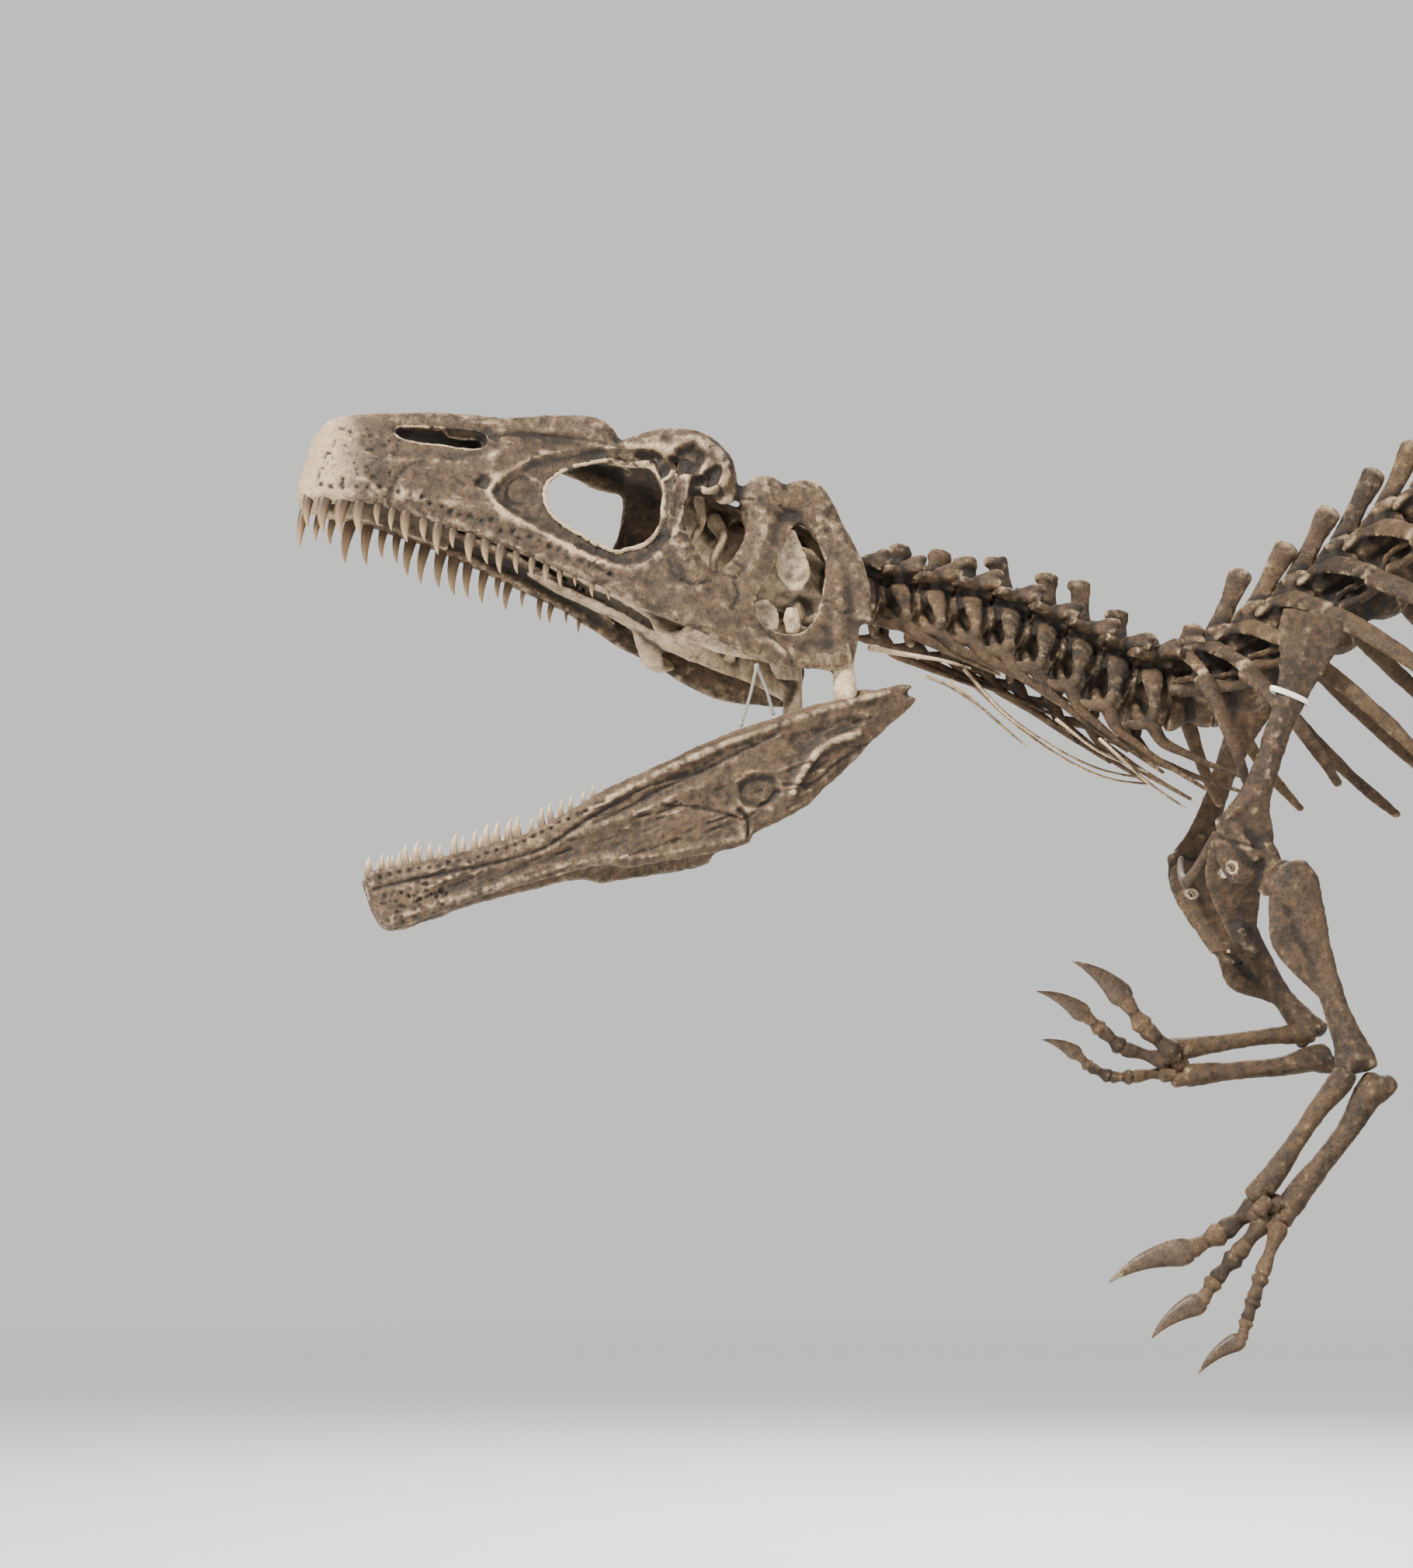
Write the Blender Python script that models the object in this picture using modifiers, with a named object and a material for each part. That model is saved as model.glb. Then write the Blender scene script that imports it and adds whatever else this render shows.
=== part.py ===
"""A mounted allosaurid skeleton, life size, standing on its museum stand.

Metres, +Z up.  The origin is the centre of the underside of the stand's base.  The animal
faces -X and its left side is toward -Y.  The bones are parted where they are named: each
bone or length of the column is one closed body, with a hair's gap to its neighbours.
"""

import math
from collections import namedtuple

import bmesh
import bpy
from mathutils import Matrix, Vector

# ---------------------------------------------------------------- driving dimensions

GAP = 0.0003
HEAD_YAW = math.radians(14.0)
SKULL_TIP = Vector((-2.405, -0.247, 1.758))
SKULL_PITCH = math.radians(17.0)
JAW_TIP = Vector((-2.307, -0.222, 1.245))
JAW_PITCH = math.radians(-19.0)

ATLAS_CENTER = Vector((-1.632, 0.0, 1.673))
NECK_COUNT = 9
BACK_COUNT = 14
SACRUM_COUNT = 5
TAIL_COUNT = 48

FEMUR_LENGTH = 0.80
TIBIA_LENGTH = 0.72
METATARSUS_LENGTH = 0.345

BASE_LENGTH = 2.2
BASE_WIDTH = 1.5
BASE_HEIGHT = 0.12
POST_RADIUS = 0.03
DISC = 0.009

# Steps from one vertebra to the next, the atlas being 1: their slope and their turn to the
# animal's left, in degrees, and their length.
SLOPES = ((1, -8), (3, -10), (5, -24), (7, -26), (8, -20), (9, -3), (11, 29), (13, 37),
          (15, 38), (23, 3), (28, 1), (36, -7), (52, -3), (76, 9))
TURNS = ((1, 14), (9, 0), (76, 0))
STEPS = ((1, 0.053), (8, 0.059), (10, 0.061), (12, 0.079), (15, 0.095), (23, 0.098),
         (27, 0.100), (29, 0.104), (48, 0.094), (76, 0.062))

BONE = (0.30, 0.235, 0.17)
STEEL = (0.05, 0.05, 0.05)
PLINTH = (0.09, 0.09, 0.09)

LENGTHWISE = Vector((1.0, 0.0, 0.0))
ACROSS = Vector((0.0, 1.0, 0.0))
UP = Vector((0.0, 0.0, 1.0))

Link = namedtuple("Link", "length slope")
Vertebra = namedtuple("Vertebra", "center along side up length")


# ---------------------------------------------------------------- building blocks

def clear_scene():
    for thing in list(bpy.data.objects):
        bpy.data.objects.remove(thing, do_unlink=True)


def make_collection(name, parent):
    collection = bpy.data.collections.new(name)
    parent.children.link(collection)
    return collection


def make_material(name, color, roughness, metallic=0.0):
    material = bpy.data.materials.new(name)
    material.use_nodes = True
    shader = material.node_tree.nodes["Principled BSDF"]
    shader.inputs["Base Color"].default_value = (*color, 1.0)
    shader.inputs["Roughness"].default_value = roughness
    shader.inputs["Metallic"].default_value = metallic
    return material


def at(knots, place):
    """The value at a place between (place, value) knots, in straight steps."""
    for (start, first), (end, last) in zip(knots, knots[1:]):
        if place <= end:
            share = (place - start) / (end - start)
            return first + (last - first) * share
    return knots[-1][1]


def loft(rings, split=False):
    """A closed mesh through rings of one point count, with a flat cap on each end.

    Split makes it of triangles, so that its twisted faces stay the same in every cut.
    """
    shape = bmesh.new()
    loops = [[shape.verts.new(point) for point in ring] for ring in rings]
    count = len(rings[0])
    for near, far in zip(loops, loops[1:]):
        for index in range(count):
            after = (index + 1) % count
            shape.faces.new((near[index], near[after], far[after], far[index]))
    shape.faces.new(loops[0][::-1])
    shape.faces.new(loops[-1])
    if split:
        bmesh.ops.triangulate(shape, faces=shape.faces)
    if shape.calc_volume(signed=True) < 0:
        bmesh.ops.reverse_faces(shape, faces=shape.faces)
    mesh = bpy.data.meshes.new("loft")
    shape.to_mesh(mesh)
    shape.free()
    return mesh


def ring(center, first, second, across, deep, sides):
    """Points of an ellipse; first and second are the unit directions of its half widths."""
    turn = math.pi / sides
    corners = (2 * math.pi * step / sides + turn for step in range(sides))
    return [center + first * across * math.cos(angle) + second * deep * math.sin(angle)
            for angle in corners]


def strand(stations, facing, sides=6):
    """A loft through (point, half across, half deep) stations; across lies along facing."""
    points = [Vector(station[0]) for station in stations]
    rings = []
    for index, (_, across, deep) in enumerate(stations):
        before = points[max(index - 1, 0)]
        after = points[min(index + 1, len(points) - 1)]
        along = (after - before).normalized()
        first = (facing - along * facing.dot(along)).normalized()
        rings.append(ring(points[index], first, along.cross(first), across, deep, sides))
    return loft(rings)


def long_bone(head, foot, across, deep, facing, sides=6):
    """A limb bone; across and deep give its half widths at the head, shaft and foot."""
    head = Vector(head)
    foot = Vector(foot)
    profile = ((0.0, 0.75, 0.0), (0.07, 1.0, 0.0), (0.32, 0.15, 0.0), (0.72, 0.0, 0.15),
               (0.94, 0.0, 1.0), (1.0, 0.0, 0.75))
    stations = []
    for share, near, far in profile:
        widths = [half[1] + (half[0] - half[1]) * near + (half[2] - half[1]) * far
                  for half in (across, deep)]
        stations.append((head.lerp(foot, share), *widths))
    return strand(stations, facing, sides)


def rod(start, end, start_radius, end_radius, sides):
    """A round rod between two points, or a cone where the end radius is zero."""
    shape = bmesh.new()
    bmesh.ops.create_cone(shape, cap_ends=True, segments=sides, radius1=start_radius,
                          radius2=end_radius, depth=(end - start).length)
    turn = (end - start).to_track_quat("Z", "Y").to_matrix().to_4x4()
    place = Matrix.Translation((start + end) / 2) @ turn
    bmesh.ops.transform(shape, matrix=place, verts=shape.verts)
    mesh = bpy.data.meshes.new("rod")
    shape.to_mesh(mesh)
    shape.free()
    return mesh


def box(low, high):
    low = Vector(low)
    high = Vector(high)
    shape = bmesh.new()
    bmesh.ops.create_cube(shape, size=1.0)
    size = Matrix.Diagonal((*(high - low), 1.0))
    bmesh.ops.transform(shape, matrix=Matrix.Translation((low + high) / 2) @ size,
                        verts=shape.verts)
    mesh = bpy.data.meshes.new("box")
    shape.to_mesh(mesh)
    shape.free()
    return mesh


def plate(outline, half_depth, holes=()):
    """A flat plate in XZ, centred on Y = 0, from an outline and holes of (x, z) points."""
    curve = bpy.data.curves.new("plate", "CURVE")
    curve.dimensions = "2D"
    curve.fill_mode = "BOTH"
    curve.extrude = half_depth
    for loop in (outline, *holes):
        spline = curve.splines.new("POLY")
        spline.points.add(len(loop) - 1)
        for point, (x, z) in zip(spline.points, loop):
            point.co = (x, z, 0.0, 1.0)
        spline.use_cyclic_u = True
    holder = bpy.data.objects.new("plate", curve)
    bpy.context.scene.collection.objects.link(holder)
    bpy.context.view_layer.update()
    evaluated = holder.evaluated_get(bpy.context.evaluated_depsgraph_get())
    mesh = bpy.data.meshes.new_from_object(evaluated)
    bpy.data.objects.remove(holder)
    shape = bmesh.new()
    shape.from_mesh(mesh)
    bmesh.ops.remove_doubles(shape, verts=shape.verts, dist=0.00001)
    bmesh.ops.transform(shape, matrix=Matrix.Rotation(math.pi / 2, 4, "X"), verts=shape.verts)
    shape.to_mesh(mesh)
    shape.free()
    return mesh


def moved(mesh, matrix):
    """The mesh under a matrix, with its faces still pointing out."""
    mesh.transform(matrix)
    if matrix.determinant() < 0:
        mesh.flip_normals()
    return mesh


def mirrored(mesh):
    """A copy of the mesh on the other side of the middle plane."""
    return moved(mesh.copy(), Matrix.Scale(-1.0, 4, ACROSS))


def both_sides(mesh):
    return [mesh, mirrored(mesh)]


class Builder:
    """Places finished bodies in one collection and their hidden tools in another."""

    def __init__(self):
        root = bpy.context.scene.collection
        self.parts = make_collection("allosaurid_mount", root)
        self.tools = make_collection("cutters", root)

    def combine(self, body, operation, meshes):
        """A union with, or a cut by, a group of hidden tools."""
        label = body.name + "_" + operation.lower()
        group = make_collection(label, self.tools)
        for mesh in meshes:
            tool = bpy.data.objects.new(label, mesh)
            tool.matrix_world = body.matrix_world
            tool.display_type = "WIRE"
            tool.hide_render = True
            group.objects.link(tool)
        boolean = body.modifiers.new(label, "BOOLEAN")
        boolean.operation = operation
        boolean.operand_type = "COLLECTION"
        boolean.solver = "EXACT"
        boolean.collection = group

    def add(self, name, mesh, material, pose=None, cuts=(), joined=()):
        """One body: a mesh less its cuts, then joined with more pieces."""
        body = bpy.data.objects.new(name, mesh)
        body.matrix_world = pose or Matrix.Identity(4)
        self.parts.objects.link(body)
        mesh.materials.append(material)
        if cuts:
            self.combine(body, "DIFFERENCE", cuts)
        if joined:
            self.combine(body, "UNION", joined)
        return body

    def add_joined(self, name, meshes, material, pose=None, cuts=()):
        """One body: pieces joined first, then cut."""
        body = self.add(name, meshes[0], material, pose, joined=meshes[1:])
        if cuts:
            self.combine(body, "DIFFERENCE", cuts)

    def add_pair(self, name, meshes, material, pose=None, cuts=()):
        """A left body and its mirror image on the right."""
        self.add_joined(name + "_left", meshes, material, pose, cuts)
        self.add_joined(name + "_right", [mirrored(mesh) for mesh in meshes], material, pose,
                        [mirrored(mesh) for mesh in cuts])


# ---------------------------------------------------------------- vertebral column

def walk_column():
    """Every vertebra from the atlas to the tip of the tail; the back lies in Y = 0."""
    count = NECK_COUNT + BACK_COUNT + SACRUM_COUNT + TAIL_COUNT
    centers = [ATLAS_CENTER.copy()]
    for number in range(1, count + 1):
        slope = math.radians(at(SLOPES, number))
        turn = math.radians(at(TURNS, number))
        step = Vector((math.cos(slope) * math.cos(turn), math.cos(slope) * math.sin(turn),
                       math.sin(slope)))
        centers.append(centers[-1] + step * at(STEPS, number))
    shift = Vector((0.0, centers[-1].y, 0.0))
    centers = [center - shift for center in centers]
    column = []
    for number in range(1, count + 1):
        before = centers[max(number - 2, 0)]
        along = (centers[number] - before).normalized()
        side = ACROSS if number > NECK_COUNT else UP.cross(along).normalized()
        up = along.cross(side)
        column.append(Vertebra(centers[number - 1], along, side, up, at(STEPS, number)))
    return column


def spot(vertebra, along, side, up):
    """A point by its offsets from a vertebra's centre."""
    return (vertebra.center + vertebra.along * along + vertebra.side * side
            + vertebra.up * up)


def centra(vertebrae, halves, rise=0.0, sides=6):
    """The centra of a length of the column, with the arch above them as deep as the rise."""
    first = vertebrae[0]
    last = vertebrae[-1]
    places = [(first, DISC - first.length * 0.5)]
    places += [(bone, -bone.length * 0.5) for bone in vertebrae[1:]]
    places.append((last, last.length * 0.5 - DISC))
    stations = []
    for index, (bone, along) in enumerate(places):
        side = halves(min(index, len(vertebrae) - 1))
        center = spot(bone, along, 0.0, rise * 0.5)
        stations.append((center, side, side + rise * 0.5))
    return strand(stations, ACROSS, sides)


def process(bone, root, tip, root_size, tip_size, sides=4):
    """A straight process of a vertebra, between two (along, side, up) offsets."""
    start = spot(bone, *root)
    end = spot(bone, *tip)
    return strand([(start, *root_size), (end, *tip_size)], bone.along, sides)


def blade(bone, tip, half_long, half_thick):
    """A neural spine: a plate from inside the arch to its tip."""
    root = bone.center.lerp(tip, 0.10)
    stations = [(root, half_long * 1.1, half_thick * 2.0), (tip, half_long, half_thick)]
    return strand(stations, bone.along, 4)


# ---------------------------------------------------------------- skull and jaw

# Stations of the skull: distance from the snout, lower and upper edge, and the half widths
# at the lower edge and at the roof.
SKULL_STATIONS = (
    (-0.012, 0.020, 0.090, 0.024, 0.016), (0.002, 0.004, 0.112, 0.044, 0.030),
    (0.035, 0.021, 0.143, 0.058, 0.038), (0.087, 0.030, 0.169, 0.069, 0.044),
    (0.208, 0.030, 0.206, 0.081, 0.051), (0.333, 0.022, 0.232, 0.095, 0.061),
    (0.420, 0.013, 0.236, 0.111, 0.076), (0.505, 0.012, 0.226, 0.128, 0.093),
    (0.556, -0.001, 0.204, 0.136, 0.098), (0.612, -0.017, 0.232, 0.142, 0.104),
    (0.668, -0.018, 0.236, 0.146, 0.112), (0.718, -0.002, 0.188, 0.148, 0.124),
    (0.752, 0.006, 0.136, 0.148, 0.134), (0.772, 0.002, 0.060, 0.147, 0.142))
SKULL_WALL = 0.017
SKULL_SHOULDER = 0.022
CAVITY_DEPTH = -0.15

NARIS = ((0.045, 0.120), (0.103, 0.149), (0.188, 0.164), (0.196, 0.145), (0.145, 0.120),
         (0.083, 0.103))
ANTORBITAL = ((0.303, 0.124), (0.349, 0.177), (0.407, 0.205), (0.446, 0.206),
              (0.466, 0.104), (0.442, 0.071), (0.359, 0.078))
ORBIT = ((0.497, 0.188), (0.571, 0.186), (0.590, 0.160), (0.581, 0.107),
         (0.554, 0.059), (0.514, 0.082), (0.492, 0.123))
REAR_FENESTRA = ((0.622, 0.186), (0.654, 0.196), (0.694, 0.148), (0.710, 0.070),
                 (0.686, 0.028), (0.643, 0.018), (0.614, 0.070))


def head_pose(tip, pitch):
    """The frame of a head bone: X runs to its rear, Z up its side, from its front tip."""
    turn = Matrix.Rotation(HEAD_YAW, 4, "Z") @ Matrix.Rotation(pitch, 4, "Y")
    return Matrix.Translation(tip) @ turn


def skull_ring(x, low, high, half_low, half_high):
    """One cross-section of the skull, from the left margin over the roof to the right."""
    side = ((half_low, low), (half_low, low + (high - low) * 0.45),
            (half_high, high - SKULL_SHOULDER), (half_high * 0.5, high))
    left = [Vector((x, -y, z)) for y, z in side]
    right = [Vector((x, y, z)) for y, z in reversed(side)]
    return left + right


def cavity_ring(x, high, half_low, half_high):
    """A cross-section of the hollow inside the skull, open far below its margin."""
    wall = SKULL_WALL
    side = ((half_low - wall, CAVITY_DEPTH), (half_low - wall, high * 0.5),
            (half_high - wall * 0.6, high - SKULL_SHOULDER - wall * 0.6))
    left = [Vector((x, -y, z)) for y, z in side]
    right = [Vector((x, y, z)) for y, z in reversed(side)]
    return left + right


def tooth_row(count, start, length, sizes, row, inset, root_depth, rake):
    """Teeth along a margin given as (x, z, y) stations; a negative size points down."""
    heights = [(x, z) for x, z, _ in row]
    places = [(x, y) for x, _, y in row]
    teeth = []
    for index in range(count):
        share = index / (count - 1)
        x = start + length * share
        size = at(sizes, share)
        width = abs(size) * 0.17 + 0.002
        margin = Vector((x, inset - at(places, x), at(heights, x)))
        root = margin - Vector((0.0, 0.0, math.copysign(root_depth, size)))
        tip = margin + Vector((abs(size) * rake, 0.0, size))
        teeth.append(rod(root, tip, width, 0.0, 3))
    return teeth


def palate():
    """Left palatine with pterygoid, ectopterygoid, quadrate and occiput wing."""
    pterygoid = [((0.340, -0.082, 0.040), 0.016, 0.010), ((0.460, -0.048, 0.028), 0.020, 0.008),
                 ((0.620, -0.048, 0.012), 0.014, 0.014), ((0.764, -0.126, 0.020), 0.008, 0.024)]
    ectopterygoid = [((0.520, -0.048, 0.020), 0.018, 0.010),
                     ((0.548, -0.090, -0.014), 0.016, 0.012),
                     ((0.566, -0.128, 0.008), 0.020, 0.008)]
    quadrate = [((0.735, -0.122, 0.120), 0.014, 0.012), ((0.760, -0.128, 0.030), 0.012, 0.013),
                ((0.776, -0.132, -0.024), 0.026, 0.014)]
    wing = [((0.738, -0.015, 0.150), 0.014, 0.026), ((0.748, -0.126, 0.108), 0.009, 0.018)]
    return [strand(pterygoid, ACROSS, 4), strand(ectopterygoid, LENGTHWISE, 4),
            strand(quadrate, ACROSS, 4), strand(wing, LENGTHWISE, 4)]


def braincase():
    """The solid middle block behind the orbits, with the round condyle for the atlas."""
    block = [((0.530, 0.0, 0.165), 0.022, 0.040), ((0.600, 0.0, 0.148), 0.040, 0.060),
             ((0.738, 0.0, 0.155), 0.042, 0.050)]
    condyle = [((0.730, 0.0, 0.148), 0.024, 0.024), ((0.7575, 0.0, 0.148), 0.018, 0.018)]
    return [strand(block, ACROSS, 4), strand(condyle, ACROSS, 6)]


def crests():
    """Left horn over the eye, and the crest along the edge of the nose."""
    horn = [((0.385, -0.070, 0.222), 0.010, 0.012), ((0.430, -0.084, 0.240), 0.016, 0.022),
            ((0.500, -0.098, 0.252), 0.018, 0.028), ((0.548, -0.100, 0.212), 0.013, 0.020)]
    crest = [((0.215, -0.044, 0.195), 0.010, 0.012), ((0.325, -0.052, 0.232), 0.014, 0.026),
             ((0.390, -0.062, 0.224), 0.010, 0.014)]
    return [strand(bar, ACROSS, 4) for bar in (horn, crest)]


def skull_cuts():
    """The inner hollow, open below and behind, and the openings through the sides."""
    hollow = [cavity_ring(x, high, half_low, half_high)
              for x, _, high, half_low, half_high in SKULL_STATIONS[5:-1]]
    behind = [point + LENGTHWISE * 0.15 for point in hollow[-1]]
    tools = [loft(hollow + [behind], split=True)]
    tools += [plate(hole, 0.25) for hole in (NARIS, ANTORBITAL, ORBIT, REAR_FENESTRA)]
    tools.append(box((0.742, -0.112, -0.20), (0.95, 0.112, 0.30)))
    for side in (-1, 1):
        rim = ring(Vector((0.640, side * 0.070, 0.15)), LENGTHWISE, ACROSS, 0.034, 0.020, 6)
        tools.append(loft([rim, [point + UP * 0.2 for point in rim]]))
    return tools


def build_skull(builder, bone):
    """A hollow shell with its openings, then its inner bones, crests and teeth."""
    shell = loft([skull_ring(*station) for station in SKULL_STATIONS], split=True)
    row = [(x, low, half_low) for x, low, _, half_low, _ in SKULL_STATIONS]
    sizes = ((0.0, -0.043), (0.35, -0.052), (1.0, -0.020))
    teeth = tooth_row(16, 0.012, 0.410, sizes, row, 0.012, 0.012, 0.10)
    joined = [mesh for half in crests() + palate() + teeth for mesh in both_sides(half)]
    builder.add("skull", shell, bone, head_pose(SKULL_TIP, SKULL_PITCH), cuts=skull_cuts(),
                joined=joined + braincase())


# Stations of the left ramus: distance from its tip, lower and upper edge, place across and
# half thickness.
JAW_STATIONS = (
    (-0.004, -0.030, 0.014, 0.014, 0.006), (0.022, -0.070, 0.012, 0.026, 0.012),
    (0.066, -0.070, 0.002, 0.042, 0.014), (0.128, -0.070, -0.007, 0.056, 0.013),
    (0.214, -0.081, -0.007, 0.070, 0.013), (0.319, -0.094, 0.016, 0.087, 0.012),
    (0.411, -0.107, 0.028, 0.101, 0.012), (0.502, -0.107, 0.038, 0.113, 0.013),
    (0.582, -0.089, 0.040, 0.122, 0.015), (0.649, -0.058, 0.040, 0.128, 0.020),
    (0.720, -0.028, 0.033, 0.132, 0.020), (0.765, 0.002, 0.014, 0.134, 0.011))
JAW_OPENING = ((0.500, -0.022), (0.556, -0.036), (0.540, -0.076), (0.495, -0.060))


def ramus_ring(x, low, high, place, half):
    groove = low + (high - low) * 0.68
    corners = ((place - half, high), (place + half, high), (place + half * 1.15, groove),
               (place + half * 0.6, low), (place - half * 0.6, low), (place - half, groove))
    return [Vector((x, -y, z)) for y, z in corners]


def build_jaws(builder, bone):
    ramus = loft([ramus_ring(*station) for station in JAW_STATIONS])
    row = [(x, high, place) for x, _, high, place, _ in JAW_STATIONS]
    sizes = ((0.0, 0.028), (0.3, 0.036), (1.0, 0.018))
    teeth = tooth_row(13, 0.010, 0.288, sizes, row, 0.0, 0.010, 0.15)
    pose = head_pose(JAW_TIP, JAW_PITCH)
    builder.add_pair("lower_jaw", [ramus] + teeth, bone, pose, [plate(JAW_OPENING, 0.25)])


# ---------------------------------------------------------------- neck, trunk and tail

# Tips of the free neural spines as (x, z), from the axis to the sixth back vertebra.
SPINE_TIPS = {2: (-1.569, 1.755), 3: (-1.510, 1.750), 4: (-1.472, 1.742), 5: (-1.426, 1.744),
              6: (-1.351, 1.721), 7: (-1.303, 1.711), 8: (-1.249, 1.668), 9: (-1.206, 1.628),
              10: (-1.136, 1.645), 11: (-1.065, 1.732), 12: (-0.996, 1.772),
              13: (-0.932, 1.826), 14: (-0.862, 1.885), 15: (-0.805, 1.925)}
SPINE_HEIGHT = 0.212
SPINE_LEAN = 0.035


def spine_tip(number, bone):
    """A known tip, or one that leans back over the centre of the vertebra."""
    if number in SPINE_TIPS:
        x, z = SPINE_TIPS[number]
        return Vector((x, bone.center.y, z))
    return bone.center + Vector((SPINE_LEAN, 0.0, SPINE_HEIGHT))


def neck_vertebra(number, bone):
    """Spine, arch wings and neck ribs of one neck vertebra behind the atlas."""
    low = 0.046 + 0.0035 * number
    wing = [(spot(bone, -0.006, -0.006, 0.034), 0.012, 0.022),
            (spot(bone, 0.006, -0.058, -0.010), 0.009, 0.014),
            (spot(bone, 0.022, -0.060, -low), 0.009, 0.010),
            (spot(bone, 0.140, -0.050, -low - 0.036), 0.003, 0.003)]
    meshes = [blade(bone, spine_tip(number, bone), 0.0145, 0.007)]
    return meshes + both_halves(bone, [strand(wing, bone.side, 3)])


def both_halves(bone, meshes):
    """The meshes and their mirror images in the vertebra's own middle plane."""
    flip = Matrix.Scale(-1.0, 4, bone.side)
    place = Matrix.Translation(bone.center)
    mirror = place @ flip @ place.inverted()
    return meshes + [moved(mesh.copy(), mirror) for mesh in meshes]


def build_neck(builder, column, bone):
    neck = column[:NECK_COUNT]
    meshes = [centra(neck, lambda index: 0.027 + 0.0013 * index, 0.030)]
    for number, item in enumerate(neck[1:], start=2):
        meshes += neck_vertebra(number, item)
    builder.add_joined("neck", meshes, bone)


# How far each rib drops, and how far it stands out from the middle plane.
RIB_DROPS = ((1, 0.20), (2, 0.25), (3, 0.34), (5, 0.58), (7, 0.68), (9, 0.64), (12, 0.38),
             (14, 0.14))
RIB_SPREADS = ((1, 0.115), (3, 0.160), (6, 0.245), (8, 0.265), (10, 0.245), (12, 0.190),
               (14, 0.095))
RIB_ROOT = 0.012
RIB_SWEEP = math.radians(14.0)
RIB_CURL = math.radians(122.0)


def rib(number, bone):
    """The left rib of a back vertebra: an arc out from the centrum, then down and back."""
    drop = at(RIB_DROPS, number)
    spread = at(RIB_SPREADS, number) - RIB_ROOT
    down = bone.along * math.sin(RIB_SWEEP) - bone.up * math.cos(RIB_SWEEP)
    root = spot(bone, 0.004, -RIB_ROOT, 0.052)
    stations = []
    for share, size in ((0.0, 1.8), (0.28, 1.25), (0.62, 1.0), (1.0, 0.7)):
        angle = RIB_CURL * share
        fall = drop * (1.0 - math.cos(angle)) / (1.0 - math.cos(RIB_CURL))
        point = root - ACROSS * spread * math.sin(angle) + down * fall
        stations.append((point, 0.013 * size, 0.009 * size))
    return strand(stations, bone.along, 3)


def back_vertebra(number, bone):
    """Spine and left rib of one back vertebra; the first of the back is 1."""
    tip = spine_tip(NECK_COUNT + number, bone)
    return [blade(bone, tip, 0.024, 0.008), rib(number, bone)]


def build_trunk(builder, column, bone):
    """The back with its ribs, parted along the middle plane into its two sides."""
    back = column[NECK_COUNT:NECK_COUNT + BACK_COUNT]
    meshes = [centra(back, lambda index: 0.041 + 0.0009 * index, 0.030)]
    for number, item in enumerate(back, start=1):
        meshes += back_vertebra(number, item)
    far_side = box((-2.0, -GAP / 2, 0.5), (1.0, 0.5, 3.0))
    builder.add_pair("rib_cage", meshes, bone, cuts=[far_side])


def build_sacrum(builder, column, bone):
    """Five joined vertebrae, one long crest, and the wings that reach the hip bones."""
    start = NECK_COUNT + BACK_COUNT
    sacrum = column[start:start + SACRUM_COUNT]
    meshes = [centra(sacrum, lambda index: 0.050, 0.020)]
    first = sacrum[0].center - LENGTHWISE * 0.040
    last = sacrum[-1].center + LENGTHWISE * 0.045
    crest = [(first + UP * 0.115, 0.010, 0.100), (last + UP * 0.115, 0.010, 0.100)]
    meshes.append(strand(crest, ACROSS, 4))
    for item in sacrum:
        wing = process(item, (0.0, -0.02, 0.005), (0.0, -0.1096, 0.005), (0.024, 0.020),
                       (0.034, 0.034))
        meshes += both_halves(item, [wing])
    builder.add_joined("sacrum", meshes, bone)


TAIL_LENGTHS = (8, 10, 12, 18)
TAIL_WIDTHS = ((1, 0.050), (8, 0.040), (18, 0.030), (30, 0.018), (48, 0.007))
TAIL_SPINES = ((1, 0.200), (8, 0.155), (18, 0.095), (26, 0.050))
TAIL_CHEVRONS = ((2, 0.190), (8, 0.160), (18, 0.095), (24, 0.055))
TAIL_WINGS = ((1, 0.098), (2, 0.102), (3, 0.125), (8, 0.090), (12, 0.050))


def tail_vertebra(number, bone):
    """Spine, wings and chevron of one tail vertebra, each as far back as it reaches."""
    half = bone.length * 0.20
    meshes = []
    if number <= TAIL_SPINES[-1][0]:
        tall = at(TAIL_SPINES, number)
        meshes.append(process(bone, (0.004, 0.0, 0.0), (0.030 + tall * 0.15, 0.0, tall),
                              (half * 1.3, 0.014), (half, 0.006)))
    if TAIL_CHEVRONS[0][0] <= number <= TAIL_CHEVRONS[-1][0]:
        deep = at(TAIL_CHEVRONS, number)
        start = (-bone.length * 0.28, 0.0, -at(TAIL_WIDTHS, number) * 0.75)
        meshes.append(process(bone, start, (deep * 0.42, 0.0, -deep), (0.014, 0.016),
                              (0.016, 0.006), 3))
    if number <= TAIL_WINGS[-1][0]:
        wing = process(bone, (0.0, -0.015, 0.012), (0.020, -at(TAIL_WINGS, number), 0.016),
                       (half * 1.2, 0.012), (half, 0.006), 3)
        meshes += both_halves(bone, [wing])
    return meshes


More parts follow.
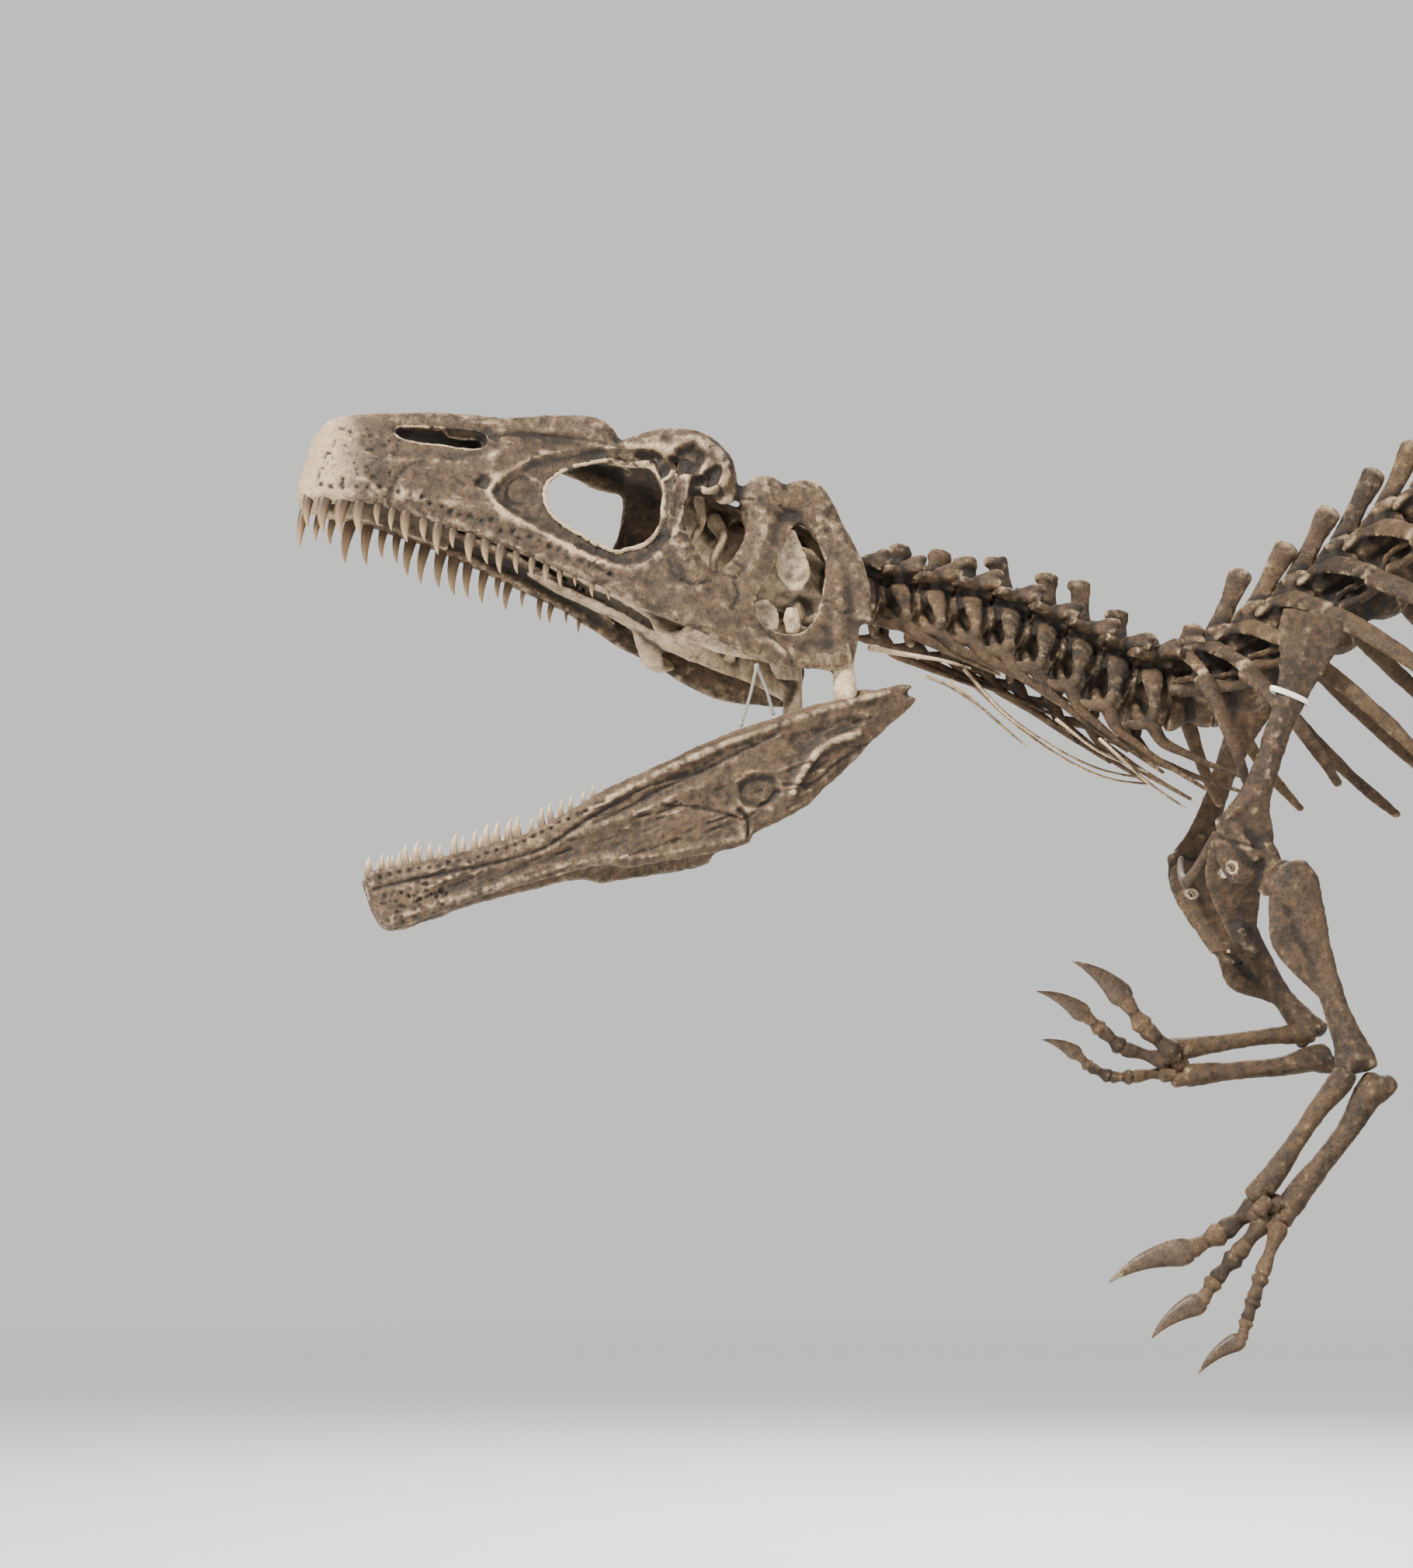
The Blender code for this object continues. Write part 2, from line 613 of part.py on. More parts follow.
def build_tail(builder, column, bone):
    """Four lengths of tail; the last is the plain thin whip."""
    first = NECK_COUNT + BACK_COUNT + SACRUM_COUNT
    begin = 0
    for section, length in enumerate(TAIL_LENGTHS, start=1):
        bones = column[first + begin:first + begin + length]
        sizes = [at(TAIL_WIDTHS, begin + 1 + index) for index in range(length)]
        sides = 6 if section < 3 else 4
        meshes = [centra(bones, sizes.__getitem__, sides=sides)]
        for number, item in enumerate(bones, start=begin + 1):
            meshes += tail_vertebra(number, item)
        builder.add_joined("tail_%d" % section, meshes, bone)
        begin += length


# ---------------------------------------------------------------- shoulder and arm

SCAPULA_STATIONS = (
    ((-1.007, -0.176, 1.622), 0.042, 0.007), ((-1.022, -0.186, 1.560), 0.038, 0.008),
    ((-1.062, -0.200, 1.470), 0.020, 0.010), ((-1.086, -0.202, 1.400), 0.020, 0.011),
    ((-1.108, -0.196, 1.335), 0.040, 0.013), ((-1.116, -0.186, 1.290), 0.046, 0.018),
    ((-1.108, -0.176, 1.252), 0.030, 0.020))
CORACOID_STATIONS = (
    ((-1.118, -0.176, 1.322), 0.020, 0.008), ((-1.122, -0.150, 1.296), 0.036, 0.011),
    ((-1.118, -0.120, 1.262), 0.042, 0.012), ((-1.108, -0.100, 1.222), 0.036, 0.010),
    ((-1.104, -0.088, 1.180), 0.020, 0.007))
FURCULA_STATIONS = (
    ((-1.150, -0.140, 1.330), 0.007, 0.006), ((-1.176, -0.085, 1.305), 0.007, 0.006),
    ((-1.192, 0.0, 1.282), 0.009, 0.007), ((-1.176, 0.085, 1.305), 0.007, 0.006),
    ((-1.150, 0.140, 1.330), 0.007, 0.006))
CORACOID_HOLE = Vector((-1.128, -0.20, 1.268))


def build_shoulders(builder, bone):
    """Each shoulder blade with its coracoid, and the wishbone between them."""
    rim = ring(CORACOID_HOLE, LENGTHWISE, UP, 0.006, 0.006, 5)
    drill = loft([rim, [point + ACROSS * 0.15 for point in rim]])
    left = [strand(SCAPULA_STATIONS, LENGTHWISE, 6), strand(CORACOID_STATIONS, LENGTHWISE, 6)]
    builder.add_pair("scapula", left, bone, cuts=[drill])
    builder.add("furcula", strand(FURCULA_STATIONS, LENGTHWISE, 5), bone)


# Each digit starts at an offset from the wrist; its bones have a length and a slope, and the
# last is the claw.
Arm = namedtuple("Arm", "shoulder elbow wrist digits")
Digit = namedtuple("Digit", "start bones")
LEFT_ARM = Arm(
    shoulder=(-1.058, -0.228, 1.258), elbow=(-0.984, -0.264, 0.980),
    wrist=(-1.112, -0.284, 0.818),
    digits=(Digit((-0.012, 0.014, -0.008),
                  (Link(0.078, -36), Link(0.050, -25), Link(0.086, -21))),
            Digit((-0.006, 0.000, -0.022),
                  (Link(0.066, -50), Link(0.042, -46), Link(0.044, -60), Link(0.058, -32))),
            Digit((0.008, -0.014, -0.026),
                  (Link(0.072, -70), Link(0.032, -72), Link(0.028, -72), Link(0.030, -74),
                   Link(0.056, -32)))))
RIGHT_ARM = Arm(
    shoulder=(-1.052, 0.225, 1.232), elbow=(-0.938, 0.180, 1.052),
    wrist=(-1.146, 0.176, 1.026),
    digits=(Digit((-0.010, -0.014, 0.010),
                  (Link(0.058, 42), Link(0.056, 54), Link(0.076, 34))),
            Digit((-0.016, 0.000, 0.000),
                  (Link(0.072, 16), Link(0.040, 42), Link(0.036, 42), Link(0.066, 26))),
            Digit((-0.010, 0.014, -0.014),
                  (Link(0.060, -8), Link(0.032, 0), Link(0.034, 26), Link(0.028, 46),
                   Link(0.042, 22)))))
FINGER_RADIUS = 0.0135


def finger(start, bones):
    """A finger that thins from its knuckle, with a claw that bends down at its tip."""
    point = Vector(start)
    stations = [(point, FINGER_RADIUS, FINGER_RADIUS)]
    for index, link in enumerate(bones):
        slope = math.radians(link.slope)
        after = point + Vector((-math.cos(slope), 0.0, math.sin(slope))) * link.length
        size = FINGER_RADIUS * (1.0 - 0.10 * index)
        if index < len(bones) - 1:
            stations.append((after, size * 0.95, size * 0.95))
        else:
            middle = point.lerp(after, 0.45) + UP * link.length * 0.05
            stations.append((middle, size * 0.50, size * 0.75))
            stations.append((after, size * 0.08, size * 0.10))
        point = after
    return strand(stations, ACROSS, 4)


def build_arm(builder, side, arm, bone):
    """Upper arm with its crest, two forearm bones, and the hand with its three fingers."""
    shoulder = Vector(arm.shoulder)
    elbow = Vector(arm.elbow)
    wrist = Vector(arm.wrist)
    upper = (elbow - shoulder).normalized()
    front = ACROSS.cross(upper).normalized()
    humerus = long_bone(shoulder, elbow - upper * 0.020, (0.022, 0.017, 0.024),
                        (0.032, 0.018, 0.032), ACROSS)
    crest = [(shoulder + upper * 0.030 + front * 0.006, 0.010, 0.024),
             (shoulder + upper * 0.085 + front * 0.022, 0.008, 0.030),
             (shoulder + upper * 0.165 + front * 0.004, 0.008, 0.014)]
    builder.add_joined("humerus_" + side, [humerus, strand(crest, ACROSS, 4)], bone)

    lower = (wrist - elbow).normalized()
    lead = ACROSS.cross(lower).normalized() * 0.020
    radius = long_bone(elbow + lead + lower * 0.046, wrist + lead * 0.85 - lower * 0.016,
                       (0.016, 0.010, 0.013), (0.015, 0.010, 0.014), ACROSS, 5)
    builder.add("radius_" + side, radius, bone)
    ulna = long_bone(elbow - lead + lower * 0.010, wrist - lead * 0.85 - lower * 0.016,
                     (0.018, 0.012, 0.013), (0.018, 0.013, 0.015), ACROSS, 5)
    hook = [(elbow - lead + lower * 0.034, 0.014, 0.015),
            (elbow - lead * 1.7 - lower * 0.018, 0.011, 0.011)]
    builder.add_joined("ulna_" + side, [ulna, strand(hook, ACROSS, 4)], bone)

    palm = strand([(wrist - lower * 0.014, 0.022, 0.022), (wrist + lower * 0.016, 0.026, 0.028)],
                  ACROSS, 5)
    fingers = [finger(wrist + Vector(digit.start), digit.bones) for digit in arm.digits]
    builder.add_joined("hand_" + side, [palm] + fingers, bone)


# ---------------------------------------------------------------- pelvis and leg

ILIUM_PLACE = -0.124
ILIUM_DEPTH = 0.014
ILIUM = ((-0.155, 1.985), (-0.135, 2.080), (-0.040, 2.150), (0.100, 2.175), (0.280, 2.160),
         (0.440, 2.100), (0.560, 2.010), (0.565, 1.945), (0.430, 1.950), (0.345, 1.940),
         (0.315, 1.865), (0.258, 1.860), (0.225, 1.908), (0.175, 1.922), (0.125, 1.908),
         (0.095, 1.850), (0.020, 1.850), (0.000, 1.935), (-0.070, 1.915))
PUBIS_SHAFT = (
    ((0.058, -0.124, 1.834), 0.018, 0.036), ((0.020, -0.105, 1.740), 0.014, 0.030),
    ((-0.040, -0.062, 1.560), 0.012, 0.022), ((-0.105, -0.026, 1.350), 0.013, 0.022),
    ((-0.140, -0.018, 1.250), 0.014, 0.030))
PUBIS_BOOT = (
    ((-0.250, -0.018, 1.215), 0.008, 0.020), ((-0.180, -0.018, 1.235), 0.015, 0.034),
    ((-0.060, -0.018, 1.235), 0.015, 0.032), ((0.080, -0.016, 1.245), 0.010, 0.014))
ISCHIUM = (
    ((0.286, -0.124, 1.852), 0.018, 0.034), ((0.330, -0.100, 1.740), 0.012, 0.028),
    ((0.440, -0.046, 1.540), 0.012, 0.018), ((0.540, -0.020, 1.380), 0.014, 0.022),
    ((0.560, -0.018, 1.345), 0.013, 0.026))


def build_pelvis(builder, bone):
    """The three hip bones of each side; the hip socket is the notch where they meet."""
    ilium = moved(plate(ILIUM, ILIUM_DEPTH), Matrix.Translation(ACROSS * ILIUM_PLACE))
    pubis = [strand(PUBIS_SHAFT, ACROSS, 5), strand(PUBIS_BOOT, ACROSS, 5)]
    builder.add_pair("ilium", [ilium], bone)
    builder.add_pair("pubis", pubis, bone)
    builder.add_pair("ischium", [strand(ISCHIUM, ACROSS, 5)], bone)


Stance = namedtuple("Stance", "side femur tibia")
STANCES = (Stance("left", -30.0, 25.0), Stance("right", -5.0, 40.0))
TOE_BASE_HEIGHT = 0.075
HIP = Vector((0.175, -0.235, 1.865))
# Toes from the inner to the outer: turn from straight ahead, in degrees, and their bones.
Toe = namedtuple("Toe", "place turn lengths")
TOES = (Toe(0.046, 18.0, (0.13, 0.09, 0.085)), Toe(0.0, 0.0, (0.13, 0.10, 0.075, 0.09)),
        Toe(-0.046, -18.0, (0.12, 0.08, 0.06, 0.08)))
TOE_RADIUS = 0.026


def swing(point, length, degrees):
    """The lower end of a bone that hangs at an angle; positive swings it to the rear."""
    angle = math.radians(degrees)
    return point + Vector((math.sin(angle), 0.0, -math.cos(angle))) * length


def toe_strand(start, toe):
    """A toe that comes down from the metatarsus and lies on the base."""
    ground = BASE_HEIGHT + GAP
    turn = math.radians(toe.turn)
    heading = Vector((-math.cos(turn), math.sin(turn), 0.0))
    point = start
    stations = [(point, TOE_RADIUS, TOE_RADIUS)]
    for index, length in enumerate(toe.lengths):
        size = TOE_RADIUS * (0.86 - 0.12 * index)
        after = point + heading * length
        if index < len(toe.lengths) - 1:
            after.z = ground + size
            stations.append((after, size, size))
        else:
            middle = point.lerp(after, 0.5)
            middle.z = ground + size * 1.2
            after.z = ground + 0.004
            stations.append((middle, size * 0.6, size * 0.85))
            stations.append((after, 0.002, 0.003))
        point = after
    return strand(stations, Vector((math.sin(turn), math.cos(turn), 0.0)), 4)


def build_leg(builder, stance, bone):
    """Worked out as a left leg, and mirrored for the right."""
    knee = swing(HIP, FEMUR_LENGTH, stance.femur)
    ankle = swing(knee, TIBIA_LENGTH, stance.tibia)
    drop = ankle.z - BASE_HEIGHT - TOE_BASE_HEIGHT
    knuckle = swing(ankle, METATARSUS_LENGTH, -math.degrees(math.acos(drop / METATARSUS_LENGTH)))

    thigh = (knee - HIP).normalized()
    femur = long_bone(HIP - thigh * 0.01, knee - thigh * 0.012, (0.040, 0.034, 0.062),
                      (0.052, 0.038, 0.058), ACROSS)
    neck = HIP + ACROSS * 0.070
    ball = [(neck + ACROSS * 0.022, 0.034, 0.034), (neck, 0.044, 0.044),
            (HIP - UP * 0.015, 0.036, 0.034)]
    lump = [(HIP + thigh * 0.16 + Vector((-0.020, -0.010, 0.0)), 0.014, 0.018),
            (HIP + thigh * 0.03 + Vector((-0.062, -0.014, 0.0)), 0.012, 0.016)]

    shin = (ankle - knee).normalized()
    tibia = long_bone(knee + shin * 0.064, ankle - shin * 0.030, (0.046, 0.028, 0.052),
                      (0.062, 0.030, 0.036), ACROSS)
    outer = -ACROSS * 0.063
    fibula = long_bone(knee + outer + shin * 0.075, ankle + outer - shin * 0.045,
                       (0.010, 0.010, 0.009), (0.030, 0.012, 0.014), ACROSS, 4)

    fall = (knuckle - ankle).normalized()
    foot = []
    for toe in TOES:
        top = ankle + ACROSS * toe.place * 0.6 + fall * 0.030
        end = knuckle + ACROSS * toe.place + LENGTHWISE * abs(toe.place) * 0.25
        shaft = [(top, 0.019, 0.027), (end, 0.022, 0.026)]
        foot += [strand(shaft, ACROSS, 5), toe_strand(end, toe)]
    spur = [(knuckle + Vector((0.030, 0.046, 0.085)), 0.010, 0.012),
            (knuckle + Vector((0.034, 0.086, 0.020)), 0.012, 0.013),
            (knuckle + Vector((-0.020, 0.102, -0.034)), 0.003, 0.004)]
    foot.append(strand(spur, ACROSS, 4))

    bones = {"femur": [femur, strand(ball, LENGTHWISE, 6), strand(lump, ACROSS, 4)],
             "tibia": [tibia], "fibula": [fibula], "foot": foot}
    for name, meshes in bones.items():
        if stance.side == "right":
            meshes = [mirrored(mesh) for mesh in meshes]
        builder.add_joined(name + "_" + stance.side, meshes, bone)


# ---------------------------------------------------------------- stand

# Each post: the vertebra it carries, counted from the atlas, and the depth of the column.
Post = namedtuple("Post", "name vertebra depth")
POSTS = (Post("stand_post_front", 18, 0.058), Post("stand_post_rear", 26, 0.052))
SADDLE_RADIUS = 0.02
SADDLE_LENGTH = 0.14
FLANGE_RADIUS = 0.08
FLANGE_HEIGHT = 0.012
STRUT_RADIUS = 0.0026
STRUT_TOP = (0.643, -0.146, -0.030)
STRUT_FEET = ((0.534, -0.116, 0.046), (0.583, -0.120, 0.048))


def build_post(builder, post, column, steel):
    """A round post with a flange on the base and a crossbar under the column."""
    item = column[post.vertebra - 1]
    saddle = item.center - item.up * (post.depth + SADDLE_RADIUS)
    foot = Vector((saddle.x, 0.0, BASE_HEIGHT + GAP))
    half_bar = ACROSS * SADDLE_LENGTH / 2
    meshes = [rod(foot, saddle, POST_RADIUS, POST_RADIUS, 10),
              rod(foot, foot + UP * FLANGE_HEIGHT, FLANGE_RADIUS, FLANGE_RADIUS, 10),
              rod(saddle - half_bar, saddle + half_bar, SADDLE_RADIUS, SADDLE_RADIUS, 8)]
    builder.add_joined(post.name, meshes, steel)


def build_stand(builder, column, steel, plinth):
    """The plinth, two posts, and the thin struts that hold the jaws apart."""
    corner = Vector((BASE_LENGTH / 2, BASE_WIDTH / 2, BASE_HEIGHT))
    base = builder.add("stand_base", box((-corner.x, -corner.y, 0.0), corner), plinth)
    bevel = base.modifiers.new("edges", "BEVEL")
    bevel.width = 0.008
    bevel.segments = 1
    for post in POSTS:
        build_post(builder, post, column, steel)
    top = head_pose(SKULL_TIP, SKULL_PITCH) @ Vector(STRUT_TOP)
    jaw = head_pose(JAW_TIP, JAW_PITCH)
    rods = [rod(jaw @ Vector(foot), top, STRUT_RADIUS, STRUT_RADIUS, 6) for foot in STRUT_FEET]
    builder.add_joined("stand_jaw_strut", rods, steel)


def main():
    clear_scene()
    builder = Builder()
    bone = make_material("bone", BONE, 0.75)
    steel = make_material("stand_steel", STEEL, 0.45, 0.6)
    plinth = make_material("stand_plinth", PLINTH, 0.6)
    column = walk_column()
    build_skull(builder, bone)
    build_jaws(builder, bone)
    build_neck(builder, column, bone)
    build_trunk(builder, column, bone)
    build_sacrum(builder, column, bone)
    build_tail(builder, column, bone)
    build_shoulders(builder, bone)
    build_arm(builder, "left", LEFT_ARM, bone)
    build_arm(builder, "right", RIGHT_ARM, bone)
    build_pelvis(builder, bone)
    for stance in STANCES:
        build_leg(builder, stance, bone)
    build_stand(builder, column, steel, plinth)


main()
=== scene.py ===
"""The looks of a mounted allosaurid skeleton and its stand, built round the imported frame.

Metres, +Z up.  The origin is the centre of the underside of the stand's base.  The animal
faces -X and its left side is toward -Y, as in the frame.  Tables of places are in millimetres,
and mm() turns them into metres.  A bar is a table of rows: x, y, z and two half widths.
"""

import logging
import math
from dataclasses import dataclass
from enum import Enum
from typing import Any, Sequence

import bpy
import numpy as np
from mathutils import Matrix, Vector


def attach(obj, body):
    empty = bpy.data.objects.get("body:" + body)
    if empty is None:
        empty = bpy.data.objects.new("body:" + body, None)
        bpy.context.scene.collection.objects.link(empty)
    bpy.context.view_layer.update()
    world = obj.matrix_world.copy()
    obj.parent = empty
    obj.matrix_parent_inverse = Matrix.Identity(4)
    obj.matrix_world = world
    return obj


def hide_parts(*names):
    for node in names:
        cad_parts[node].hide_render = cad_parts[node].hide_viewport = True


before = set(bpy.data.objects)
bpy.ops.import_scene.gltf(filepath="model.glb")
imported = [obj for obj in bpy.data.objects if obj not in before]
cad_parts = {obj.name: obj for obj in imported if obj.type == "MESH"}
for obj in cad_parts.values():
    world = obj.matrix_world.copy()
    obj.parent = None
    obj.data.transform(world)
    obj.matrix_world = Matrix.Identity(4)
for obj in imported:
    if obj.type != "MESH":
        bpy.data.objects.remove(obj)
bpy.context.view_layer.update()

BODY = "root"
LENGTHWISE = np.array((1.0, 0.0, 0.0))
ACROSS = np.array((0.0, 1.0, 0.0))
UP = np.array((0.0, 0.0, 1.0))
PER_METRE = 1000.0
MIRROR = Matrix.Scale(-1.0, 4, Vector(ACROSS))
OTHER_SIDE = np.array((1.0, -1.0, 1.0, 1.0, 1.0))

Piece = bpy.types.Object
Point = Sequence[float]
Rows = Sequence[Sequence[float]]
Knots = Sequence[tuple[float, float]]

log = logging.getLogger("skeleton")


class Side(Enum):
    """The two sides of the animal, with the sign of their Y."""

    LEFT = -1
    RIGHT = 1

    @property
    def word(self) -> str:
        """The side's name as it stands in node names."""
        return self.name.lower()


class Slot(Enum):
    """The record's material slots."""

    BONE = "bone"
    STEEL = "stand_steel"
    PLINTH = "stand_plinth"


# ---------------------------------------------------------------- measures

def mm(table: Any) -> np.ndarray:
    """A table in millimetres turned into metres."""
    return np.asarray(table, dtype=float) / PER_METRE


def unit(vector: np.ndarray) -> np.ndarray:
    """The vector, or each row of them, at length one."""
    return vector / np.maximum(np.linalg.norm(vector, axis=-1, keepdims=True), 1e-9)


def at(knots: Knots, place: float) -> float:
    """The value at a place between (place, value) knots, in straight steps.

    Args:
        knots: Places in rising order, each with its value.
        place: Where to read.

    Returns:
        The value there, held level beyond either end.
    """
    places, values = zip(*knots)
    return float(np.interp(place, places, values))


def smooth_rows(rows: Sequence[Point], cuts: int, closed: bool = False) -> np.ndarray:
    """Rows of numbers with more rows between them, on one smooth curve.

    Args:
        rows: The rows that the curve goes through.
        cuts: Steps from each row to the next.
        closed: Whether the last row runs on into the first.

    Returns:
        The rows of the curve.
    """
    rows = np.asarray(rows, dtype=float)
    if closed:
        padded = np.vstack((rows[-1:], rows, rows[:2]))
        spans = len(rows)
        places = np.arange(spans * cuts) / cuts
    else:
        padded = np.vstack((2 * rows[:1] - rows[1:2], rows, 2 * rows[-1:] - rows[-2:-1]))
        spans = len(rows) - 1
        places = np.arange(spans * cuts + 1) / cuts
    index = np.minimum(places.astype(int), spans - 1)
    part = (places - index)[:, None]
    first, second, third, fourth = (padded[index + step] for step in range(4))
    return 0.5 * (2 * second + (third - first) * part
                  + (2 * first - 5 * second + 4 * third - fourth) * part ** 2
                  + (3 * second - first - 3 * third + fourth) * part ** 3)


def even_loop(points: Sequence[Point], count: int, cuts: int = 6) -> np.ndarray:
    """A smooth closed outline of evenly spaced points."""
    dense = smooth_rows(points, cuts, closed=True)
    ring = np.vstack((dense, dense[:1]))
    steps = np.concatenate(((0.0,), np.cumsum(np.linalg.norm(np.diff(ring, axis=0), axis=1))))
    places = np.linspace(0.0, steps[-1], count, endpoint=False)
    return np.stack([np.interp(places, steps, column) for column in ring.T], axis=1)


def read(items: Any, name: str, width: int = 3, kind: type = float) -> np.ndarray:
    """One property of every item of a mesh, as rows of its numbers."""
    flat = np.empty(len(items) * width, dtype=kind)
    items.foreach_get(name, flat)
    return flat.reshape(-1, width)


# ---------------------------------------------------------------- the bench

@dataclass(frozen=True)
class Skin:
    """How a rough blank becomes bone: grain of the new surface, softening and unevenness.

    A fillet rounds the inner corners where blanks meet.
    """

    grain: float = 0.003
    fillet: float = 0.0
    soften: int = 3
    swell: float = 0.003
    swell_size: float = 0.06
    pitting: float = 0.0012
    pitting_size: float = 0.014
    limit: int = 0


class Bench:
    """Makes loose meshes with operators and finishes them with applied modifiers."""

    def __init__(self) -> None:
        """Starts with no stock."""
        self.stock: dict[tuple[int, int], bpy.types.Mesh] = {}
        self.clouds: dict[float, bpy.types.Texture] = {}
        self.made = 0

    def choose(self, *pieces: Piece) -> None:
        """Selects these pieces alone, the first as the active one."""
        for other in bpy.context.selected_objects:
            other.select_set(False)
        for piece in pieces:
            piece.select_set(True)
        bpy.context.view_layer.objects.active = pieces[0] if pieces else None

    def stock_tube(self, sides: int, rings: int) -> bpy.types.Mesh:
        """A unit tube along Z with closed ends, cut into rings of even height.

        Args:
            sides: Faces round the tube.
            rings: Loops of vertices along it, both ends among them.

        Returns:
            The mesh, which stays in stock to be copied.
        """
        if (sides, rings) not in self.stock:
            bpy.ops.mesh.primitive_cylinder_add(vertices=sides, radius=1.0, depth=1.0,
                                                location=(0.0, 0.0, 0.5), end_fill_type="NGON")
            tube = bpy.context.object
            bpy.ops.object.transform_apply(location=True, rotation=False, scale=False)
            if rings > 2:
                bpy.ops.object.mode_set(mode="EDIT")
                bpy.ops.mesh.select_mode(type="EDGE")
                bpy.ops.mesh.select_all(action="DESELECT")
                bpy.ops.object.mode_set(mode="OBJECT")
                points = tube.data.vertices
                for edge in tube.data.edges:
                    low, high = (points[index].co.z for index in edge.vertices)
                    edge.select = abs(high - low) > 0.5
                bpy.ops.object.mode_set(mode="EDIT")
                bpy.ops.mesh.subdivide(number_cuts=rings - 2)
                bpy.ops.object.mode_set(mode="OBJECT")
            self.stock[(sides, rings)] = tube.data.copy()
            bpy.data.objects.remove(tube)
        return self.stock[(sides, rings)]

    def skin(self, grid: np.ndarray) -> Piece:
        """A stock tube drawn over a grid of points.

        Args:
            grid: Points as rings by sides by three.

        Returns:
            The closed piece, its faces outwards.
        """
        rings, sides, _ = grid.shape
        course = grid.mean(axis=1)
        ring = grid[rings // 2]
        facing = np.cross(ring - ring.mean(axis=0), np.roll(ring, -1, axis=0) - ring.mean(axis=0))
        ahead = course[min(rings // 2 + 1, rings - 1)] - course[rings // 2 - 1]
        if facing.sum(axis=0) @ ahead < 0:
            grid = grid[:, ::-1]
        mesh = self.stock_tube(sides, rings).copy()
        points = read(mesh.vertices, "co")
        level = np.rint(points[:, 2] * (rings - 1)).astype(int)
        turn = np.rint(np.arctan2(points[:, 1], points[:, 0]) / (2 * np.pi) * sides - 0.25 * sides)
        mesh.vertices.foreach_set("co", grid[level, turn.astype(int) % sides].ravel())
        mesh.update()
        self.made += 1
        piece = bpy.data.objects.new("blank_%04d" % self.made, mesh)
        bpy.context.scene.collection.objects.link(piece)
        return piece

    def sweep(self, rows: Rows, facing: Point, sides: int = 12, cuts: int = 4,
              dome: float = 0.6) -> Piece:
        """A tube of changing oval section along a smooth course, with rounded ends.

        Args:
            rows: Each a point, the half width along facing and the half width across it.
            facing: The direction that the first half width lies along.
            sides: Faces round it.
            cuts: Rings from each row to the next.
            dome: How far each end bulges, as a share of its half width.

        Returns:
            The closed piece.
        """
        rows = smooth_rows(rows, cuts)
        points = rows[:, :3]
        widths = np.maximum(rows[:, 3:], 0.0005)
        along = unit(np.gradient(points, axis=0))
        for end, sign in ((0, -1.0), (-1, 1.0)):
            reach = widths[end].min() * dome
            turns = np.radians((25.0, 50.0, 72.0))
            caps = points[end] + sign * along[end] * reach * np.sin(turns)[:, None]
            thin = widths[end] * np.cos(turns)[:, None]
            ahead = np.repeat(along[end][None], len(turns), axis=0)
            if end == 0:
                points, widths, along = (np.vstack((new[::-1], old)) for new, old in (
                    (caps, points), (thin, widths), (ahead, along)))
            else:
                points, widths, along = (np.vstack((old, new)) for new, old in (
                    (caps, points), (thin, widths), (ahead, along)))
        facing = np.asarray(facing, dtype=float)
        first = unit(facing - along * (along @ facing)[:, None])
        second = np.cross(along, first)
        turns = np.arange(sides) * 2 * np.pi / sides
        across = first[:, None] * (widths[:, :1] * np.cos(turns))[..., None]
        deep = second[:, None] * (widths[:, 1:] * np.sin(turns))[..., None]
        return self.skin(points[:, None] + across + deep)

    def pair(self, table: Rows, facing: Point, sides: int = 12) -> list[Piece]:
        """A swept bar of the left side and the same one on the right, from millimetres."""
        return [self.sweep(mm(table) * turn, facing, sides) for turn in (1.0, OTHER_SIDE)]

    def prism(self, outline: np.ndarray, start: Point, end: Point) -> Piece:
        """A straight bar through space whose ends are an outline moved to two places."""
        return self.skin(np.stack((outline + np.asarray(start), outline + np.asarray(end))))

    def window(self, outline: Rows, near: float = -0.25, far: float = 0.25,
               count: int = 40) -> Piece:
        """A cutter between two depths for a smooth opening given in XZ, in millimetres."""
        loop = even_loop(mm(outline), count)
        flat = np.stack((loop[:, 0], np.zeros(count), loop[:, 1]), axis=1)
        return self.prism(flat, ACROSS * near, ACROSS * far)

    def carve(self, piece: Piece, cutters: Sequence[Piece]) -> Piece:
        """The piece less its cutters, which are used up."""
        group = bpy.data.collections.new("cutters")
        for cutter in cutters:
            group.objects.link(cutter)
        cut = piece.modifiers.new("cut", "BOOLEAN")
        cut.operation = "DIFFERENCE"
        cut.operand_type = "COLLECTION"
        cut.solver = "EXACT"
        cut.collection = group
        self.apply(piece)
        for cutter in cutters:
            bpy.data.objects.remove(cutter)
        bpy.data.collections.remove(group)
        return piece

    def apply(self, piece: Piece) -> None:
        """Applies every modifier of the piece in order."""
        self.choose(piece)
        for modifier in list(piece.modifiers):
            bpy.ops.object.modifier_apply(modifier=modifier.name)

    def join(self, pieces: Sequence[Piece]) -> Piece:
        """One object of all the pieces."""
        if len(pieces) > 1:
            self.choose(*pieces)
            bpy.ops.object.join()
        return pieces[0]

    def cloud(self, size: float) -> bpy.types.Texture:
        """A noise of that size, made once."""
        if size not in self.clouds:
            texture = bpy.data.textures.new("unevenness", "CLOUDS")
            texture.noise_scale = size
            texture.noise_depth = 3
            self.clouds[size] = texture
        return self.clouds[size]

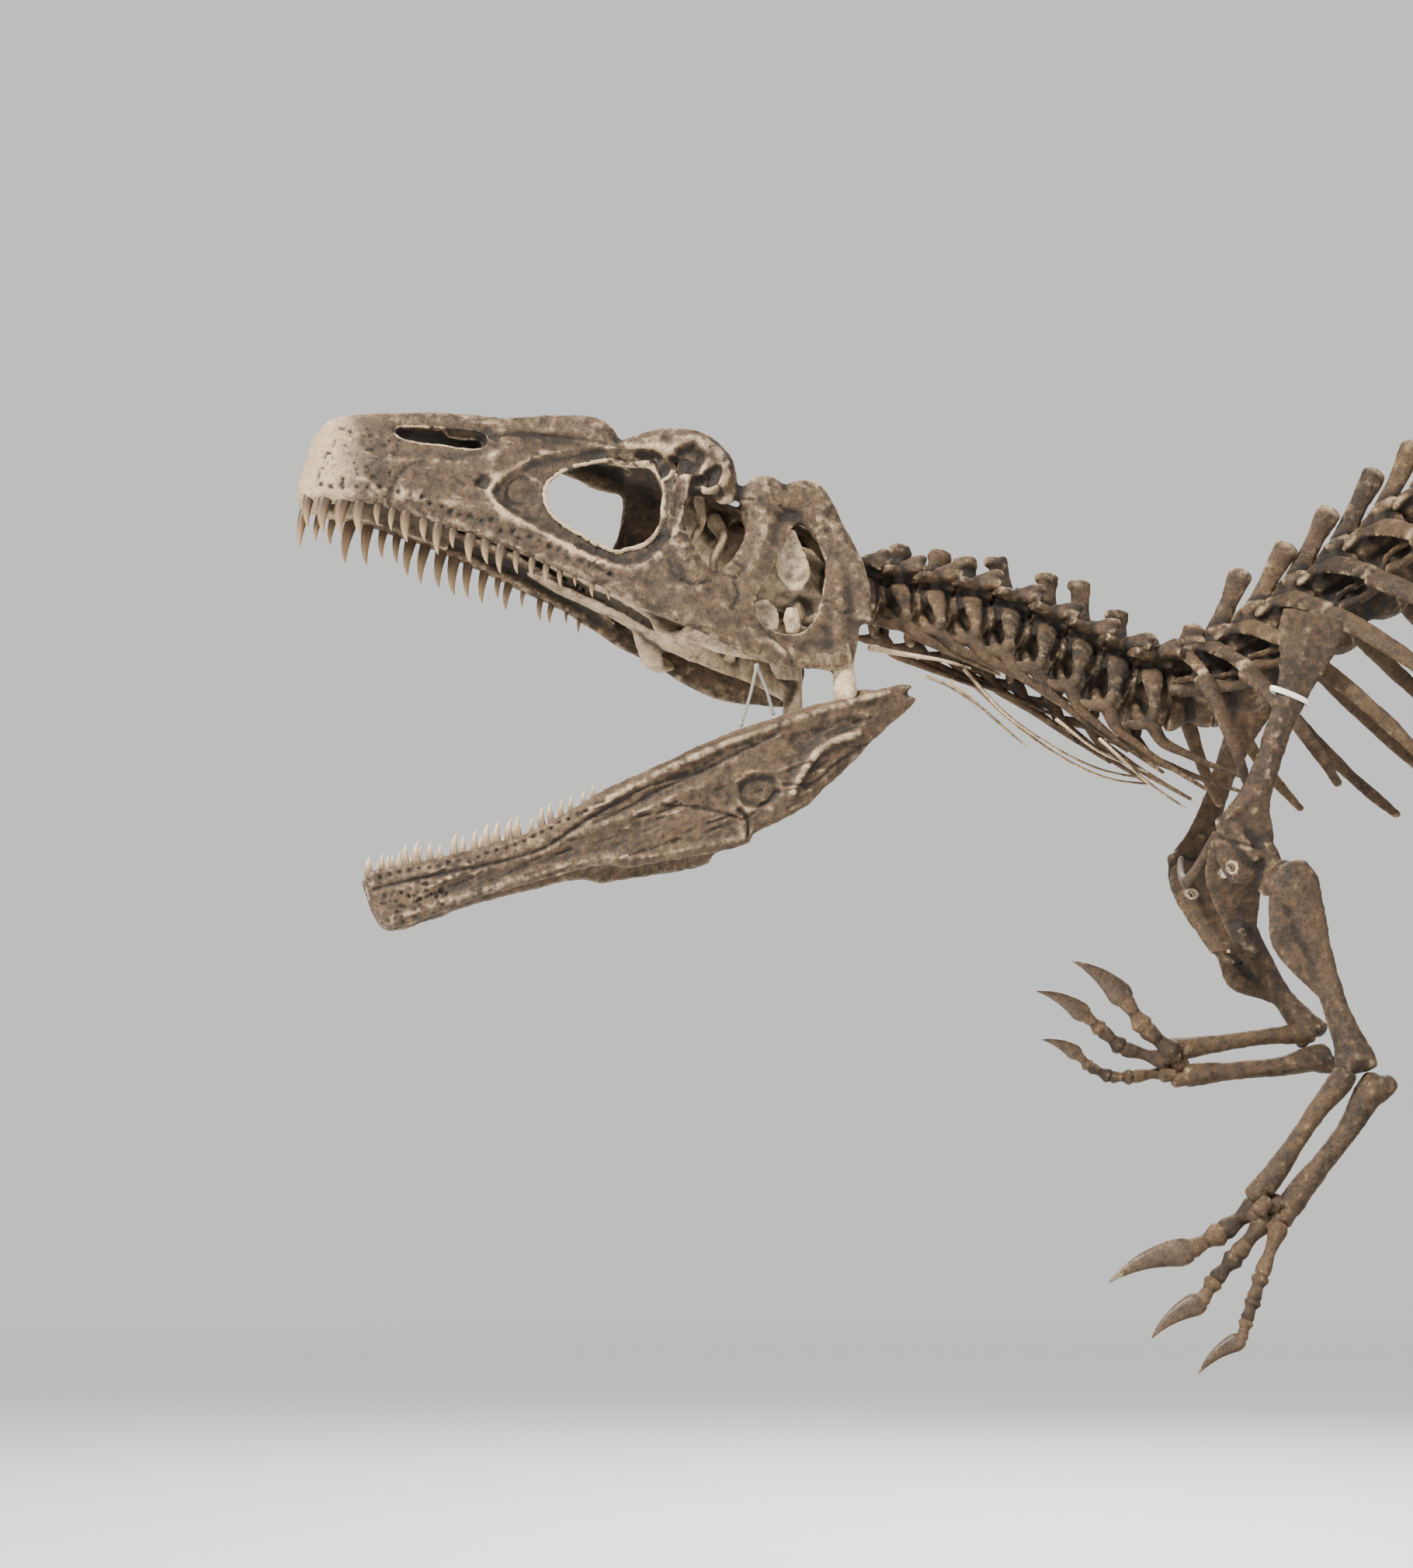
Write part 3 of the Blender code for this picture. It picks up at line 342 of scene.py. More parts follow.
    def fuse(self, pieces: Sequence[Piece], skin: Skin, tone: float = 0.5) -> Piece:
        """Overlapping blanks grown together into one bone.

        Args:
            pieces: The closed blanks.
            skin: The surface that it gets.
            tone: How light this bone is among its neighbours, 0 to 1.

        Returns:
            One closed piece with its tone as an attribute.
        """
        whole = self.join(pieces)
        for offset in (skin.fillet, -skin.fillet) if skin.fillet else (0.0,):
            remesh = whole.modifiers.new("skin", "REMESH")
            remesh.mode = "VOXEL"
            remesh.voxel_size = skin.grain
            if offset:
                grow = whole.modifiers.new("grow", "DISPLACE")
                grow.strength = offset
                grow.mid_level = 0.0
        soften = whole.modifiers.new("soften", "SMOOTH")
        soften.factor = 0.5
        soften.iterations = skin.soften
        for strength, size in ((skin.swell, skin.swell_size), (skin.pitting, skin.pitting_size)):
            if strength:
                uneven = whole.modifiers.new("uneven", "DISPLACE")
                uneven.texture = self.cloud(size)
                uneven.strength = strength
                uneven.mid_level = 0.5
                uneven.texture_coords = "LOCAL"
        self.apply(whole)
        if skin.limit and len(whole.data.polygons) * 2 > skin.limit:
            thin = whole.modifiers.new("thin", "DECIMATE")
            thin.ratio = skin.limit / (len(whole.data.polygons) * 2)
            self.apply(whole)
        self.tint(whole, tone)
        return whole

    def tint(self, piece: Piece, tone: float) -> None:
        """Gives the whole piece one tone."""
        mark = piece.data.attributes.new("tone", "FLOAT", "POINT")
        mark.data.foreach_set("value", np.full(len(piece.data.vertices), tone))

    def copy(self, piece: Piece, matrix: Matrix) -> Piece:
        """A copy with its own mesh, under a matrix, its faces still outwards."""
        mesh = piece.data.copy()
        other = bpy.data.objects.new(piece.name, mesh)
        bpy.context.scene.collection.objects.link(other)
        return self.move(other, matrix)

    def move(self, piece: Piece, matrix: Matrix) -> Piece:
        """The piece with its mesh under a matrix."""
        piece.data.transform(matrix)
        if matrix.determinant() < 0:
            piece.data.flip_normals()
        return piece

    def drop(self, piece: Piece) -> None:
        """Takes a piece off the bench."""
        bpy.data.objects.remove(piece)

    def relief(self, piece: Piece, passes: int = 18, reach: float = 0.004) -> None:
        """Marks how far each point stands out of, or lies below, what is round it.

        Args:
            piece: The piece that gets the mark.
            passes: How widely the surface is averaged.
            reach: The height that counts as one.
        """
        mesh = piece.data
        count = len(mesh.vertices)
        points = read(mesh.vertices, "co")
        near, far = read(mesh.edges, "vertices", 2, np.int32).T
        shares = np.maximum(np.bincount(near, minlength=count)
                            + np.bincount(far, minlength=count), 1)[:, None]
        level = points.copy()
        for _ in range(passes):
            sums = [np.bincount(near, weights=level[far, axis], minlength=count)
                    + np.bincount(far, weights=level[near, axis], minlength=count)
                    for axis in range(3)]
            level = 0.3 * level + 0.7 * np.stack(sums, axis=1) / shares
        normals = read(mesh.vertex_normals, "vector")
        height = np.einsum("ij,ij->i", points - level, normals) / reach
        height -= np.median(height)
        mark = mesh.attributes.new("relief", "FLOAT", "POINT")
        mark.data.foreach_set("value", np.clip(height, -1.0, 1.0))

    def dress(self, piece: Piece, name: str, nodes: Sequence[str],
              material: bpy.types.Material, detailed: bool = True, keep: float = 0.5) -> Piece:
        """Names a finished piece, gives it its finish and ties it to the frame.

        Args:
            piece: The finished piece, at the origin.
            name: Its name.
            nodes: The CAD nodes that it stands for.
            material: The finish.
            detailed: Whether the finish reads tone and relief.
            keep: The share of its faces that stay when a detailed piece is thinned.

        Returns:
            The same piece.
        """
        piece.name = name
        piece.data.name = name
        if detailed:
            self.relief(piece)
        if detailed and keep < 1.0:
            thin = piece.modifiers.new("thin", "DECIMATE")
            thin.ratio = keep
            self.apply(piece)
        piece.data.materials.clear()
        piece.data.materials.append(material)
        self.choose(piece)
        bpy.ops.object.shade_smooth()
        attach(piece, BODY)
        for node in nodes:
            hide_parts(node)
        piece.data.calc_loop_triangles()
        log.info("%s: %d triangles", name, len(piece.data.loop_triangles))
        return piece


class Carving:
    """Fine cuts and swellings in a finished piece's outer surface, all in millimetres."""

    def __init__(self, piece: Piece, both: bool = True) -> None:
        """Reads the surface.

        Args:
            piece: The piece to carve, its middle plane in XZ.
            both: Whether both sides are carved, or only the outer face of a left piece.
        """
        self.mesh = piece.data
        self.points = read(self.mesh.vertices, "co") * PER_METRE
        self.normals = read(self.mesh.vertex_normals, "vector")
        outward = self.normals[:, 1] * (np.sign(self.points[:, 1]) if both else -1.0)
        self.facing = np.clip((outward - 0.15) / 0.35, 0.0, 1.0)
        self.flat = self.points[:, (0, 2)].copy()

    def distance(self, line: np.ndarray, chosen: np.ndarray) -> np.ndarray:
        """How far the chosen points lie from a line of (x, z) points."""
        spots = self.flat[chosen]
        best = np.full(len(spots), 1e9)
        for start, end in zip(line, line[1:]):
            step = end - start
            share = np.clip((spots - start) @ step / max(step @ step, 1e-12), 0.0, 1.0)
            gap = spots - start - share[:, None] * step
            best = np.minimum(best, np.einsum("ij,ij->i", gap, gap))
        return np.sqrt(best)

    def near(self, line: np.ndarray, margin: float) -> np.ndarray:
        """The points in the box round a line."""
        low, high = line.min(axis=0) - margin, line.max(axis=0) + margin
        return np.flatnonzero(np.all((self.flat > low) & (self.flat < high), axis=1)
                              & (self.facing > 0))

    def press(self, chosen: np.ndarray, weight: np.ndarray, depth: float) -> None:
        """Moves the chosen points in by a weighted depth; a negative one raises them."""
        amount = (weight * self.facing[chosen] * depth)[:, None]
        self.points[chosen] -= self.normals[chosen] * amount

    def stroke(self, line: Rows, width: float, depth: float) -> None:
        """A groove, or a ridge where depth is negative, along a smooth line."""
        path = smooth_rows(line, 4) if len(line) > 2 else np.asarray(line, dtype=float)
        chosen = self.near(path, width * 2.5)
        gap = self.distance(path, chosen)
        self.press(chosen, np.exp(-(gap / width) ** 2), depth)

    def pit(self, center: Point, radius: float, depth: float) -> None:
        """A round pit: a stroke of next to no length."""
        self.stroke((center, (center[0] + 0.01, center[1])), radius, depth)

    def dish(self, outline: Rows, depth: float, blur: float) -> None:
        """A hollow with a soft edge inside a smooth outline."""
        loop = even_loop(outline, 48)
        ring = np.vstack((loop, loop[:1]))
        chosen = self.near(ring, blur * 2)
        gap = self.distance(ring, chosen)
        spots = self.flat[chosen]
        inside = np.zeros(len(spots), dtype=bool)
        for (x0, z0), (x1, z1) in zip(ring, ring[1:]):
            crosses = (z0 > spots[:, 1]) != (z1 > spots[:, 1])
            if z1 != z0:
                inside ^= crosses & (spots[:, 0] < (x1 - x0) * (spots[:, 1] - z0) / (z1 - z0) + x0)
        share = np.clip(np.where(inside, gap, -gap) / blur * 0.5 + 0.5, 0.0, 1.0)
        self.press(chosen, share * share * (3 - 2 * share), depth)

    def finish(self) -> None:
        """Writes the carved surface back."""
        self.mesh.vertices.foreach_set("co", mm(self.points).ravel())
        self.mesh.update()


# ---------------------------------------------------------------- finishes

class Wire:
    """A node socket whose maths is written as Python expressions."""

    def __init__(self, desk: "Desk", socket: bpy.types.NodeSocket) -> None:
        """Wraps a socket of a desk's material."""
        self.desk = desk
        self.socket = socket

    def maths(self, operation: str, first: Any, second: Any) -> "Wire":
        """One Math node on two values."""
        node = self.desk.node("ShaderNodeMath", {"operation": operation}, {0: first, 1: second})
        return Wire(self.desk, node.outputs[0])

    def __add__(self, other: Any) -> "Wire":
        """Sum."""
        return self.maths("ADD", self, other)

    __radd__ = __add__

    def __sub__(self, other: Any) -> "Wire":
        """Difference."""
        return self.maths("SUBTRACT", self, other)

    def __rsub__(self, other: Any) -> "Wire":
        """Difference from a number."""
        return self.maths("SUBTRACT", other, self)

    def __mul__(self, other: Any) -> "Wire":
        """Product."""
        return self.maths("MULTIPLY", self, other)

    __rmul__ = __mul__

    def __pow__(self, other: float) -> "Wire":
        """Power."""
        return self.maths("POWER", self, other)


class Desk:
    """Puts together one node material."""

    def __init__(self, name: str) -> None:
        """Starts a material with its shader and object coordinates."""
        self.material = bpy.data.materials.new(name)
        self.material.use_nodes = True
        self.tree = self.material.node_tree
        self.tree.nodes.clear()
        self.shader = self.node("ShaderNodeBsdfPrincipled", {}, {})
        self.node("ShaderNodeOutputMaterial", {}, {"Surface": Wire(self, self.shader.outputs[0])})
        place = self.node("ShaderNodeTexCoord", {}, {})
        self.place = Wire(self, place.outputs["Object"])

    def node(self, kind: str, settings: dict[str, Any], inputs: dict[Any, Any]) -> bpy.types.Node:
        """One node with its settings, then the values or links of its sockets.

        Args:
            kind: The node's type.
            settings: Its properties.
            inputs: Values or wires by socket name or number.

        Returns:
            The node.
        """
        node = self.tree.nodes.new(kind)
        for key, value in settings.items():
            setattr(node, key, value)
        for key, value in inputs.items():
            self.plug(node.inputs[key], value)
        return node

    def plug(self, socket: bpy.types.NodeSocket, value: Any) -> None:
        """Links a wire to a socket, or sets the socket to a value."""
        if isinstance(value, Wire):
            self.tree.links.new(value.socket, socket)
        else:
            socket.default_value = value

    def noise(self, scale: float, detail: float = 4.0, roughness: float = 0.55,
              stretch: Point = (1.0, 1.0, 1.0)) -> Wire:
        """Noise of a size, from 0 to 1, on object coordinates."""
        place = self.place
        if tuple(stretch) != (1.0, 1.0, 1.0):
            turned = self.node("ShaderNodeMapping", {}, {"Vector": place, "Scale": stretch})
            place = Wire(self, turned.outputs[0])
        node = self.node("ShaderNodeTexNoise", {}, {"Vector": place, "Scale": scale,
                                                    "Detail": detail, "Roughness": roughness})
        return Wire(self, node.outputs[0])

    def cells(self, scale: float) -> Wire:
        """Distance to the nearest of scattered points."""
        node = self.node("ShaderNodeTexVoronoi", {}, {"Vector": self.place, "Scale": scale})
        return Wire(self, node.outputs["Distance"])

    def mark(self, name: str) -> Wire:
        """A number that the piece carries at each point."""
        node = self.node("ShaderNodeAttribute", {"attribute_name": name}, {})
        return Wire(self, node.outputs["Fac"])

    def axis(self, name: str) -> Wire:
        """One of the object coordinates."""
        node = self.node("ShaderNodeSeparateXYZ", {}, {0: self.place})
        return Wire(self, node.outputs[name])

    def up(self) -> Wire:
        """How far the surface faces up, from -1 to 1."""
        geometry = self.node("ShaderNodeNewGeometry", {}, {})
        node = self.node("ShaderNodeSeparateXYZ", {}, {0: Wire(self, geometry.outputs["Normal"])})
        return Wire(self, node.outputs["Z"])

    def step(self, value: Wire, low: float, high: float) -> Wire:
        """0 below low and 1 above high, with a soft change between; low may be the higher."""
        node = self.node("ShaderNodeMapRange", {"interpolation_type": "SMOOTHSTEP"},
                         {"Value": value, "From Min": low, "From Max": high})
        return Wire(self, node.outputs[0])

    def mix(self, share: Any, first: Any, second: Any) -> Wire:
        """From one colour to another."""
        colours = [value if isinstance(value, Wire) else (*value, 1.0)
                   for value in (first, second)]
        node = self.node("ShaderNodeMix", {"data_type": "RGBA"},
                         {0: share, 6: colours[0], 7: colours[1]})
        return Wire(self, node.outputs[2])

    def bump(self, height: Wire, strength: float, distance: float) -> Wire:
        """A normal that follows a height."""
        node = self.node("ShaderNodeBump", {}, {"Strength": strength, "Distance": distance,
                                                "Height": height})
        return Wire(self, node.outputs[0])

    def finish(self, **inputs: Any) -> bpy.types.Material:
        """Sets the shader's sockets, named with _ for a space, and hands the material over."""
        for key, value in inputs.items():
            self.plug(self.shader.inputs[key.replace("_", " ")], value)
        return self.material


Colour = tuple[float, float, float]


@dataclass(frozen=True)
class BoneFinish:
    """Old fossil bone: mottled browns, pale raised edges that are partly wear and partly painted
    highlight, dark pores, and painted shade in the hollows.
    """

    name: str = "fossil_bone"
    dark: Colour = (0.016, 0.009, 0.004)
    middle: Colour = (0.066, 0.038, 0.018)
    light: Colour = (0.165, 0.104, 0.054)
    cream: Colour = (0.520, 0.395, 0.250)
    # Near-black of the painted shade in sunken places.
    hollow: Colour = (0.005, 0.003, 0.0015)
    # How strongly raised edges turn cream: worn bone and painted highlight together.
    wear: float = 0.80
    lightness: float = 0.05
    roughness: float = 0.62
    coat: float = 0.0
    bump: float = 0.8
    # X ahead of which the snout gets a painted cream highlight, as if lit from the front; None for
    # none.
    pale_before: float | None = None

    def make(self) -> bpy.types.Material:
        """Builds the material.

        Returns:
            The material, which reads the marks tone and relief.
        """
        desk = Desk(self.name)
        broad = desk.noise(2.6, 3.0)
        patch = desk.noise(13.0, 5.0, 0.62)
        fleck = desk.noise(70.0, 6.0, 0.68)
        grain = desk.noise(330.0, 3.0)
        fibre = desk.noise(60.0, 4.0, 0.6, (0.35, 1.0, 1.0))
        pores = desk.step(desk.cells(210.0), 0.16, 0.34)
        relief = desk.mark("relief")
        tone = desk.mark("tone")

        shade = patch * 0.50 + broad * 0.35 + fleck * 0.80 + tone * 0.26 + (self.lightness - 0.70)
        body = desk.mix(desk.step(shade, 0.12, 0.38), self.dark, self.middle)
        body = desk.mix(desk.step(shade, 0.34, 0.66), body, self.light)
        # Raised places turn cream: partly worn bone, partly a painted highlight along the edges.
        worn = desk.step(relief + fleck * 0.90 - 0.40, 0.12, 0.78)
        body = desk.mix(worn * self.wear, body, self.cream)
        # Faces that point up turn a little paler, in patches.
        dust = desk.step(desk.up() + patch * 0.6, 0.75, 1.45)
        body = desk.mix(dust * 0.20, body, self.light)
        # Painted highlight: the front of the snout turns cream, as if lit from the front.
        if self.pale_before is not None:
            front = desk.step(desk.axis("X") + patch * 0.05, self.pale_before + 0.055,
                              self.pale_before)
            body = desk.mix(front * 0.55, body, self.cream)
        # Painted shade: sunken places are darkened nearly to black, as if in shadow.
        deep = desk.step(relief - patch * 0.25, -0.06, -0.62)
        body = desk.mix(deep * 0.92, body, self.hollow)
        body = desk.mix((1.0 - pores) * 0.35, body, self.dark)

        height = fleck * 0.50 + grain * 0.20 + fibre * 0.30 + pores * 0.30 + patch * 0.60
        rough = self.roughness + fleck * 0.25 - worn * 0.10
        return desk.finish(Base_Color=body, Roughness=rough,
                           Normal=desk.bump(height, self.bump, 0.0035),
                           Coat_Weight=self.coat, Coat_Roughness=0.35,
                           Specular_IOR_Level=0.38)


@dataclass(frozen=True)
class ToothFinish:
    """Enamel: honey brown at the root and paler at the tip, with a low gloss."""

    name: str = "tooth_enamel"
    root: Colour = (0.040, 0.021, 0.009)
    tip: Colour = (0.270, 0.180, 0.095)
    flaw: Colour = (0.020, 0.011, 0.005)

    def make(self) -> bpy.types.Material:
        """Builds the material, which reads the mark tone along each tooth."""
        desk = Desk(self.name)
        tone = desk.mark("tone")
        streak = desk.noise(160.0, 4.0, 0.6, (1.0, 1.0, 0.15))
        fleck = desk.noise(240.0, 5.0)
        body = desk.mix(desk.step(tone + streak * 0.5 - 0.25, 0.10, 0.95), self.root, self.tip)
        body = desk.mix(desk.step(fleck, 0.60, 0.72) * 0.5, body, self.flaw)
        return desk.finish(Base_Color=body, Roughness=0.30 + fleck * 0.25, Coat_Weight=0.25,
                           Coat_Roughness=0.25, Normal=desk.bump(streak + fleck, 0.25, 0.001))


@dataclass(frozen=True)
class SteelFinish:
    """Painted steel with a fine orange peel and rubbed edges."""

    name: str = "painted_steel"
    paint: Colour = (0.030, 0.030, 0.032)
    worn: Colour = (0.120, 0.118, 0.115)
    roughness: float = 0.38

    def make(self) -> bpy.types.Material:
        """Builds the material."""
        desk = Desk(self.name)
        peel = desk.noise(420.0, 2.0)
        smear = desk.noise(9.0, 5.0, 0.6)
        body = desk.mix(desk.step(smear, 0.50, 0.80) * 0.5, self.paint, self.worn)
        return desk.finish(Base_Color=body, Metallic=0.25, Coat_Weight=0.35,
                           Roughness=self.roughness + smear * 0.20, Coat_Roughness=0.25,
                           Normal=desk.bump(peel, 0.12, 0.0008))


@dataclass(frozen=True)
class PlinthFinish:
    """A museum plinth: matt charcoal paint, faintly scuffed and dusty on top."""

    paint: Colour = (0.055, 0.054, 0.052)
    dust: Colour = (0.165, 0.155, 0.140)
    edge: Colour = (0.110, 0.106, 0.100)

    def make(self) -> bpy.types.Material:
        """Builds the material."""
        desk = Desk("plinth_paint")
        cloud = desk.noise(3.0, 6.0, 0.62)
        scuff = desk.noise(26.0, 5.0, 0.7, (1.0, 0.25, 1.0))
        grain = desk.noise(500.0, 3.0)
        body = desk.mix(desk.step(cloud, 0.40, 0.75) * 0.45, self.paint, self.edge)
        top = desk.step(desk.up(), 0.5, 0.9)
        body = desk.mix(top * desk.step(scuff + cloud * 0.4, 0.62, 0.95) * 0.5, body, self.dust)
        return desk.finish(Base_Color=body, Roughness=0.55 + scuff * 0.2,
                           Normal=desk.bump(grain + scuff, 0.12, 0.001))


@dataclass(frozen=True)
class FloorFinish:
    """A plain pale studio floor that ends softly."""

    colour: Colour = (0.78, 0.775, 0.76)
    clear: float = 9.0
    gone: float = 17.0

    def make(self) -> bpy.types.Material:
        """Builds the material."""
        desk = Desk("studio_floor")
        far = desk.axis("X") ** 2.0 + desk.axis("Y") ** 2.0
        grain = desk.noise(40.0, 3.0)
        return desk.finish(Base_Color=(*self.colour, 1.0), Roughness=0.80 + grain * 0.1,
                           Alpha=desk.step(far, self.gone ** 2, self.clear ** 2))


class Finishes:
    """Every finish of the model, made once."""

    def __init__(self) -> None:
        """Builds the materials."""
        self.bone = BoneFinish().make()
        # The skull's finish paints a cream highlight on the front of its snout.
        self.skull = BoneFinish("skull_bone", dark=(0.020, 0.012, 0.006),
                                middle=(0.075, 0.046, 0.024), light=(0.175, 0.115, 0.064),
                                pale_before=-2.34, lightness=0.03, wear=0.70).make()
        self.pale = BoneFinish("pale_bone", dark=(0.100, 0.064, 0.036),
                               middle=(0.330, 0.245, 0.155), light=(0.620, 0.510, 0.370),
                               lightness=0.06).make()
        self.neck = BoneFinish("neck_bone", dark=(0.014, 0.008, 0.0035),
                               middle=(0.070, 0.041, 0.020), wear=0.90, lightness=0.02).make()
        self.claw = BoneFinish("claw_bone", dark=(0.018, 0.010, 0.005),
                               middle=(0.066, 0.038, 0.019), roughness=0.42, coat=0.15).make()
        self.tooth = ToothFinish().make()
        self.peg = ToothFinish("peg_enamel", (0.120, 0.073, 0.036), (0.450, 0.330, 0.200),
                               (0.060, 0.036, 0.018)).make()
        self.steel = SteelFinish().make()
        self.wire = SteelFinish("bare_wire", (0.22, 0.21, 0.20), (0.40, 0.39, 0.37), 0.30).make()
        self.band = SteelFinish("pale_band", (0.70, 0.68, 0.64), (0.52, 0.49, 0.44), 0.45).make()
        self.plinth = PlinthFinish().make()


# ---------------------------------------------------------------- frames of the head

HEAD_YAW = math.radians(14.0)
SKULL_TIP = Vector((-2.405, -0.247, 1.758))
SKULL_PITCH = math.radians(17.0)
JAW_TIP = Vector((-2.307, -0.222, 1.245))
JAW_PITCH = math.radians(-19.0)


def head_pose(tip: Vector, pitch: float) -> Matrix:
    """The frame of a head bone: X runs to its rear, Z up its side, from its front tip."""
    turn = Matrix.Rotation(HEAD_YAW, 4, "Z") @ Matrix.Rotation(pitch, 4, "Y")
    return Matrix.Translation(tip) @ turn


@dataclass
class ToothRow:
    """One margin's teeth, cut from one pattern tooth.

    Each row is a place from the snout, the margin's height and its half width.  The sign is 1
    for teeth that hang and -1 for teeth that stand.
    """

    count: int
    start: float
    length: float
    sizes: Knots
    row: Rows
    inset: float
    rake: float
    girth: float
    sign: float
    seed: int

    def pattern(self, bench: Bench) -> Piece:
        """A tooth of length one, root up at the origin and tip down, curved to the rear."""
        table = [
            (0, 0, 360, 120, 85), (0, 0, 100, 150, 105), (0, 0, -120, 152, 105),
            (20, 0, -400, 128, 86), (70, 0, -680, 88, 58), (145, 0, -900, 46, 30),
            (200, 0, -1000, 12, 9)]
        tooth = bench.sweep(mm(table), LENGTHWISE, sides=10, cuts=2, dome=0.8)
        mark = tooth.data.attributes.new("tone", "FLOAT", "POINT")
        mark.data.foreach_set("value", np.clip(-read(tooth.data.vertices, "co")[:, 2], 0.0, 1.0))
        return tooth

    def build(self, bench: Bench, side: Side) -> list[Piece]:
        """The teeth of one side.

        Args:
            bench: Where they are made.
            side: The side they stand on.

        Returns:
            The teeth in the frame of the bone.
        """
        chance = np.random.default_rng(self.seed + side.value)
        pattern = self.pattern(bench)
        heights = [(x, z) for x, z, _ in self.row]
        halves = [(x, half) for x, _, half in self.row]
        teeth = []
        for index in range(self.count):
            share = index / (self.count - 1)
            x = self.start + self.length * share + chance.uniform(-0.003, 0.003)
            size = at(self.sizes, share) * chance.choice((1.0, 1.02, 0.90, 0.72, 1.08))
            y = side.value * (at(halves, x) - self.inset)
            place = Matrix.Translation((x, y, at(heights, x)))
            lean = Matrix.Rotation(self.rake + chance.uniform(-0.07, 0.07), 4, "Y")
            wide = size * self.girth * chance.uniform(0.9, 1.1)
            scale = Matrix.Diagonal((wide, wide, size * self.sign, 1.0))
            teeth.append(bench.copy(pattern, place @ lean @ scale))
        bench.drop(pattern)
        return teeth


NARIS: Rows = (
    (78, 140), (110, 154), (150, 165), (196, 174), (206, 160), (186, 146), (140, 136), (98, 128))
ANTORBITAL: Rows = (
    (304, 111), (306, 139), (336, 172), (380, 198), (430, 207), (452, 180), (461, 146), (459, 104),
    (438, 74), (405, 69), (355, 79), (322, 90))
ORBIT: Rows = (
    (503, 190), (536, 194), (568, 186), (579, 160), (577, 115), (556, 66), (532, 88), (503, 122),
    (491, 158))
REAR_FENESTRA: Rows = (
    (642, 186), (660, 196), (684, 170), (699, 140), (704, 80), (694, 40), (664, 26), (634, 30),
    (616, 56), (626, 104), (636, 150))


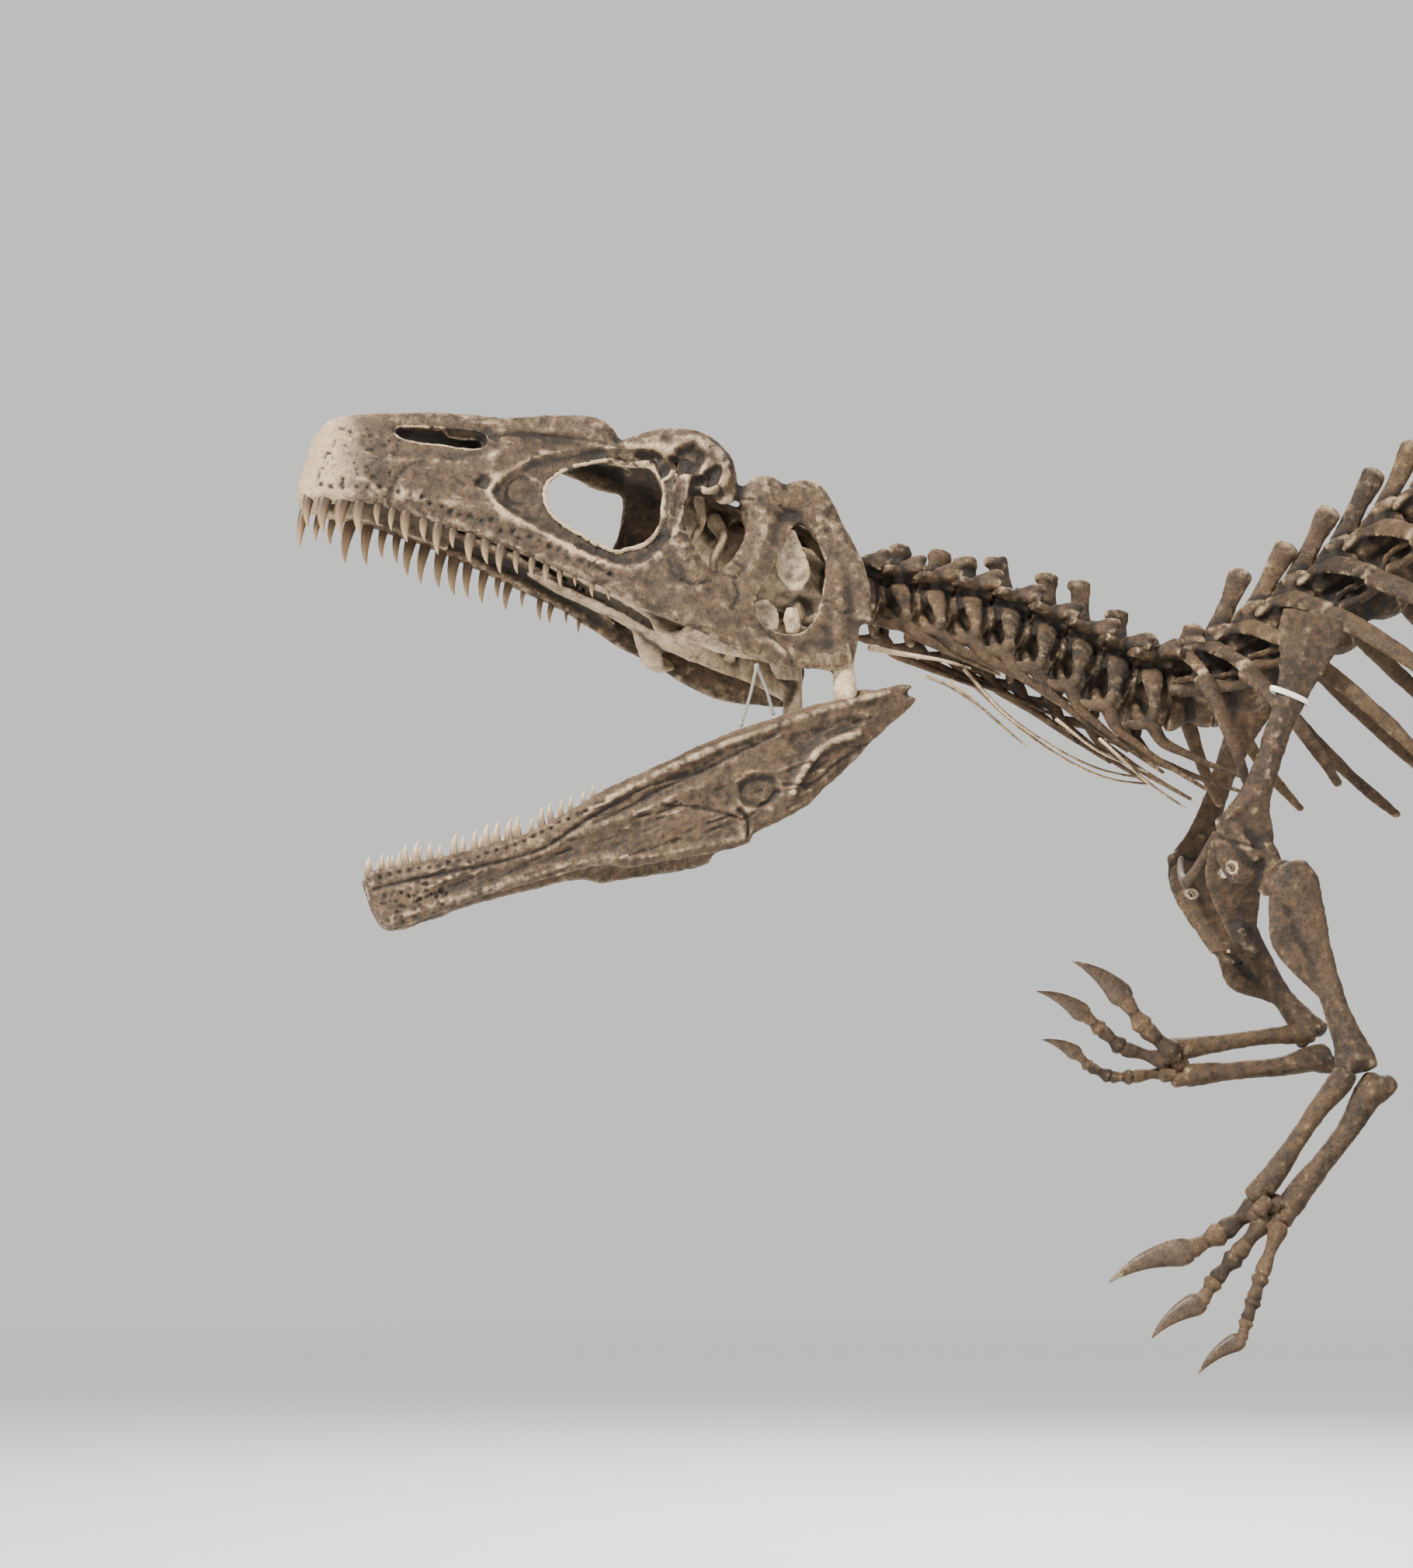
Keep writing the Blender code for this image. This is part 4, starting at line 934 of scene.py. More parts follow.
@dataclass
class Skull:
    """The cranium with its openings and crests, its palate and its upper teeth.

    Stations: distance from the snout, lower and upper edge, and the half widths at the lower
    edge and at the roof.
    """

    stations: Rows = (
        (-19, 36, 102, 13, 12), (-11, 14, 122, 34, 26), (5, 6, 137, 50, 36), (35, 14, 153, 61, 43),
        (87, 28, 174, 71, 47), (208, 30, 212, 82, 53), (333, 22, 232, 96, 62),
        (420, 13, 234, 111, 76), (505, 10, 224, 128, 92), (556, -3, 197, 136, 98),
        (612, -17, 224, 142, 104), (668, -18, 228, 146, 112), (718, -2, 190, 148, 124),
        (752, 6, 138, 148, 134), (772, 4, 70, 147, 142))
    hollow_from: int = 5
    wall: float = 0.012
    shoulder: float = 0.024
    far_shift: Point = (-24, 17)
    tooth_sizes: Knots = ((0.0, 0.041), (0.12, 0.046), (0.35, 0.048), (0.7, 0.036), (1.0, 0.018))
    skin: Skin = Skin(grain=0.0027, fillet=0.0045, soften=3, swell=0.0050, swell_size=0.045,
                      pitting=0.0020, pitting_size=0.011, limit=196000)
    inner_skin: Skin = Skin(grain=0.0026, fillet=0.003, soften=3, swell=0.0040,
                            swell_size=0.03, pitting=0.0012, pitting_size=0.010, limit=120000)

    def section(self, row: np.ndarray, sides: int = 44) -> np.ndarray:
        """One outer cross-section from its station's row."""
        x, low, high, half_low, half_high = row
        tall = high - low
        side = [
            (0.55, half_low, low), (0.93, half_low, low + 0.004),
            (1.0, half_low, low + 0.10 * tall), (0.985, half_low, low + 0.36 * tall),
            (0.5, half_low + half_high, low + 0.70 * tall),
            (1.0, half_high, high - self.shoulder * min(tall / 0.15, 1.0)),
            (0.86, half_high, high - 0.004), (0.45, half_high, high - 0.001)]
        points = [(-share * half, z) for share, half, z in side]
        points += [(0.0, high - 0.005)]
        points += [(-y, z) for y, z in reversed(points[:-1])] + [(0.0, low + 0.002)]
        loop = even_loop(points, sides, 4)
        return np.stack((np.full(sides, x), loop[:, 0], loop[:, 1]), axis=1)

    def cavity(self, row: np.ndarray, sides: int = 30) -> np.ndarray:
        """One cross-section of the hollow, open far below the margin."""
        x, low, high, half_low, half_high = row
        wall = self.wall
        side = [(half_low - wall * 1.3, -0.16), (half_low - wall * 1.2, low + 0.02),
                (half_low - wall, (low + high) * 0.5),
                (half_high - wall * 0.8, high - self.shoulder - wall * 0.8),
                (half_high * 0.55, high - wall * 1.3)]
        points = [(-half, z) for half, z in side] + [(0.0, high - wall * 1.5)]
        points += [(half, z) for half, z in reversed(side)]
        loop = smooth_rows(points, 3)
        spots = np.linspace(0, len(loop) - 1, sides)
        ring = [[np.interp(spot, range(len(loop)), column) for column in loop.T] for spot in spots]
        return np.array([(x, y, z) for y, z in ring])

    def vault(self, bench: Bench) -> Piece:
        """The cutter that arches the palate under the snout."""
        table = []
        for x in (50, 100, 180, 260, 335, 420):
            low = at([(row[0], row[1]) for row in self.stations], x)
            half = at([(row[0], row[3]) for row in self.stations], x)
            table.append((x, 0, low - 4, half - 26, 30 + x * 0.06))
        return bench.sweep(mm(table), ACROSS, sides=16)

    def cranium(self, bench: Bench) -> Piece:
        """The shell with its openings, joined with crests, bosses and bars."""
        rows = smooth_rows(mm(self.stations), 5)
        shell = bench.skin(np.stack([self.section(row) for row in rows]))
        inner = smooth_rows(mm(self.stations[self.hollow_from:-1]), 4)
        rings = [self.cavity(row) for row in inner]
        rings.append(rings[-1] + LENGTHWISE * 0.15)
        cutters = [bench.skin(np.stack(rings)), self.vault(bench)]
        cutters += [bench.window(hole) for hole in (NARIS, ORBIT, REAR_FENESTRA)]
        opposite = np.array(ANTORBITAL) + np.array(self.far_shift)
        cutters += [bench.window(ANTORBITAL, far=0.0), bench.window(opposite, near=0.0)]
        square = np.array((
            (0.0, -0.104, -0.20), (0.0, 0.104, -0.20), (0.0, 0.104, 0.172), (0.0, 0.060, 0.196),
            (0.0, -0.060, 0.196), (0.0, -0.104, 0.172)))
        cutters.append(bench.prism(square, LENGTHWISE * 0.735, LENGTHWISE * 0.95))
        turns = np.arange(20) * 2 * np.pi / 20
        for side in (-1, 1):
            rim = np.stack((0.640 + 0.036 * np.cos(turns), side * 0.062 + 0.024 * np.sin(turns),
                            np.zeros(20)), axis=1)
            cutters.append(bench.prism(rim, UP * 0.15, UP * 0.35))
        bench.carve(shell, cutters)
        parts = [shell]
        for table, facing in self.bars():
            parts += bench.pair(table, facing)
        cranium = bench.fuse(parts, self.skin, 0.5)
        self.carve_sutures(cranium)
        return cranium

    def bars(self) -> list[tuple[Rows, np.ndarray]]:
        """Left crests, bosses and bars that thicken the shell round its openings."""
        horn = [
            (366, -62, 206, 11, 14), (392, -67, 216, 15, 21), (425, -76, 232, 18, 28),
            (458, -84, 241, 20, 33), (488, -91, 243, 20, 34), (512, -96, 234, 18, 31),
            (531, -99, 212, 14, 24), (543, -100, 194, 10, 14)]
        rim = [
            (440, -94, 250, 6, 6), (474, -104, 258, 7, 8), (506, -112, 250, 7, 9),
            (528, -113, 228, 7, 10), (524, -110, 204, 7, 9), (506, -108, 192, 6, 7)]
        crest = [
            (150, -40, 168, 8, 12), (215, -44, 190, 12, 18), (268, -48, 208, 13, 23),
            (300, -50, 218, 13, 25), (332, -54, 226, 14, 30), (354, -57, 222, 13, 30),
            (376, -60, 208, 10, 18)]
        brow = [
            (574, -98, 196, 10, 14), (586, -102, 216, 16, 26), (598, -104, 222, 17, 27),
            (611, -105, 213, 14, 21), (628, -104, 223, 15, 26), (650, -104, 231, 17, 31),
            (668, -108, 222, 16, 29), (694, -115, 195, 13, 24), (722, -123, 168, 12, 21),
            (750, -131, 132, 11, 18), (767, -138, 85, 10, 16)]
        lacrimal = [
            (472, -100, 206, 18, 10), (472, -106, 180, 17, 12), (472, -112, 150, 16, 13),
            (487, -118, 114, 16, 11), (516, -125, 84, 17, 9), (550, -130, 58, 24, 7)]
        lip = [
            (452, -96, 190, 5, 6), (462, -104, 158, 5, 7), (466, -110, 122, 5, 7),
            (452, -112, 88, 5, 6), (425, -108, 70, 5, 5)]
        postorbital = [
            (592, -102, 214, 22, 10), (601, -108, 182, 25, 10), (606, -114, 148, 26, 10),
            (598, -121, 110, 26, 9), (582, -128, 76, 27, 9), (570, -132, 46, 36, 7)]
        jugal = [
            (330, -86, 42, 8, 12), (410, -100, 30, 9, 16), (490, -116, 22, 10, 24),
            (556, -128, 22, 10, 30), (614, -135, 4, 10, 22), (668, -139, 1, 10, 20),
            (722, -142, 14, 10, 20), (762, -143, 30, 9, 22)]
        cheek = [
            (700, -118, 184, 16, 10), (716, -127, 146, 18, 10), (725, -135, 100, 19, 10),
            (735, -140, 56, 22, 9), (742, -142, 26, 26, 8)]
        gum = [
            (-2, -30, 22, 10, 12), (35, -50, 24, 10, 11), (87, -60, 36, 10, 10),
            (208, -72, 38, 10, 10), (333, -86, 30, 10, 10), (430, -102, 22, 9, 9)]
        ledge = [
            (160, -58, 52, 16, 6), (230, -62, 56, 22, 6), (300, -66, 54, 22, 6),
            (400, -82, 42, 18, 6), (470, -104, 26, 12, 6)]
        return ([(row, ACROSS) for row in (horn, rim, crest, brow, jugal, gum, ledge)]
                + [(row, LENGTHWISE) for row in (lacrimal, lip, postorbital, cheek)])

    def carve_sutures(self, cranium: Piece) -> None:
        """Hollows, seams between the bones, and the rows of nerve openings."""
        knife = Carving(cranium)
        knife.dish((
            (232, 92), (250, 130), (290, 172), (350, 206), (420, 226), (462, 222), (480, 180),
            (478, 110), (450, 60), (400, 50), (320, 62), (262, 74)), 6.5, 5)
        knife.dish(((250, 94), (254, 118), (268, 130), (288, 124), (290, 100), (272, 88)), 6, 8)
        knife.dish(((206, 98), (214, 112), (226, 108), (222, 94)), 7, 4)
        knife.dish(((452, 216), (456, 240), (474, 247), (494, 238), (490, 216), (468, 208)), 11, 5)
        knife.dish(((500, 206), (506, 226), (518, 228), (520, 210), (510, 198)), 8, 4)
        knife.dish(((404, 212), (414, 224), (434, 224), (440, 212), (424, 206)), 6, 4)
        knife.dish((
            (40, 104), (60, 138), (130, 168), (205, 186), (224, 164), (190, 132), (120, 106),
            (70, 94)), 3.5, 6)
        knife.dish(((640, 16), (700, 8), (740, 30), (720, 60), (650, 18)), 3, 8)
        seams = (
            ((105, 31), (103, 54), (107, 76), (118, 95), (136, 106)),
            ((200, 172), (240, 190), (290, 206), (340, 216), (384, 222)),
            ((384, 222), (380, 206), (400, 196), (432, 206)),
            ((384, 68), (402, 52), (392, 38), (424, 30), (410, 14)),
            ((470, 90), (488, 74), (500, 56), (528, 52), (548, 64)),
            ((572, 106), (590, 98), (580, 78), (592, 56), (586, 34)),
            ((630, 26), (654, 14), (676, 4), (690, -10)),
            ((700, 86), (716, 94), (734, 82), (752, 92)),
            ((590, 236), (604, 214), (622, 204), (640, 206)),
            ((500, 230), (506, 212), (524, 204), (536, 196)))
        for seam in seams:
            knife.stroke(seam, 2, 2.2)
        ridges = (
            ((120, 50), (200, 60), (260, 66), (330, 60), (390, 46)),
            ((500, 40), (560, 40), (620, 14), (680, 10)),
            ((216, 150), (226, 124), (226, 100), (240, 80)), ((600, 190), (604, 150), (596, 110)))
        for ridge in ridges:
            knife.stroke(ridge, 11, -3)
        chance = np.random.default_rng(11)
        for x in np.arange(12, 425, 14.5):
            low = at([(row[0], row[1]) for row in self.stations], x)
            spot = (x + chance.uniform(-3, 3), low + chance.uniform(16, 26))
            knife.pit(spot, chance.uniform(2.2, 3.4), 4.5)
        for _ in range(70):
            spot = (chance.uniform(0, 100), chance.uniform(30, 130))
            knife.pit(spot, chance.uniform(1.6, 2.8), 2.6)
        for _ in range(60):
            spot = (chance.uniform(360, 720), chance.uniform(170, 260))
            knife.pit(spot, chance.uniform(3, 6), chance.uniform(-2, 3.5))
        for _ in range(150):
            start = np.array((chance.uniform(20, 700), chance.uniform(10, 200)))
            step = np.array((chance.uniform(8, 30), chance.uniform(-6, 6)))
            knife.stroke((start, start + step), 1.8, chance.uniform(-1.6, 2.2))
        knife.finish()

    def palate(self, bench: Bench) -> Piece:
        """The bones inside the skull, with the braincase and the condyle for the atlas."""
        halves = [
            ([(330, -78, 48, 14, 7), (400, -62, 34, 20, 6), (470, -48, 24, 20, 6),
              (540, -44, 10, 14, 10), (620, -52, 16, 8, 20), (700, -88, 34, 6, 30),
              (758, -122, 30, 7, 26)], ACROSS),
            ([(508, -44, 20, 20, 7), (530, -64, -6, 18, 9), (546, -94, -14, 16, 10),
              (562, -124, 2, 20, 8)], LENGTHWISE),
            ([(300, -52, 78, 10, 6), (360, -46, 60, 12, 5), (440, -30, 46, 12, 5),
              (520, -22, 34, 8, 8)], ACROSS),
            ([(726, -112, 150, 16, 9), (742, -120, 100, 13, 10), (756, -126, 50, 12, 12),
              (768, -130, 4, 18, 15), (777, -132, -20, 25, 16), (780, -132, -30, 20, 12)], ACROSS),
            ([(700, -50, 40, 5, 30), (730, -90, 60, 5, 34), (748, -118, 70, 6, 30)], ACROSS),
            ([(726, -10, 160, 12, 26), (740, -60, 150, 8, 20), (748, -122, 112, 8, 16)],
              LENGTHWISE),
            ([(600, -34, 150, 7, 7), (612, -44, 100, 6, 6), (630, -50, 50, 6, 6),
              (640, -50, 20, 10, 6)], LENGTHWISE),
            ([(512, -58, 196, 8, 10), (524, -66, 160, 6, 10), (520, -60, 125, 6, 12),
              (540, -48, 100, 8, 12)], LENGTHWISE),
            ([(545, -36, 180, 10, 14), (562, -60, 150, 7, 12), (556, -68, 112, 6, 10),
              (575, -60, 76, 8, 8)], LENGTHWISE)]
        middle = [
            ([(505, 0, 178, 12, 24), (550, 0, 164, 20, 36), (600, 0, 150, 36, 50),
              (660, 0, 148, 40, 52), (732, 0, 155, 40, 46)], ACROSS),
            ([(722, 0, 146, 26, 26), (745, 0, 146, 20, 18), (758, 0, 146, 14, 13)], ACROSS),
            ([(660, 0, 112, 20, 20), (600, 0, 84, 10, 16), (520, 0, 66, 5, 12),
              (440, 0, 60, 3, 8)], ACROSS),
            ([(700, 0, 110, 30, 14), (715, 0, 80, 34, 12)], ACROSS),
            ([(200, 0, 66, 10, 8), (300, 0, 62, 6, 12), (380, 0, 56, 4, 10)], ACROSS)]
        parts = [bench.sweep(mm(table), facing) for table, facing in middle]
        for table, facing in halves:
            parts += bench.pair(table, facing)
        return bench.fuse(parts, self.inner_skin, 0.7)

    def fill(self, bench: Bench) -> list[Piece]:
        """Thin pale plates behind the rear openings, where lost bone was made good."""
        plates = [
            [(640, -104, 182, 10, 3), (650, -106, 150, 24, 3), (664, -108, 122, 26, 3),
             (672, -110, 102, 10, 3)],
            [(628, -112, 68, 12, 3), (640, -114, 50, 22, 3), (650, -116, 32, 16, 3)],
            [(674, -112, 74, 10, 3), (680, -114, 56, 15, 3), (684, -116, 40, 10, 3)]]
        skin = Skin(grain=0.0022, soften=2, swell=0.004, swell_size=0.02)
        pieces = []
        for table in plates:
            pieces += [bench.fuse([plate], skin, 0.95) for plate in bench.pair(table, LENGTHWISE)]
        return pieces

    def build(self, bench: Bench, finishes: Finishes) -> None:
        """Builds and dresses the skull."""
        pose = head_pose(SKULL_TIP, SKULL_PITCH)
        cranium = bench.move(self.cranium(bench), pose)
        bench.dress(cranium, "cranium", ["skull"], finishes.skull, keep=1.0)
        palate = bench.move(bench.join([self.palate(bench)] + self.fill(bench)), pose)
        bench.dress(palate, "palate", ["skull"], finishes.pale)
        row = [(x, low + 0.004, half) for x, low, _, half, _ in mm(self.stations)]
        for side in Side:
            tall = 1.0 if side is Side.LEFT else 1.25
            sizes = [(share, size * tall) for share, size in self.tooth_sizes]
            teeth = ToothRow(count=20, start=0.002, length=0.420, sizes=sizes, row=row,
                             inset=0.012, rake=-0.04, girth=1.25 / tall, sign=1.0, seed=20)
            joined = bench.move(bench.join(teeth.build(bench, side)), pose)
            bench.dress(joined, "upper_teeth_" + side.word, ["skull"],
                        finishes.tooth, detailed=False)


@dataclass
class LowerJaw:
    """The two rami of the lower jaw with their teeth.

    Stations of a ramus: distance from its tip, lower and upper edge, place across, half
    thickness.
    """

    stations: Rows = (
        (-6, -44, 4, 14, 7), (2, -64, 10, 20, 12), (22, -71, 10, 27, 14), (66, -71, 1, 42, 14),
        (128, -67, -7, 56, 13), (214, -71, -4, 70, 13), (290, -75, 8, 82, 13),
        (330, -92, 18, 89, 13), (411, -104, 28, 101, 13), (488, -111, 37, 111, 13),
        (506, -100, 39, 113, 15), (582, -87, 41, 122, 15), (649, -55, 41, 128, 19),
        (720, -21, 36, 132, 20), (765, -2, 34, 134, 15), (780, 8, 28, 134, 10))
    skin: Skin = Skin(grain=0.0023, fillet=0.003, soften=3, swell=0.0050, swell_size=0.04,
                      pitting=0.0020, pitting_size=0.010, limit=120000)

    def section(self, row: np.ndarray, sides: int = 28) -> np.ndarray:
        """One cross-section of the left ramus."""
        x, low, high, place, half = row
        tall = high - low
        points = [
            (0.55, high), (1.0, high - 0.10 * tall), (1.10, high - 0.34 * tall),
            (1.0, low + 0.30 * tall), (0.62, low + 0.03 * tall), (0.0, low),
            (-0.62, low + 0.03 * tall), (-1.0, low + 0.24 * tall), (-0.72, low + 0.45 * tall),
            (-0.95, high - 0.20 * tall), (-0.55, high)]
        loop = even_loop([(-(place + share * half), z) for share, z in points], sides, 4)
        return np.stack((np.full(sides, x), loop[:, 0], loop[:, 1]), axis=1)

    def ramus(self, bench: Bench) -> Piece:
        """The left ramus, carved."""
        rows = smooth_rows(mm(self.stations), 5)
        body = bench.skin(np.stack([self.section(row) for row in rows]))
        notch = ((752, 18), (770, 22), (800, 30), (800, 10), (772, 12))
        bench.carve(body, [bench.window(notch, count=24)])
        bars = [
            ([(400, -103, 18, 11, 7), (500, -118, 26, 12, 7), (600, -128, 26, 13, 8),
              (680, -136, 22, 13, 8)], ACROSS),
            ([(560, -128, -66, 10, 10), (590, -134, -40, 9, 8), (622, -138, -20, 10, 7),
              (668, -141, -14, 12, 9)], ACROSS),
            ([(690, -112, 30, 8, 8), (706, -130, 36, 16, 9), (714, -150, 28, 10, 9)], LENGTHWISE),
            ([(12, -30, 6, 9, 7), (66, -44, -2, 9, 6), (214, -72, -10, 9, 6),
              (319, -88, 10, 9, 6)], ACROSS)]
        parts = [body] + [bench.sweep(mm(table), facing) for table, facing in bars]
        ramus = bench.fuse(parts, self.skin, 0.5)
        self.carve_seams(ramus)
        return ramus

    def carve_seams(self, ramus: Piece) -> None:
        """The long groove, the seams, the shelf and the pores of the outer face."""
        knife = Carving(ramus, both=False)
        knife.stroke((
            (-2, -12), (32, -15), (74, -20), (116, -25), (170, -31), (225, -31), (274, -18),
            (324, -4), (384, 5), (441, 6)), 2.8, 3.4)
        seams = (
            ((395, -25), (440, -44), (478, -67), (497, -78), (530, -66), (551, -56)),
            ((300, -20), (350, -14), (400, -4), (452, 2), (512, 10), (570, 18)),
            ((560, -50), (600, -60), (640, -44), (680, -34)))
        for seam in seams:
            knife.stroke(seam, 2.2, 2.6)
        knife.stroke(((569, -63), (585, -45), (612, -25), (640, -15), (680, -14)), 6, -5)
        knife.stroke(((10, -60), (120, -58), (280, -64), (350, -84), (484, -100)), 7, -3.5)
        knife.stroke(((330, 6), (420, 18), (520, 28), (640, 30), (740, 26)), 6, -4)
        knife.stroke(((494, -100), (500, -80), (492, -64)), 3, 5)
        knife.dish(((80, -36), (200, -40), (320, -30), (384, -40),
                    (320, -66), (200, -56), (90, -52)), 4.5, 10)
        knife.dish((
            (502, -30), (528, -26), (552, -38), (545, -66), (516, -68), (498, -52)), 6.5, 5)
        knife.dish(((300, -6), (380, 2), (470, 10), (480, -4), (400, -16), (320, -22)), 4, 7)
        knife.dish(((590, 10), (640, 14), (690, 8), (684, -4), (630, -6), (596, -16)), 4, 6)
        knife.dish(((400, -32), (440, -22), (488, -30), (486, -56), (446, -52)), 3.5, 8)
        chance = np.random.default_rng(5)
        for x in np.arange(10, 300, 13):
            high = at([(row[0], row[2]) for row in self.stations], x)
            knife.pit((x, high - chance.uniform(6, 11)), 2.4, 4)
        for _ in range(60):
            spot = (chance.uniform(0, 90), chance.uniform(-68, -20))
            knife.pit(spot, chance.uniform(1.6, 2.8), 2.8)
        for _ in range(190):
            start = np.array((chance.uniform(20, 680), chance.uniform(-95, 20)))
            step = np.array((chance.uniform(10, 40), chance.uniform(-4, 5)))
            knife.stroke((start, start + step), 1.8, chance.uniform(-1.8, 2.4))
        knife.finish()

    def build(self, bench: Bench, finishes: Finishes) -> None:
        """Builds and dresses both rami and their teeth."""
        pose = head_pose(JAW_TIP, JAW_PITCH)
        left = self.ramus(bench)
        row = [(x, high - 0.003, place) for x, _, high, place, _ in mm(self.stations)]
        sizes = ((0.0, 0.026), (0.3, 0.034), (0.7, 0.028), (1.0, 0.018))
        for side in Side:
            node = "lower_jaw_" + side.word
            body = bench.copy(left, pose if side is Side.LEFT else pose @ MIRROR)
            bench.dress(body, "ramus_" + side.word, [node], finishes.skull, keep=0.8)
            teeth = ToothRow(count=22, start=0.002, length=0.325, sizes=sizes, row=row,
                             inset=0.0, rake=0.10, girth=1.25, sign=-1.0, seed=40)
            joined = bench.move(bench.join(teeth.build(bench, side)), pose)
            bench.dress(joined, "lower_teeth_" + side.word, [node], finishes.peg,
                        detailed=False)
        bench.drop(left)


# ---------------------------------------------------------------- vertebral column

NECK_COUNT = 9
BACK_COUNT = 14
SACRUM_COUNT = 5
TAIL_COUNT = 48
ATLAS_CENTER = np.array((-1.632, 0.0, 1.673))

# Steps from one vertebra to the next, the atlas being 1: their slope and their turn to the
# animal's left, in degrees, and their length.
SLOPES = (
    (1, -8), (3, -10), (5, -24), (7, -26), (8, -20), (9, -3), (11, 29), (13, 37), (15, 38),
    (23, 3), (28, 1), (36, -7), (52, -3), (76, 9))
TURNS = ((1, 14), (9, 0), (76, 0))
STEPS = (
    (1, 0.053), (8, 0.059), (10, 0.061), (12, 0.079), (15, 0.095), (23, 0.098), (27, 0.100),
    (29, 0.104), (48, 0.094), (76, 0.062))

# Tips of the free neural spines as (x, z), from the axis to the sixth back vertebra.
SPINE_TIPS = {2: (-1.569, 1.755), 3: (-1.510, 1.750), 4: (-1.472, 1.742), 5: (-1.426, 1.744),
              6: (-1.351, 1.721), 7: (-1.303, 1.711), 8: (-1.249, 1.668), 9: (-1.206, 1.628),
              10: (-1.136, 1.645), 11: (-1.065, 1.732), 12: (-0.996, 1.772),
              13: (-0.932, 1.826), 14: (-0.862, 1.885), 15: (-0.805, 1.925)}
SPINE_HEIGHT = 0.212
SPINE_LEAN = 0.035


@dataclass(frozen=True)
class Vertebra:
    """The place of one vertebra: its centre, its own directions and its length."""

    number: int
    center: np.ndarray
    along: np.ndarray
    side: np.ndarray
    up: np.ndarray
    length: float

    @property
    def half(self) -> float:
        """Half its length, in millimetres."""
        return self.length * PER_METRE / 2

    def spot(self, along: float, side: float, up: float) -> np.ndarray:
        """A point by its offsets from the centre, in metres."""
        return self.center + self.along * along + self.side * side + self.up * up

    def bar(self, bench: Bench, table: Rows, facing: np.ndarray, sides: int = 10,
            cuts: int = 3, dome: float = 0.6) -> Piece:
        """A swept bar whose places, in millimetres, are offsets from the centre."""
        rows = mm(table)
        points = self.center + rows[:, :3] @ np.stack((self.along, self.side, self.up))
        return bench.sweep(np.hstack((points, rows[:, 3:])), facing, sides, cuts, dome)

    def bars(self, bench: Bench, table: Rows, facing: np.ndarray, **options: Any) -> list[Piece]:
        """The same bar on the left and on the right."""
        return [self.bar(bench, np.asarray(table, dtype=float) * turn, facing, **options)
                for turn in (1.0, OTHER_SIDE)]

    def spine_tip(self) -> np.ndarray:
        """The tip of its neural spine, in the neck and back."""
        if self.number in SPINE_TIPS:
            x, z = SPINE_TIPS[self.number]
            return np.array((x, self.center[1], z))
        return self.center + np.array((SPINE_LEAN, 0.0, SPINE_HEIGHT))

    def local(self, point: np.ndarray) -> tuple[float, float, float]:
        """The offsets of a point from the centre, in millimetres."""
        offset = (point - self.center) * PER_METRE
        return tuple(float(offset @ axis) for axis in (self.along, self.side, self.up))


class Column:
    """Every vertebra from the atlas to the tip of the tail; the back lies in Y = 0."""

    def __init__(self) -> None:
        """Walks the column once."""
        count = NECK_COUNT + BACK_COUNT + SACRUM_COUNT + TAIL_COUNT
        centers = [ATLAS_CENTER]
        for number in range(1, count + 1):
            slope = math.radians(at(SLOPES, number))
            turn = math.radians(at(TURNS, number))
            step = np.array((math.cos(slope) * math.cos(turn), math.cos(slope) * math.sin(turn),
                             math.sin(slope)))
            centers.append(centers[-1] + step * at(STEPS, number))
        centers = [center - ACROSS * centers[-1][1] for center in centers]
        self.bones: list[Vertebra] = []
        for number in range(1, count + 1):
            along = unit(centers[number] - centers[max(number - 2, 0)])
            side = ACROSS if number > NECK_COUNT else unit(np.cross(UP, along))
            self.bones.append(Vertebra(number, centers[number - 1], along, side,
                                       np.cross(along, side), at(STEPS, number)))

    def span(self, start: int, count: int) -> list[Vertebra]:
        """A run of vertebrae; the atlas is 0."""
        return self.bones[start:start + count]


